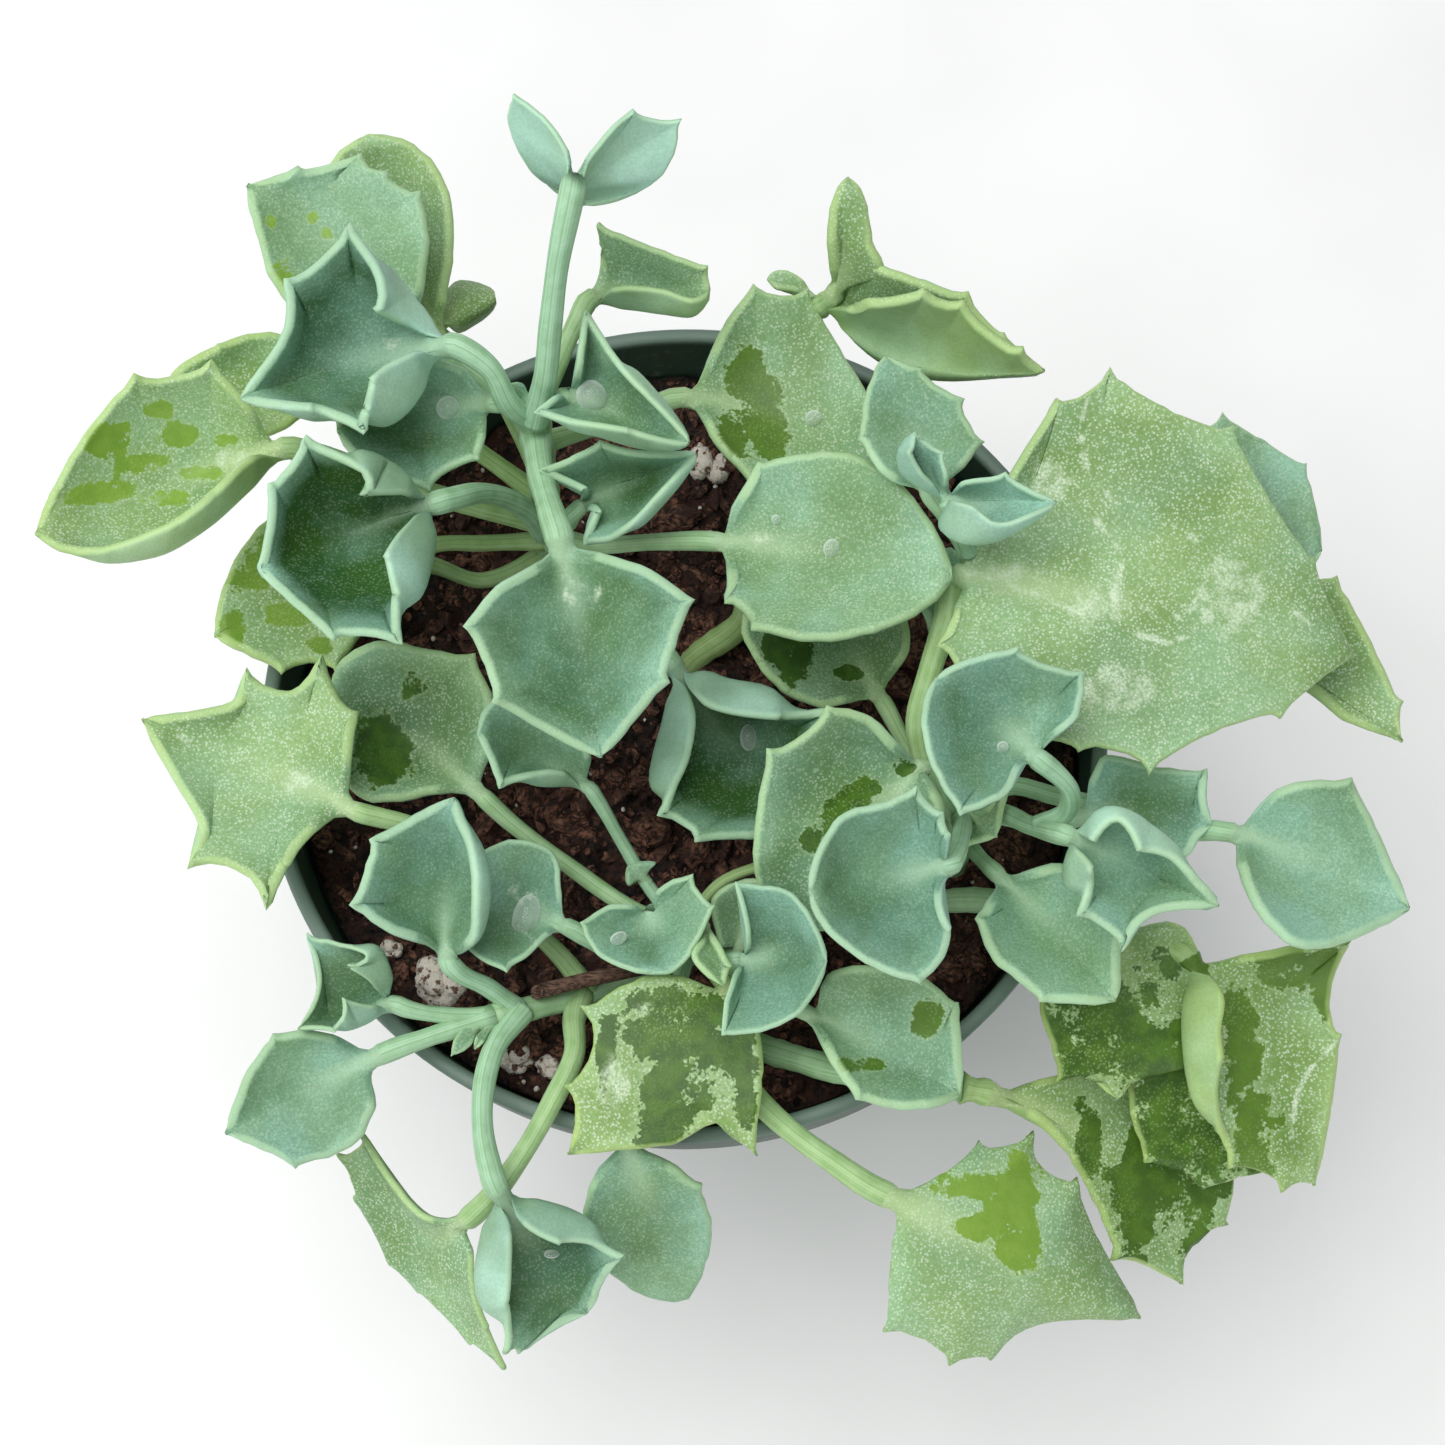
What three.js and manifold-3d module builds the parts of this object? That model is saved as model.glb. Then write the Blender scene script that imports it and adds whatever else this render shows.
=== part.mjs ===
// A spearhead senecio in a round plastic nursery pot.
// The pot is a thin tapered shell with a rim band and drain holes, filled with bark and perlite compost.
// Seven fleshy stems stand in holes in the compost, each fused with its own leaves.
// A dead twig lies among them.
// Units are millimetres, +Z is up, and the origin is the middle of the pot's flat underside.

import * as THREE from "three";
import { mergeVertices } from "three/addons/utils/BufferGeometryUtils.js";
import Module from "manifold-3d";

const wasm = await Module();
wasm.setup();

// Driving dimensions

const POT = {
  height: 92,
  rimRadius: 55,
  lipWidth: 2,
  lipRound: 0.5,
  bandHeight: 14,
  bandTaper: 0.6,
  bandStep: 1,
  wallRadius: 52.3,
  baseRadius: 38,
  wall: 1.5,
  sides: 40,
  drainHoles: 8,
  drainRadius: 3.2,
  drainCircle: 29,
  drainSides: 10,
};

const SOIL = {
  belowRim: 10,
  relief: 1.1,
  dip: 0.4,
  dipFrom: 1.5,
  dipTo: 6,
  gap: 0.3,
  shoulderRise: 1.6,
  rings: 8,
  sides: 36,
  holeSides: 12,
  rootDepth: 18,
  grainRise: 0.2,
  grainShape: [1, 0.85, 0.8],
};

const LEAF = {
  middle: 2.2,
  margin: 1.3,
  fullSize: 24,
  thinnest: 0.55,
  longSpan: 12,
  stationGap: 0.05,
  foldAt: 0.6,
  dish: 0.2,
  scallop: 0.09,
};

const STALK = { sides: 5, stepLength: 8, sink: 0.16 };

const STEM = { sides: 8, footRise: 1.5 };

// The line of sight that the plant is laid out along: it leans back from the vertical and is turned a little.
const SIGHT = { centre: [5.1, -1.2], distance: 287.8, lean: 16.23, turn: 3.05 };

const FINISHES = {
  pot: { color: 0x3f5148, roughness: 0.45 },
  soil: { color: 0x2c211c, roughness: 0.95 },
  twig: { color: 0x5b4335, roughness: 0.9 },
  leaf: { color: 0x8fb39a, roughness: 0.5 },
};

// Sight frame
// A place is given as u to the right and v upwards on a plane through the middle of the rim, square to the
// line of sight, and z as height above the rim. The real point is where the ray from the eye through (u, v)
// meets the height z.

const lean = THREE.MathUtils.degToRad(SIGHT.lean);
const turn = THREE.MathUtils.degToRad(SIGHT.turn);
const back = new THREE.Vector3(
  Math.sin(turn) * Math.sin(lean),
  -Math.cos(turn) * Math.sin(lean),
  Math.cos(lean),
);
const right = new THREE.Vector3(0, 1, 0).cross(back).normalize();
const up = back.clone().cross(right);
const centre = new THREE.Vector3(...SIGHT.centre, 0);
const eye = centre.clone().addScaledVector(back, SIGHT.distance);

function seen([u, v, z]) {
  const ray = centre.clone().addScaledVector(right, u).addScaledVector(up, v).sub(eye);
  const point = eye.clone().addScaledVector(ray, (z - eye.z) / ray.z);
  point.z += POT.height;
  return point;
}

// Solids

// Points of a joined solid closer than SLIVER become one. A fresh shape only needs its equal points merged.
const SLIVER = 0.02;
const SAME_POINT = 1e-4;
const LARGEST_SCRAP = 0.5;

// A closed geometry as a solid. Vertices closer than the given distance become one, and faces that this
// folds up go.
function solidOf(geometry, merge = SAME_POINT) {
  const bare = new THREE.BufferGeometry().setAttribute("position", geometry.getAttribute("position"));
  if (geometry.index) bare.setIndex(geometry.index);
  const merged = mergeVertices(bare, merge);
  const triVerts = [];
  for (let i = 0; i < merged.index.count; i += 3) {
    const [a, b, c] = [0, 1, 2].map((corner) => merged.index.getX(i + corner));
    if (a !== b && b !== c && c !== a) triVerts.push(a, b, c);
  }
  return new wasm.Manifold(
    new wasm.Mesh({
      numProp: 3,
      vertProperties: new Float32Array(merged.attributes.position.array),
      triVerts: new Uint32Array(triVerts),
    }),
  );
}

function geometryOf(solid) {
  const { vertProperties, triVerts } = solid.getMesh();
  return new THREE.BufferGeometry()
    .setAttribute("position", new THREE.BufferAttribute(vertProperties, 3))
    .setIndex(new THREE.BufferAttribute(triVerts, 1));
}

// The largest body of a solid, without the slivers, scraps and sealed hollows that joining can leave.
// Anything bigger than a scrap that isn't joined to it is a mistake in the layout.
function oneBody(name, solid) {
  const clean = solidOf(geometryOf(solid.setTolerance(SLIVER)), SLIVER).setTolerance(SLIVER);
  const bodies = clean.decompose().sort((a, b) => b.volume() - a.volume());
  if (bodies.length > 1 && bodies[1].volume() > LARGEST_SCRAP) {
    throw new Error(`${name} has a loose piece of ${bodies[1].volume().toFixed(1)} mm3`);
  }
  return bodies[0];
}

function meshOf(name, solid, finish) {
  const geometry = geometryOf(oneBody(name, solid));
  geometry.computeVertexNormals();
  const mesh = new THREE.Mesh(geometry, new THREE.MeshStandardMaterial(finish));
  mesh.name = name;
  return mesh;
}

function join(solids) {
  return solids.reduce((all, solid) => all.add(solid));
}

function polygon(radius, sides) {
  const shape = new THREE.Shape();
  for (let i = 0; i < sides; i++) {
    const angle = (i / sides) * 2 * Math.PI;
    const corner = [radius * Math.cos(angle), radius * Math.sin(angle)];
    if (i === 0) shape.moveTo(...corner);
    else shape.lineTo(...corner);
  }
  shape.closePath();
  return shape;
}

// A tube of even thickness along a smooth curve through real points.
function tube(points, radius, sides = STALK.sides) {
  const path = new THREE.CatmullRomCurve3(points, false, "centripetal");
  const steps = Math.max(2, Math.round(path.getLength() / STALK.stepLength));
  const options = { steps, extrudePath: path, bevelEnabled: false, curveSegments: 1 };
  return solidOf(new THREE.ExtrudeGeometry(polygon(radius, sides), options));
}

function uprightCylinder(x, y, bottom, top, radius, sides) {
  const geometry = new THREE.CylinderGeometry(radius, radius, top - bottom, sides);
  geometry.rotateX(Math.PI / 2);
  geometry.translate(x, y, (top + bottom) / 2);
  return solidOf(geometry);
}

function turned(profile, sides) {
  const points = profile.map(([radius, z]) => new THREE.Vector2(radius, z));
  const geometry = new THREE.LatheGeometry(points, sides);
  geometry.rotateX(Math.PI / 2);
  return geometry;
}

// Pot

const potInside = {
  lip: POT.rimRadius - POT.lipWidth,
  bandFoot: POT.rimRadius - POT.lipWidth - POT.bandTaper,
  wall: POT.wallRadius - POT.wall,
  base: POT.baseRadius - POT.wall,
  floor: POT.wall,
  shoulder: POT.height - POT.bandHeight - POT.wall,
};

function pot() {
  const { height, rimRadius, lipRound, bandHeight, bandTaper, bandStep, wallRadius, baseRadius } = POT;
  const profile = [
    [0, 0],
    [baseRadius, 0],
    [wallRadius, height - bandHeight],
    [rimRadius - bandTaper, height - bandHeight],
    [rimRadius, height - lipRound],
    [rimRadius - lipRound, height],
    [potInside.lip + lipRound, height],
    [potInside.lip, height - lipRound],
    [potInside.bandFoot, height - bandHeight + bandStep],
    [potInside.wall, potInside.shoulder],
    [potInside.base, potInside.floor],
    [0, potInside.floor],
  ];
  let shell = solidOf(turned(profile, POT.sides));
  for (let i = 0; i < POT.drainHoles; i++) {
    const angle = ((i + 0.5) / POT.drainHoles) * 2 * Math.PI;
    const x = POT.drainCircle * Math.cos(angle);
    const y = POT.drainCircle * Math.sin(angle);
    shell = shell.subtract(uprightCylinder(x, y, -POT.wall, 2 * POT.wall, POT.drainRadius, POT.drainSides));
  }
  return shell;
}

// Soil

const soilTop = POT.height - SOIL.belowRim;

// Bark and crumbs: three crossing waves of different lengths, calmed round each stem's hole.
function crumbs(x, y, holes) {
  const coarse = Math.sin(0.31 * x + 1.3) * Math.cos(0.27 * y - 0.4);
  const middling = Math.sin(0.71 * x - 0.52 * y + 0.7) * Math.cos(0.43 * x + 0.66 * y);
  const fine = Math.sin(1.37 * x + 0.9 * y) * Math.sin(1.11 * y - 0.83 * x + 2.1);
  const nearest = Math.min(...holes.map((hole) => Math.hypot(x - hole.x, y - hole.y) - hole.radius));
  const calm = THREE.MathUtils.smoothstep(nearest, SOIL.dipFrom, SOIL.dipTo);
  return SOIL.relief * calm * (0.6 * coarse + 0.5 * middling + 0.35 * fine) - SOIL.dip * (1 - calm);
}

const GRAINS = [
  { place: [-36.4, -34, -9], size: 3.5 },
  { place: [-42.8, -29.2, -9.4], size: 1.5 },
  { place: [-26.6, -43.8, -9.2], size: 2.3 },
  { place: [-22.5, -44.8, -9.4], size: 1.6 },
  { place: [-1.6, 33.6, -9], size: 3.4 },
  { place: [22.8, 5, -9.2], size: 2.2 },
  { place: [25.2, 8.2, -9.2], size: 2.4 },
  { place: [-1.2, 16.4, -9.3], size: 1.6 },
  { place: [-13.5, -7.3, -9.3], size: 1.5 },
  { place: [-9, -14.4, -9.2], size: 2.6 },
  { place: [-3.6, -17.2, -9.2], size: 2.1 },
  { place: [-51.5, -15.4, -9.4], size: 1.5 },
  { place: [29.6, -32.6, -9.3], size: 1.6 },
  { place: [10, -41.5, -9.4], size: 1.3 },
];

function soil(holes) {
  const flats = POT.rimRadius * (1 - Math.cos(Math.PI / POT.sides));
  const side = SOIL.gap / Math.cos(Math.PI / SOIL.sides) + flats;
  const profile = [
    [0, potInside.floor + SOIL.gap],
    [potInside.base - side, potInside.floor + SOIL.gap],
    [potInside.wall - side, potInside.shoulder],
    [potInside.bandFoot - side, POT.height - POT.bandHeight + SOIL.shoulderRise],
  ];
  for (let ring = 0; ring <= SOIL.rings; ring++) {
    profile.push([(potInside.bandFoot - side) * (1 - ring / SOIL.rings), soilTop]);
  }
  const geometry = turned(profile, SOIL.sides);
  const position = geometry.getAttribute("position");
  for (let i = 0; i < position.count; i++) {
    if (position.getZ(i) > soilTop - SOIL.gap) {
      position.setZ(i, soilTop + crumbs(position.getX(i), position.getY(i), holes));
    }
  }
  let filling = solidOf(geometry);
  for (const grain of GRAINS) {
    const stone = new THREE.IcosahedronGeometry(grain.size, 0);
    stone.scale(...SOIL.grainShape);
    const { x, y } = seen(grain.place);
    stone.translate(x, y, soilTop + crumbs(x, y, holes) + SOIL.grainRise * grain.size);
    filling = filling.add(solidOf(stone));
  }
  for (const hole of holes) {
    const depth = soilTop - SOIL.rootDepth - SOIL.gap;
    const bore = uprightCylinder(hole.x, hole.y, depth, POT.height, hole.radius + SOIL.gap, SOIL.holeSides);
    filling = filling.subtract(bore);
  }
  return filling;
}

// Leaves
// A blade is a list of pairs, each the left and the right point of its margin, from the stalk to the tip.
// A tooth is a sharp point of the margin, an edge point a smooth one. A fourth value is the outermost point
// that a folded wing passes through on its way from the midrib to that margin.

const edge = (u, v, z, over) => ({ at: [u, v, z], over, sharp: false });
const tooth = (u, v, z, over) => ({ at: [u, v, z], over, sharp: true });

const mix = (a, b, t) => a.map((value, i) => value + (b[i] - value) * t);
const sum = (a, b, scale = 1) => a.map((value, i) => value + b[i] * scale);
const span = (a, b) => Math.hypot(...a.map((value, i) => value - b[i]));

// The margin of one side as smooth cubic pieces, broken at its teeth. Between two teeth it hollows towards
// the rib.
function margin(base, side, tip, rib) {
  const knots = [{ at: base, sharp: true }, ...side, { at: tip, sharp: true }];
  const slope = (i) => mix([0, 0, 0], sum(knots[i + 1].at, knots[i - 1].at, -1), 0.5);
  return (place) => {
    const i = Math.min(Math.floor(place), knots.length - 2);
    const t = place - i;
    const [from, to] = [knots[i], knots[i + 1]];
    const chord = sum(to.at, from.at, -1);
    let leave = from.sharp ? null : slope(i);
    let arrive = to.sharp ? null : slope(i + 1);
    if (!leave && !arrive) {
      const middle = mix(from.at, to.at, 0.5);
      const inward = sum(rib(place / (knots.length - 1)), middle, -1);
      const depth = (4 * LEAF.scallop * span(from.at, to.at)) / Math.max(1, span(inward, [0, 0, 0]));
      leave = sum(chord, inward, depth);
      arrive = sum(chord, inward, -depth);
    }
    leave = leave ?? sum(chord.map((value) => 2 * value), arrive, -1);
    arrive = arrive ?? sum(chord.map((value) => 2 * value), leave, -1);
    const [h00, h10] = [(1 + 2 * t) * (1 - t) ** 2, t * (1 - t) ** 2];
    const [h01, h11] = [t * t * (3 - 2 * t), t * t * (t - 1)];
    return from.at.map((value, j) => h00 * value + h10 * leave[j] + h01 * to.at[j] + h11 * arrive[j]);
  };
}

// The blade's middle surface: across each pair a curve runs from the margin down to the rib and up again.
function bladeSurface({ base, tip, mid, pairs }) {
  const rib = (s) => {
    const straight = mix(base, tip, s);
    const bulge = sum(mid, mix(base, tip, 0.5), -1);
    return sum(straight, bulge, 4 * s * (1 - s));
  };
  const count = pairs.length;
  const axis = sum(tip, base, -1);
  const along = axis[0] ** 2 + axis[1] ** 2;
  const stations = [0];
  pairs.forEach(([left, rightSide], i) => {
    const middle = sum(mix(left.at, rightSide.at, 0.5), base, -1);
    const projected = (middle[0] * axis[0] + middle[1] * axis[1]) / along;
    const lowest = stations[i] + LEAF.stationGap;
    stations.push(Math.min(Math.max(projected, lowest), 1 - LEAF.stationGap * (count - i)));
  });
  stations.push(1);
  const sides = [0, 1].map((side) => {
    const points = pairs.map((pair) => pair[side]);
    const outline = margin(base, points, tip, rib);
    const swell = points.map((point, i) => {
      if (!point.over) return [0, 0, 0];
      const t = LEAF.foldAt;
      const from = rib(stations[i + 1]);
      const plain = beside(from, point.at);
      const control = point.over.map(
        (value, j) => (value - (1 - t) ** 2 * from[j] - t * t * point.at[j]) / (2 * t * (1 - t)),
      );
      return sum(control, plain, -1);
    });
    return { outline, swell: [[0, 0, 0], ...swell, [0, 0, 0]] };
  });
  return (place, side, t) => {
    const i = Math.min(Math.floor(place), count);
    const from = rib(stations[i] + (stations[i + 1] - stations[i]) * (place - i));
    const to = sides[side].outline(place);
    const swell = mix(sides[side].swell[i], sides[side].swell[i + 1], place - i);
    const control = sum(beside(from, to), swell);
    return from.map((value, j) => (1 - t) ** 2 * value + 2 * t * (1 - t) * control[j] + t * t * to[j]);
  };
}

// Halfway out from the rib, and still low, so that an unfolded blade is a shallow dish.
function beside(from, to) {
  return [(from[0] + to[0]) / 2, (from[1] + to[1]) / 2, from[2] + LEAF.dish * (to[2] - from[2])];
}

// The stations along the blade: one at each pair, and one between where the margin runs far.
function columns({ base, tip, pairs }) {
  const stops = [[base, base], ...pairs.map((pair) => pair.map((point) => point.at)), [tip, tip]];
  const places = [0];
  for (let i = 1; i < stops.length; i++) {
    const far = Math.max(span(stops[i][0], stops[i - 1][0]), span(stops[i][1], stops[i - 1][1]));
    if (far > LEAF.longSpan) places.push(i - 0.5);
    places.push(i);
  }
  return places;
}

// The closed blade: the middle surface thickened both ways along its normals, and a flat rim round it.
function blade(leaf) {
  const surface = bladeSurface(leaf);
  const places = columns(leaf);
  const across = [[0, 1], [0, LEAF.foldAt], [0, 0], [1, LEAF.foldAt], [1, 1]];
  const last = places.length - 1;
  const positions = [];
  const size = Math.min(1, Math.max(LEAF.thinnest, span(leaf.base, leaf.tip) / LEAF.fullSize));
  const halves = [];
  const index = (column, row) => {
    if (column === 0) return 0;
    if (column === last) return 1 + (last - 1) * across.length;
    return 1 + (column - 1) * across.length + row;
  };
  places.forEach((place, column) => {
    const rows = column === 0 || column === last ? [[0, 0]] : across;
    for (const [side, t] of rows) {
      positions.push(...seen(surface(place, side, t)).toArray());
      const out = rows.length === 1 ? 1 : t;
      halves.push((size * (LEAF.middle + (LEAF.margin - LEAF.middle) * out * out)) / 2);
    }
  });
  const faces = [];
  const face = (a, b, c) => {
    if (a !== b && b !== c && c !== a) faces.push([a, b, c]);
  };
  for (let column = 0; column < last; column++) {
    for (let row = 0; row < across.length - 1; row++) {
      const [a, b] = [index(column, row), index(column + 1, row)];
      const [c, d] = [index(column + 1, row + 1), index(column, row + 1)];
      face(a, b, c);
      face(a, c, d);
    }
  }
  const middle = new THREE.BufferGeometry();
  middle.setAttribute("position", new THREE.Float32BufferAttribute(positions, 3));
  middle.setIndex(faces.flat());
  middle.computeVertexNormals();
  const normals = middle.getAttribute("normal");
  const count = halves.length;
  const shell = [];
  for (const way of [1, -1]) {
    for (let i = 0; i < count; i++) {
      for (let j = 0; j < 3; j++) {
        shell.push(positions[3 * i + j] + way * halves[i] * normals.array[3 * i + j]);
      }
    }
  }
  const closed = faces.flatMap(([a, b, c]) => [a, b, c, a + count, c + count, b + count]);
  const topRow = across.length - 1;
  for (let column = 0; column < last; column++) {
    const [a, b] = [index(column, 0), index(column + 1, 0)];
    closed.push(b, a, a + count, b, a + count, b + count);
    const [c, d] = [index(column + 1, topRow), index(column, topRow)];
    closed.push(d, c, c + count, d, c + count, d + count);
  }
  const geometry = new THREE.BufferGeometry();
  geometry.setAttribute("position", new THREE.Float32BufferAttribute(shell, 3));
  geometry.setIndex(closed);
  return solidOf(geometry);
}

// The stalk runs from the stem to the base of the blade and ends sunk in its rib.
function stalk(leaf) {
  const sunk = bladeSurface(leaf)(STALK.sink * (leaf.pairs.length + 1), 0, 0);
  const points = [...leaf.stalk, leaf.base, sunk].map(seen);
  return tube(points, leaf.width / 2);
}

// A leaf: its name, its stalk's points from the stem outwards, the stalk's width, the base and tip of the
// blade, the height of its rib halfway or the whole point where the rib isn't straight, and the pairs of
// its margin.
const leaf = (name, stalk, width, base, tip, halfway, pairs) => {
  const mid = Array.isArray(halfway) ? halfway : [...mix(base, tip, 0.5).slice(0, 2), halfway];
  return { name, stalk, width, base, tip, mid, pairs };
};

// Stems
// Each has its points from the compost upwards, its radius and its leaves.

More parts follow.
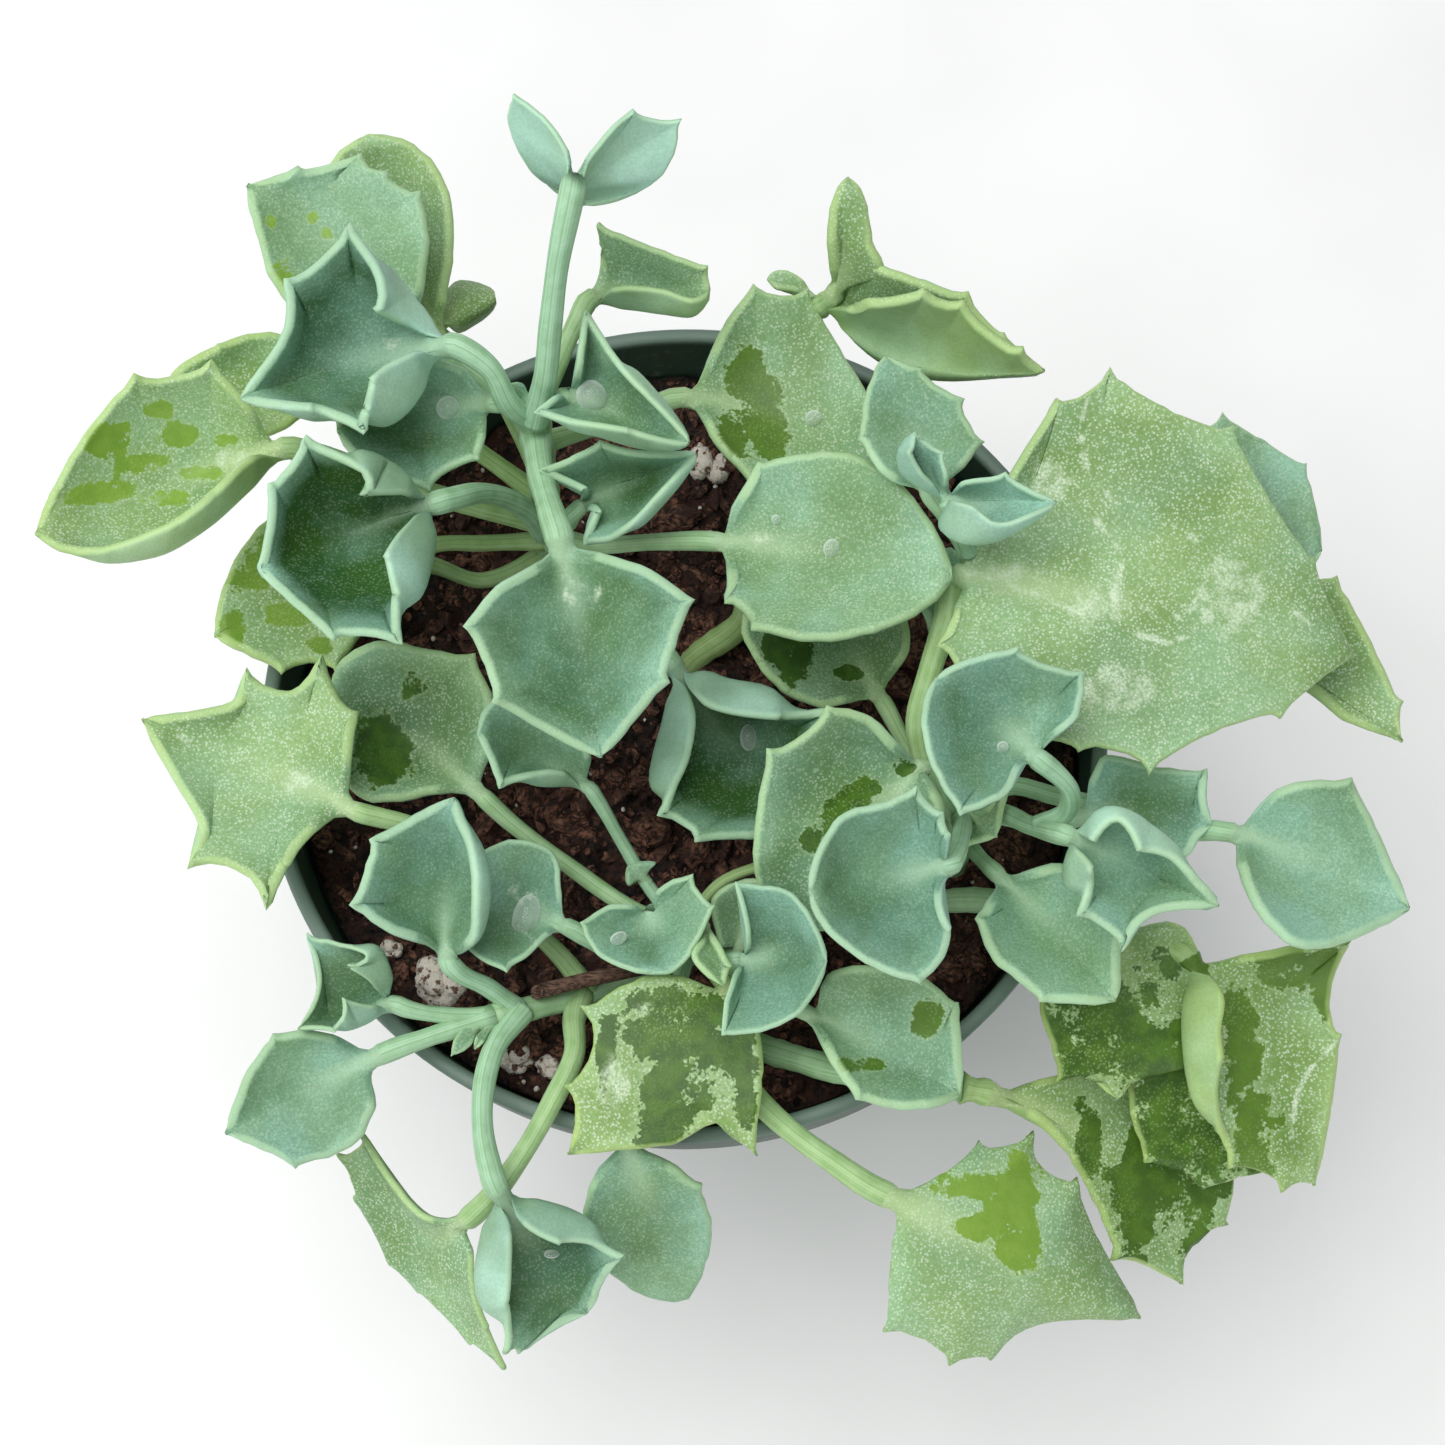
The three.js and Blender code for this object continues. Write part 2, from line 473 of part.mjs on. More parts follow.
const STEMS = [
  {
    name: "stem_back_left",
    radius: 2,
    points: [[-22, 21, -9], [-22.6, 25, 0], [-23.2, 31, 10], [-24, 37, 19], [-24.3, 40, 24]],
    leaves: [
      leaf("far_left_spoon", [[-23.3, 26, 2], [-32, 28, 9], [-42, 31, 14], [-53, 34.8, 18]], 3,
        [-59, 36, 20], [-89.2, 24.3, 26], 19, [
          [edge(-61.5, 34, 25, [-61.3, 31.3, 21]), edge(-61.5, 41, 24)],
          [edge(-65.5, 30.2, 27, [-66.3, 26.4, 22]), tooth(-66.3, 46.2, 27)],
          [edge(-70.5, 26.3, 28, [-72.5, 22.4, 23]), tooth(-76, 44.5, 28)],
          [edge(-79, 22.9, 27, [-79.5, 21.3, 24]), edge(-82.3, 37.3, 27)],
          [edge(-85.3, 22.4, 26), edge(-86.7, 29.6, 26)],
        ]),
      leaf("upper_left_flat", [[-24, 38, 20], [-31, 44, 20], [-37, 48, 21]], 2.8,
        [-41, 49.5, 21], [-61.8, 69.8, 27], 22, [
          [edge(-48, 49.5, 23), edge(-38.9, 56.5, 24)],
          [edge(-53.5, 52, 24), edge(-38.2, 63, 26)],
          [edge(-56.6, 54.8, 25), tooth(-39.6, 68.3, 27)],
          [edge(-58.8, 58.5, 26), tooth(-43.9, 70.9, 28)],
          [edge(-59.9, 62.5, 26), tooth(-47.2, 73.2, 28)],
          [edge(-60.9, 66.3, 27), tooth(-55.3, 71.3, 28)],
        ]),
      leaf("upper_left_folded", [[-24.3, 39, 22], [-27.8, 41.5, 28], [-30.3, 46, 32], [-33, 48, 33]], 3.2,
        [-36.8, 49.6, 33], [-62.8, 41.8, 35], 29, [
          [edge(-41.5, 47.3, 38, [-38.8, 44.6, 32]), tooth(-44.6, 53, 39, [-40.8, 54.6, 33])],
          [tooth(-45.4, 44.7, 40, [-41, 41.2, 34]), edge(-44.6, 57.6, 41, [-43.6, 58.8, 36])],
          [tooth(-46.2, 41.1, 41, [-43.6, 38.8, 36]), tooth(-48.3, 63.8, 41)],
          [tooth(-46.6, 38.1, 41), tooth(-56.3, 56.9, 39)],
          [tooth(-53.5, 41.2, 39, [-52.5, 39.4, 36]), edge(-56.3, 51, 37)],
          [edge(-58, 41.2, 37), edge(-59.5, 45.6, 36)],
        ]),
      leaf("left_folded", [[-23, 24.5, -1], [-26.5, 28.3, 12], [-31.5, 29.7, 22], [-35.5, 28.8, 28]], 3,
        [-38.3, 28.1, 30], [-59.9, 19.7, 33], 26, [
          [edge(-41, 25.6, 36, [-37.8, 24.8, 32]), edge(-41.5, 29.5, 36, [-40.8, 31.3, 33])],
          [tooth(-43.8, 21.8, 39, [-38.5, 20.5, 34]), tooth(-46.5, 29.2, 39, [-43.8, 33.2, 35])],
          [tooth(-42.6, 17, 40, [-39.4, 16.3, 35]), edge(-46.6, 32.2, 40, [-47, 34.9, 38])],
          [tooth(-42, 10.7, 39), tooth(-53.9, 36.4, 40)],
          [tooth(-50.5, 11.3, 37), tooth(-58.3, 30.5, 37)],
          [edge(-55.5, 15.7, 35), edge(-58.6, 25, 35)],
        ]),
      leaf("left_cup", [[-24.2, 39.5, 22], [-27.5, 41.2, 25]], 2.6, [-31.3, 41.6, 26], [-50, 37.8, 27], 21, [
        [edge(-30.6, 38.3, 27), edge(-33.5, 45.3, 27)],
        [tooth(-31.9, 34.3, 27), edge(-37.2, 46.8, 27)],
        [tooth(-38.2, 30.6, 27), edge(-43, 46.5, 27)],
        [edge(-45, 32.5, 27), edge(-48, 42.5, 27)],
      ]),
      leaf("left_hidden", [[-23.2, 29, 6], [-33, 36, 10], [-43, 42, 12]], 2.6,
        [-51, 44, 12], [-72, 43.5, 16], 11, [
        [edge(-54.5, 40, 14), edge(-56.5, 50, 14)],
        [edge(-58.3, 37.6, 15), tooth(-65, 48.6, 16)],
        [edge(-66, 37.5, 15), edge(-70.2, 46, 16)],
      ]),
      leaf("upper_left_cup", [[-23.8, 35.8, 16], [-32, 46, 14]], 2.6,
        [-38, 49.5, 14], [-45.9, 76.3, 22], 13, [
        [edge(-45, 53, 16), edge(-36.3, 54.5, 16)],
        [edge(-51, 60, 18), edge(-35.2, 61, 18)],
        [edge(-53, 66, 20), edge(-35.8, 69, 20)],
        [edge(-50.8, 72.3, 21), edge(-39.5, 74.4, 21)],
      ]),
      leaf("upper_left_thick", [[-23.3, 31.5, 10], [-26.5, 38, 10], [-31, 46, 9]], 2.4,
        [-39, 53, 9], [-29.3, 55, 11], [-34, 54, 12], [
          [edge(-34.8, 56.7, 7), edge(-34.3, 50.6, 7)],
          [edge(-30.8, 56.4, 8), edge(-30.6, 52.8, 8)],
        ]),
      leaf("top_winged", [[-24.3, 39, 24], [-22.9, 45, 31], [-22.2, 52, 37], [-21.2, 60, 43], [-19.8, 67, 47]],
        3.1, [-18.8, 71.8, 49], [-17.8, 66.9, 38], [-18.5, 70, 40], [
          [edge(-21.5, 76.2, 51), edge(-15.3, 75.6, 51)],
          [tooth(-26.9, 81, 52), tooth(-11.7, 79, 52)],
          [edge(-27.6, 77, 48), tooth(-5.7, 77.8, 50)],
          [edge(-24.3, 71, 43), edge(-8.5, 70.2, 44)],
        ]),
      leaf("top_side", [[-24.3, 39.5, 23], [-21.5, 46, 24], [-18.8, 52, 25]], 2.7,
        [-15.8, 57, 25], [-1.7, 56, 29], 24, [
        [tooth(-16, 64.2, 32), edge(-13.2, 56.3, 29, [-12.8, 54.4, 25])],
        [edge(-10, 61.7, 32), edge(-8, 56, 30, [-8, 53.6, 26])],
        [tooth(-2.2, 58.8, 31), edge(-4, 54.8, 30, [-3.8, 52.9, 27])],
      ]),
      leaf("crown_folded", [[-24.3, 39.6, 23.5]], 2.6, [-21, 42.6, 28], [-4.2, 36.2, 33], 28, [
        [tooth(-18.8, 44, 33), tooth(-23.7, 40, 31)],
        [tooth(-18.1, 47.4, 35), edge(-19.8, 39.7, 33, [-19.8, 38.8, 30])],
        [tooth(-17.6, 53, 36), edge(-15.8, 38.7, 34, [-15.8, 37.5, 31])],
        [edge(-13, 46.3, 35, [-12.3, 47.2, 32]), tooth(-12.3, 38.2, 35, [-12, 36.4, 31])],
        [edge(-8.2, 40.5, 34, [-7.8, 41.1, 32]), edge(-8, 36.7, 34, [-8, 35.7, 32])],
      ]),
      leaf("crown_arrow", [[-22.6, 26, 2.5], [-21.6, 25.2, 9], [-20, 25.6, 15]], 2.2,
        [-18, 28.6, 23], [-3.3, 34.8, 27], 21, [
          [tooth(-17.8, 30.2, 26), tooth(-16, 27.3, 26)],
          [tooth(-23.2, 32.6, 28), tooth(-17.7, 23.4, 27)],
          [edge(-19, 34.4, 27), edge(-14, 24, 27)],
          [tooth(-15.6, 36.2, 27), edge(-11.5, 26.4, 27, [-11, 25.4, 25])],
          [edge(-11, 34.9, 27), edge(-7, 31.2, 28, [-6.5, 30.4, 26])],
        ]),
      leaf("central_shield", [[-24.2, 37, 20], [-23.3, 31, 26], [-21.8, 26, 30]], 3.6,
        [-20.4, 21.6, 31], [-15.7, -4.7, 30], 28, [
          [edge(-15.5, 21.4, 34), edge(-24.5, 19.8, 34)],
          [edge(-9.5, 19.4, 37), edge(-29.3, 17, 37)],
          [tooth(-4.5, 15.7, 38), tooth(-32.7, 12.4, 38)],
          [edge(-6.6, 9.5, 36), edge(-30.7, 8, 36)],
          [tooth(-7.8, 5.2, 35), tooth(-29, 2.8, 35)],
          [edge(-12, 0, 32), edge(-23, -0.8, 32)],
        ]),
      leaf("centre_folded", [[-22.4, 24, -2], [-14, 14, 2], [-8, 9.5, 6]], 2.8,
        [-5, 5.6, 8], [9, -14.5, 10], 5, [
        [edge(-3.3, 3.2, 14, [-2.8, 6.4, 10]), edge(-3.7, 1.8, 14, [-6.3, 2.2, 10])],
        [edge(0, 1.4, 15, [0.5, 4.7, 11]), edge(-4.2, -4, 15, [-8.3, -4.5, 11])],
        [tooth(7, 0.4, 16, [6.5, 4.2, 12]), edge(-6, -8.2, 15, [-9, -8.3, 11])],
        [tooth(13.2, 1.4, 15), tooth(-7.8, -11.7, 14)],
        [edge(13, -5, 13), tooth(-3.1, -14.9, 12)],
        [edge(12, -10, 12), edge(3, -14.7, 11)],
      ]),
      leaf("round_flat", [[-22.6, 24.6, 0], [-16.5, 23, 8], [-8, 23.4, 15]], 2.5,
        [1.6, 23.4, 20], [30, 18.7, 26.5], 21, [
        [edge(0.9, 26.8, 22), edge(1.2, 20, 22)],
        [tooth(4.9, 32.9, 25), tooth(0.9, 16.1, 24)],
        [edge(9.5, 34.5, 26), tooth(4.2, 12.6, 25)],
        [edge(16.8, 34.6, 27), edge(12, 10.7, 26)],
        [edge(23.2, 30.7, 26), edge(20, 12, 26)],
        [edge(27.8, 24.2, 26.5), edge(26, 14.7, 26)],
      ]),
      leaf("washed_upper", [[-23.8, 36, 15], [-16, 38.5, 15], [-9, 41, 16]], 2.7,
        [-2.7, 42.8, 17], [20.5, 36, 18.5], 15, [
        [edge(-1.8, 46.5, 19), edge(-2.2, 39.3, 19)],
        [edge(0.8, 51.8, 21), edge(-0.5, 36, 19)],
        [tooth(4.1, 56.1, 22), tooth(3.8, 31.6, 19)],
        [tooth(11, 55.6, 20.5), edge(9, 29, 18)],
        [edge(15.3, 48.2, 18), edge(15, 29.5, 18)],
        [edge(19, 42, 18), edge(19, 32, 18)],
      ]),
      leaf("left_lower", [[-23, 23.5, -2], [-31, 23.2, 2], [-38, 22.8, 6]], 2.4,
        [-44, 19.8, 8], [-65.9, 11.1, 12], 8, [
        [edge(-46, 13, 8.5), edge(-48, 25.5, 10)],
        [tooth(-49.9, 7.3, 8.5), edge(-55.5, 28, 11)],
        [tooth(-57, 6.9, 10), edge(-60.2, 25, 12)],
        [edge(-61.8, 9.2, 12), edge(-63.8, 19.5, 12)],
      ]),
      leaf("left_lowest", [[-22.6, 22, -6], [-31.5, 18.4, -3], [-38.5, 20.5, 1]], 2.4,
        [-42, 20.5, 2.5], [-57, 14, 5], 2, [
        [edge(-46, 14, 4.5), edge(-46, 24, 4.5)],
        [edge(-52, 11, 5), edge(-53, 21, 5)],
      ]),
      leaf("crown_bud", [[-24.3, 40, 23.5]], 1.6, [-24.8, 41.8, 25], [-27.6, 44, 27], 25.5, [
        [edge(-26.5, 42.6, 26), edge(-25.7, 43.8, 26)],
      ]),
    ],
  },
  {
    name: "stem_back",
    radius: 1.8,
    points: [[-3, 8.8, -9], [2.5, 13, -5], [4.5, 22, -1], [6, 34, 4], [9, 46, 10]],
    leaves: [
      leaf("upper_right_keel", [[9, 46, 9.5], [11.2, 51, 13], [14, 54.5, 19]], 2.6,
        [14.2, 53.4, 24], [42.2, 45.6, 28], [24.4, 45.6, 22], [
          [edge(14.6, 57.6, 29), edge(15, 54, 28)],
          [edge(17.6, 60, 31), edge(17.5, 54.5, 31)],
          [edge(21, 58.6, 31), edge(21.5, 54.2, 33)],
          [edge(26, 56.9, 31), tooth(25.9, 55.4, 34)],
          [tooth(31.6, 54.9, 31), tooth(31, 53.9, 33)],
          [tooth(36.2, 49.8, 30), tooth(38.5, 47.9, 31)],
        ]),
      leaf("upper_right_ear", [[14, 54, 22.5]], 2.6, [16.6, 57.4, 29], [16.2, 70.8, 37], 33, [
        [edge(14.4, 61, 32), edge(19.4, 60.6, 32)],
        [edge(14, 65, 35), edge(19.2, 65, 34.5)],
        [edge(14.8, 68.8, 36.5), edge(18, 69, 36.5)],
      ]),
      leaf("upper_right_bud", [[13, 53.4, 16]], 1.6, [11.9, 55.4, 17.5], [5.6, 57.4, 19], 18, [
        [edge(9.5, 56.2, 18.5), edge(10, 57.7, 18.5)],
        [edge(7, 56.2, 19), edge(7, 58.6, 19)],
      ]),
    ],
  },
  {
    name: "stem_right",
    radius: 2,
    points: [[29.7, -18, -9], [30, -16.5, -2], [30.8, -14, 6], [31, -12.5, 10]],
    leaves: [
      leaf("under_cup", [[31, -13, 8], [28, -9, 15]], 2.6, [25, -4, 20], [7, -25, 12], 17, [
        [edge(25.8, -5.8, 22), edge(22.3, -3.2, 23)],
        [edge(27.8, -9.8, 23), edge(18.5, 0.6, 25)],
        [edge(28.3, -13, 22), tooth(13.7, 1.5, 26)],
        [edge(26, -19, 20), tooth(6.2, -4, 25)],
        [edge(20, -25, 17), edge(4.5, -12.5, 21)],
        [edge(13, -27, 14), edge(4.3, -19.5, 16)],
      ]),
      leaf("glaucous_cup", [[31, -12.5, 10], [31, -14, 20], [30, -17.5, 27]], 2.5,
        [28.6, -19.7, 30], [11.2, -22, 34], 28, [
        [edge(27.8, -22.5, 32), tooth(29, -14.7, 33)],
        [edge(28.7, -27, 33), tooth(28.2, -12, 34)],
        [edge(28.3, -30.5, 34), tooth(25, -8.7, 35)],
        [tooth(25.3, -33.3, 34), edge(20.5, -10.7, 35)],
        [edge(19.5, -31.4, 34), edge(15.8, -11.9, 35)],
        [edge(13.7, -27, 34), edge(12.6, -16.5, 35)],
      ]),
      leaf("under_round", [[30.5, -14, 4], [26, -6.5, 4], [23, -1.5, 4]], 2.3,
        [19.6, 4.8, 6], [8, 20, 11], 5, [
        [edge(16, 2.9, 8), edge(22, 6.4, 9)],
        [edge(12.5, 2.3, 9), edge(23.4, 8.7, 10)],
        [edge(8, 4.1, 10.5), edge(24, 11.5, 11)],
        [edge(4.5, 8, 11.5), edge(22, 17, 12)],
        [edge(2.7, 13.5, 12), edge(16, 21, 12)],
      ]),
      leaf("giant", [[31, -14, 7], [27, -7, 11], [25.3, 0, 14], [26.8, 6.5, 17], [29, 13.5, 20]], 3.4,
        [30.8, 21.3, 22.5], [82.4, 8.5, 20], 25, [
          [edge(34.5, 27, 27), edge(30.2, 14.5, 24.5)],
          [tooth(43.3, 41.2, 28), tooth(28.6, 10.2, 25)],
          [tooth(50.2, 45.2, 28), edge(36, 1, 25)],
          [edge(58, 40.4, 28), tooth(46.5, -3.1, 25)],
          [tooth(66, 37.6, 27), tooth(55.5, -6, 24)],
          [edge(70.7, 29, 25), edge(63.5, -1.3, 24)],
          [tooth(76.5, 20.5, 23), tooth(72.5, 1.3, 22)],
        ]),
      leaf("boat_left", [[31, -12.5, 10], [32.5, 5, 14], [32.5, 16, 18], [32, 21, 22], [30.5, 26, 28]], 2,
        [28.6, 30, 32], [24.9, 37.7, 38], 34, [
          [edge(25.8, 32.4, 35, [23.2, 32.4, 33]), edge(29, 31.6, 35)],
          [tooth(24.6, 34.9, 37, [23, 35.2, 35]), tooth(28.3, 34.9, 36)],
        ]),
      leaf("boat_right", [[32, 22, 23.5], [29.5, 27.5, 30]], 2, [28.7, 29.6, 32], [43.5, 28.5, 36], 33, [
        [edge(31, 30.9, 35), edge(30.3, 28.6, 36, [27.8, 25.6, 32])],
        [edge(34, 31.5, 36), tooth(32.8, 27.9, 37, [31.3, 23.5, 33])],
        [tooth(36.7, 31.9, 36), edge(36, 25.8, 37, [35.5, 23.9, 34])],
        [edge(40.3, 29.7, 36), edge(40, 27, 37, [39.3, 26, 35])],
      ]),
      leaf("small_toothed", [[32, 21.5, 22], [28.5, 27, 25]], 2.2, [25.3, 31.8, 27.5], [21, 47.7, 31], 28, [
        [edge(21.5, 31.9, 30), edge(29.3, 31, 29)],
        [tooth(18.1, 36.8, 30), tooth(33.4, 36.4, 30)],
        [edge(18.3, 41, 30), tooth(30.8, 41.8, 31)],
        [edge(19.6, 45.5, 30), tooth(25.4, 45.7, 31)],
      ]),
      leaf("behind_giant_upper", [[30.9, -13, 8], [31, -10, 8], [38, 8, 13], [50, 20, 15]], 2.6,
        [60, 27, 16], [77.7, 22.3, 18], 16, [
          [edge(60, 34, 17), edge(62, 22, 16)],
          [tooth(64.7, 39.6, 18), edge(66, 18.5, 16)],
          [edge(70, 36.5, 18), edge(70, 17.5, 17)],
          [tooth(75.4, 33, 18), edge(74, 18, 17)],
          [edge(77, 27, 18), edge(76.5, 20.5, 18)],
        ]),
      leaf("behind_giant_lower", [[30.8, -13.4, 7], [31, -10, 7], [45, 5, 11], [57, 11, 13]], 2.6,
        [68, 12, 14], [88.3, -2.6, 14], 12, [
          [edge(72, 17.5, 15), edge(70.5, 6.5, 13)],
          [tooth(79.3, 18.3, 16), edge(76.5, 4.4, 13)],
          [edge(82.7, 12.5, 16), edge(80.2, 0.9, 13)],
          [tooth(87.4, 2.4, 15), edge(84.5, -1.3, 13)],
        ]),
      leaf("blue_heart", [[41, -13.6, 19.3], [44.5, -11.5, 22], [45, -9, 25], [42.5, -6, 28]], 2.6,
        [39.3, -3.6, 30], [27.5, 5.8, 33], 29, [
          [edge(38.2, -5.5, 32), edge(42.5, -1.8, 32)],
          [edge(36.3, -9.2, 34), edge(45.8, 1.2, 34)],
          [tooth(30.8, -11.5, 34), tooth(46.5, 6.4, 34)],
          [edge(27.2, -5.5, 34), tooth(38, 9.4, 35)],
          [edge(26, 0.5, 34), edge(32, 8, 34)],
        ]),
      leaf("right_shield", [[30.8, -14.5, 5], [34, -18.2, 10]], 2.2, [37, -21, 13], [51, -36.2, 15], 12, [
        [edge(39, -19.8, 15), edge(35.2, -22.3, 15)],
        [edge(44, -18.7, 17), tooth(33.4, -25.3, 16)],
        [edge(48.5, -21, 18), edge(34.9, -30, 17)],
        [tooth(51.2, -27.2, 18), edge(38, -32.8, 17)],
        [edge(51.1, -31, 17), tooth(41.4, -35.7, 16)],
        [edge(51.1, -34, 16), edge(46.5, -36, 16)],
      ]),
      leaf("right_folded", [[31, -12.5, 9], [35.8, -11.7, 13], [40, -13.4, 18], [43.5, -14.4, 23]], 2.6,
        [45.5, -14.8, 25], [64.4, -23.8, 27], 23, [
          [tooth(48.1, -15.5, 29, [47.5, -12.6, 27]), edge(46.3, -16.6, 29, [44.3, -17.3, 26])],
          [edge(51.2, -12.8, 31, [50.8, -11.7, 29]), tooth(48.2, -18.7, 30, [44.8, -21.2, 26])],
          [tooth(53.8, -16.7, 31, [55, -13.9, 28]), tooth(46.4, -24.7, 28)],
          [edge(58, -17.6, 30, [58.6, -16.8, 28]), tooth(52, -29, 27)],
          [edge(61.3, -20.4, 29), edge(55.5, -24.6, 27)],
        ]),
      leaf("right_dark", [[35.8, -11.8, 12.5], [42.5, -13.5, 13]], 2.4,
        [48, -11.5, 14], [63.5, -13.3, 18], 14.5, [
        [edge(48, -7, 17), edge(50, -14.5, 15)],
        [edge(50, -4.3, 18), edge(53, -17, 16)],
        [edge(56, -5.8, 19), edge(56.5, -18.5, 17)],
        [tooth(62.4, -6.3, 19), edge(59.8, -17.5, 18)],
        [edge(62.2, -10.3, 19), edge(61, -15, 18)],
      ]),
      leaf("far_right_spoon", [[31, -12, 7], [37, -8.2, 9], [43, -9.5, 10], [52, -11.5, 11], [60, -14, 14]],
        2.5, [68, -14.3, 19], [89.2, -24.3, 20], 18, [
          [edge(70.5, -10, 21), edge(67.2, -18.8, 22)],
          [edge(74.5, -8, 23), edge(69.5, -24.3, 23)],
          [tooth(81.3, -7.8, 23), edge(74, -28.7, 23)],
          [edge(84, -13, 22), edge(79, -28.7, 22)],
          [edge(86.8, -19.5, 21), edge(84.5, -26.4, 21)],
        ]),
      leaf("dark_sliver", [[31, -13, 4], [28, -2, 5], [27, 5, 7]], 2, [27.5, 10.3, 9], [29.6, 22.8, 15], 11, [
        [edge(26.8, 13, 11), edge(29, 11.5, 11)],
        [edge(25, 17, 13), edge(31, 16.5, 13)],
        [edge(26, 21, 14), edge(31.5, 20.3, 14)],
      ]),
      leaf("fork_sprout", [[31, -12.5, 10]], 1.8, [33, -12.4, 14], [35.6, -14.9, 17], 15, [
        [tooth(36.6, -9.3, 17), tooth(31.5, -15.8, 16)],
      ]),
    ],
  },
  {
    name: "stem_trailing_right",
    radius: 1.6,
    points: [[22, -24, -9], [28, -23.2, -5], [34, -23, -2], [41, -24.5, 2.5], [48, -27, 6]],
    leaves: [
      leaf("low_right_inner", [[48, -26.7, 6]], 3, [54, -27, 8], [51.1, -48.9, 2], 7, [
        [edge(58.8, -26, 9), edge(50, -27.5, 9)],
        [edge(62, -30.5, 8), edge(44, -31, 9)],
        [edge(64, -37, 7), edge(41, -36, 8)],
        [edge(62, -43, 5), edge(42.3, -41, 7)],
        [edge(58, -45, 4), tooth(43.8, -46.2, 5)],
        [edge(54, -44.8, 4), edge(46.5, -44.6, 5)],
      ]),
      leaf("low_right_outer", [[48, -27, 6], [56, -28.5, 6.5]], 3.2, [62.5, -31.5, 9], [76.7, -60, -2], 5, [
        [edge(68, -30.3, 11), edge(64.7, -35, 14, [60.9, -34.5, 11])],
        [edge(75, -29, 12), edge(64.5, -40, 13, [60.5, -39.5, 10])],
        [tooth(81, -28.5, 12), tooth(65, -43.5, 12, [60.8, -44.5, 8])],
        [edge(78.6, -35, 10), edge(64.2, -49, 8, [61.7, -49.5, 5])],
        [tooth(79.7, -41, 8), tooth(65.9, -57.2, 1)],
        [edge(78.8, -49, 4), tooth(72.6, -60, -1)],
      ]),
      leaf("low_right_between", [[48, -27, 5.5], [50, -28, 5], [57, -34, 3]], 2.6,
        [60, -41, 1], [62.2, -60.5, -5], -2, [
        [edge(64, -43, 1), edge(55, -43.5, 1)],
        [edge(67, -47, 0), edge(52.8, -46.5, 0)],
        [edge(69, -52, -2), edge(52.9, -50.8, -1)],
        [edge(70.8, -57.5, -3), tooth(55, -56.6, -3)],
        [edge(66.5, -59, -4), edge(58.3, -56.9, -4)],
      ]),
    ],
  },
  {
    name: "stem_trailing_front",
    radius: 1.7,
    points: [[0, -38, -9], [5, -42, -4], [10, -43.6, -1], [15, -45, 1.5], [22, -46.3, 3.5], [31, -47.3, 4]],
    leaves: [
      leaf("low_front_long", [[31, -47.3, 4], [37, -48.3, 3]], 3.6, [43, -49.7, 0], [59.5, -73, -14], -8, [
        [edge(47, -44.5, -3), edge(42.3, -52, -1)],
        [edge(54, -45, -7), edge(44.6, -55.5, -3)],
        [edge(61, -49, -9), edge(47.2, -60, -6)],
        [edge(66, -57, -11), edge(49.4, -64.5, -8)],
        [tooth(64.6, -65, -12), tooth(51, -69.1, -10)],
        [tooth(58.9, -67.4, -13), edge(55, -70.3, -12)],
      ]),
      leaf("front_spearhead", [[2, -39.8, -7.5], [3.5, -47.5, 1], [9, -53, 3.5], [14.5, -57, 4], [19.5, -60.3, 3.5]],
        3.2, [23, -62, 3], [54.3, -77.2, -8], 0, [
          [edge(28.5, -58.5, 2), edge(22.1, -67, 1)],
          [tooth(33, -54.9, 1), edge(21.7, -73, -1)],
          [tooth(39.9, -53.7, -1), tooth(21.4, -78.3, -3)],
          [edge(41.2, -57.6, -2), tooth(29.7, -82.5, -6)],
          [tooth(45.8, -59.8, -2), tooth(35, -81.8, -7)],
          [edge(48, -66.3, -6), edge(41, -77.5, -6)],
        ]),
    ],
  },
  {
    name: "stem_front_left",
    radius: 1.5,
    points: [[-11, -32.3, -9], [-17, -35, -4], [-24, -36.8, 1], [-30, -38, 5]],
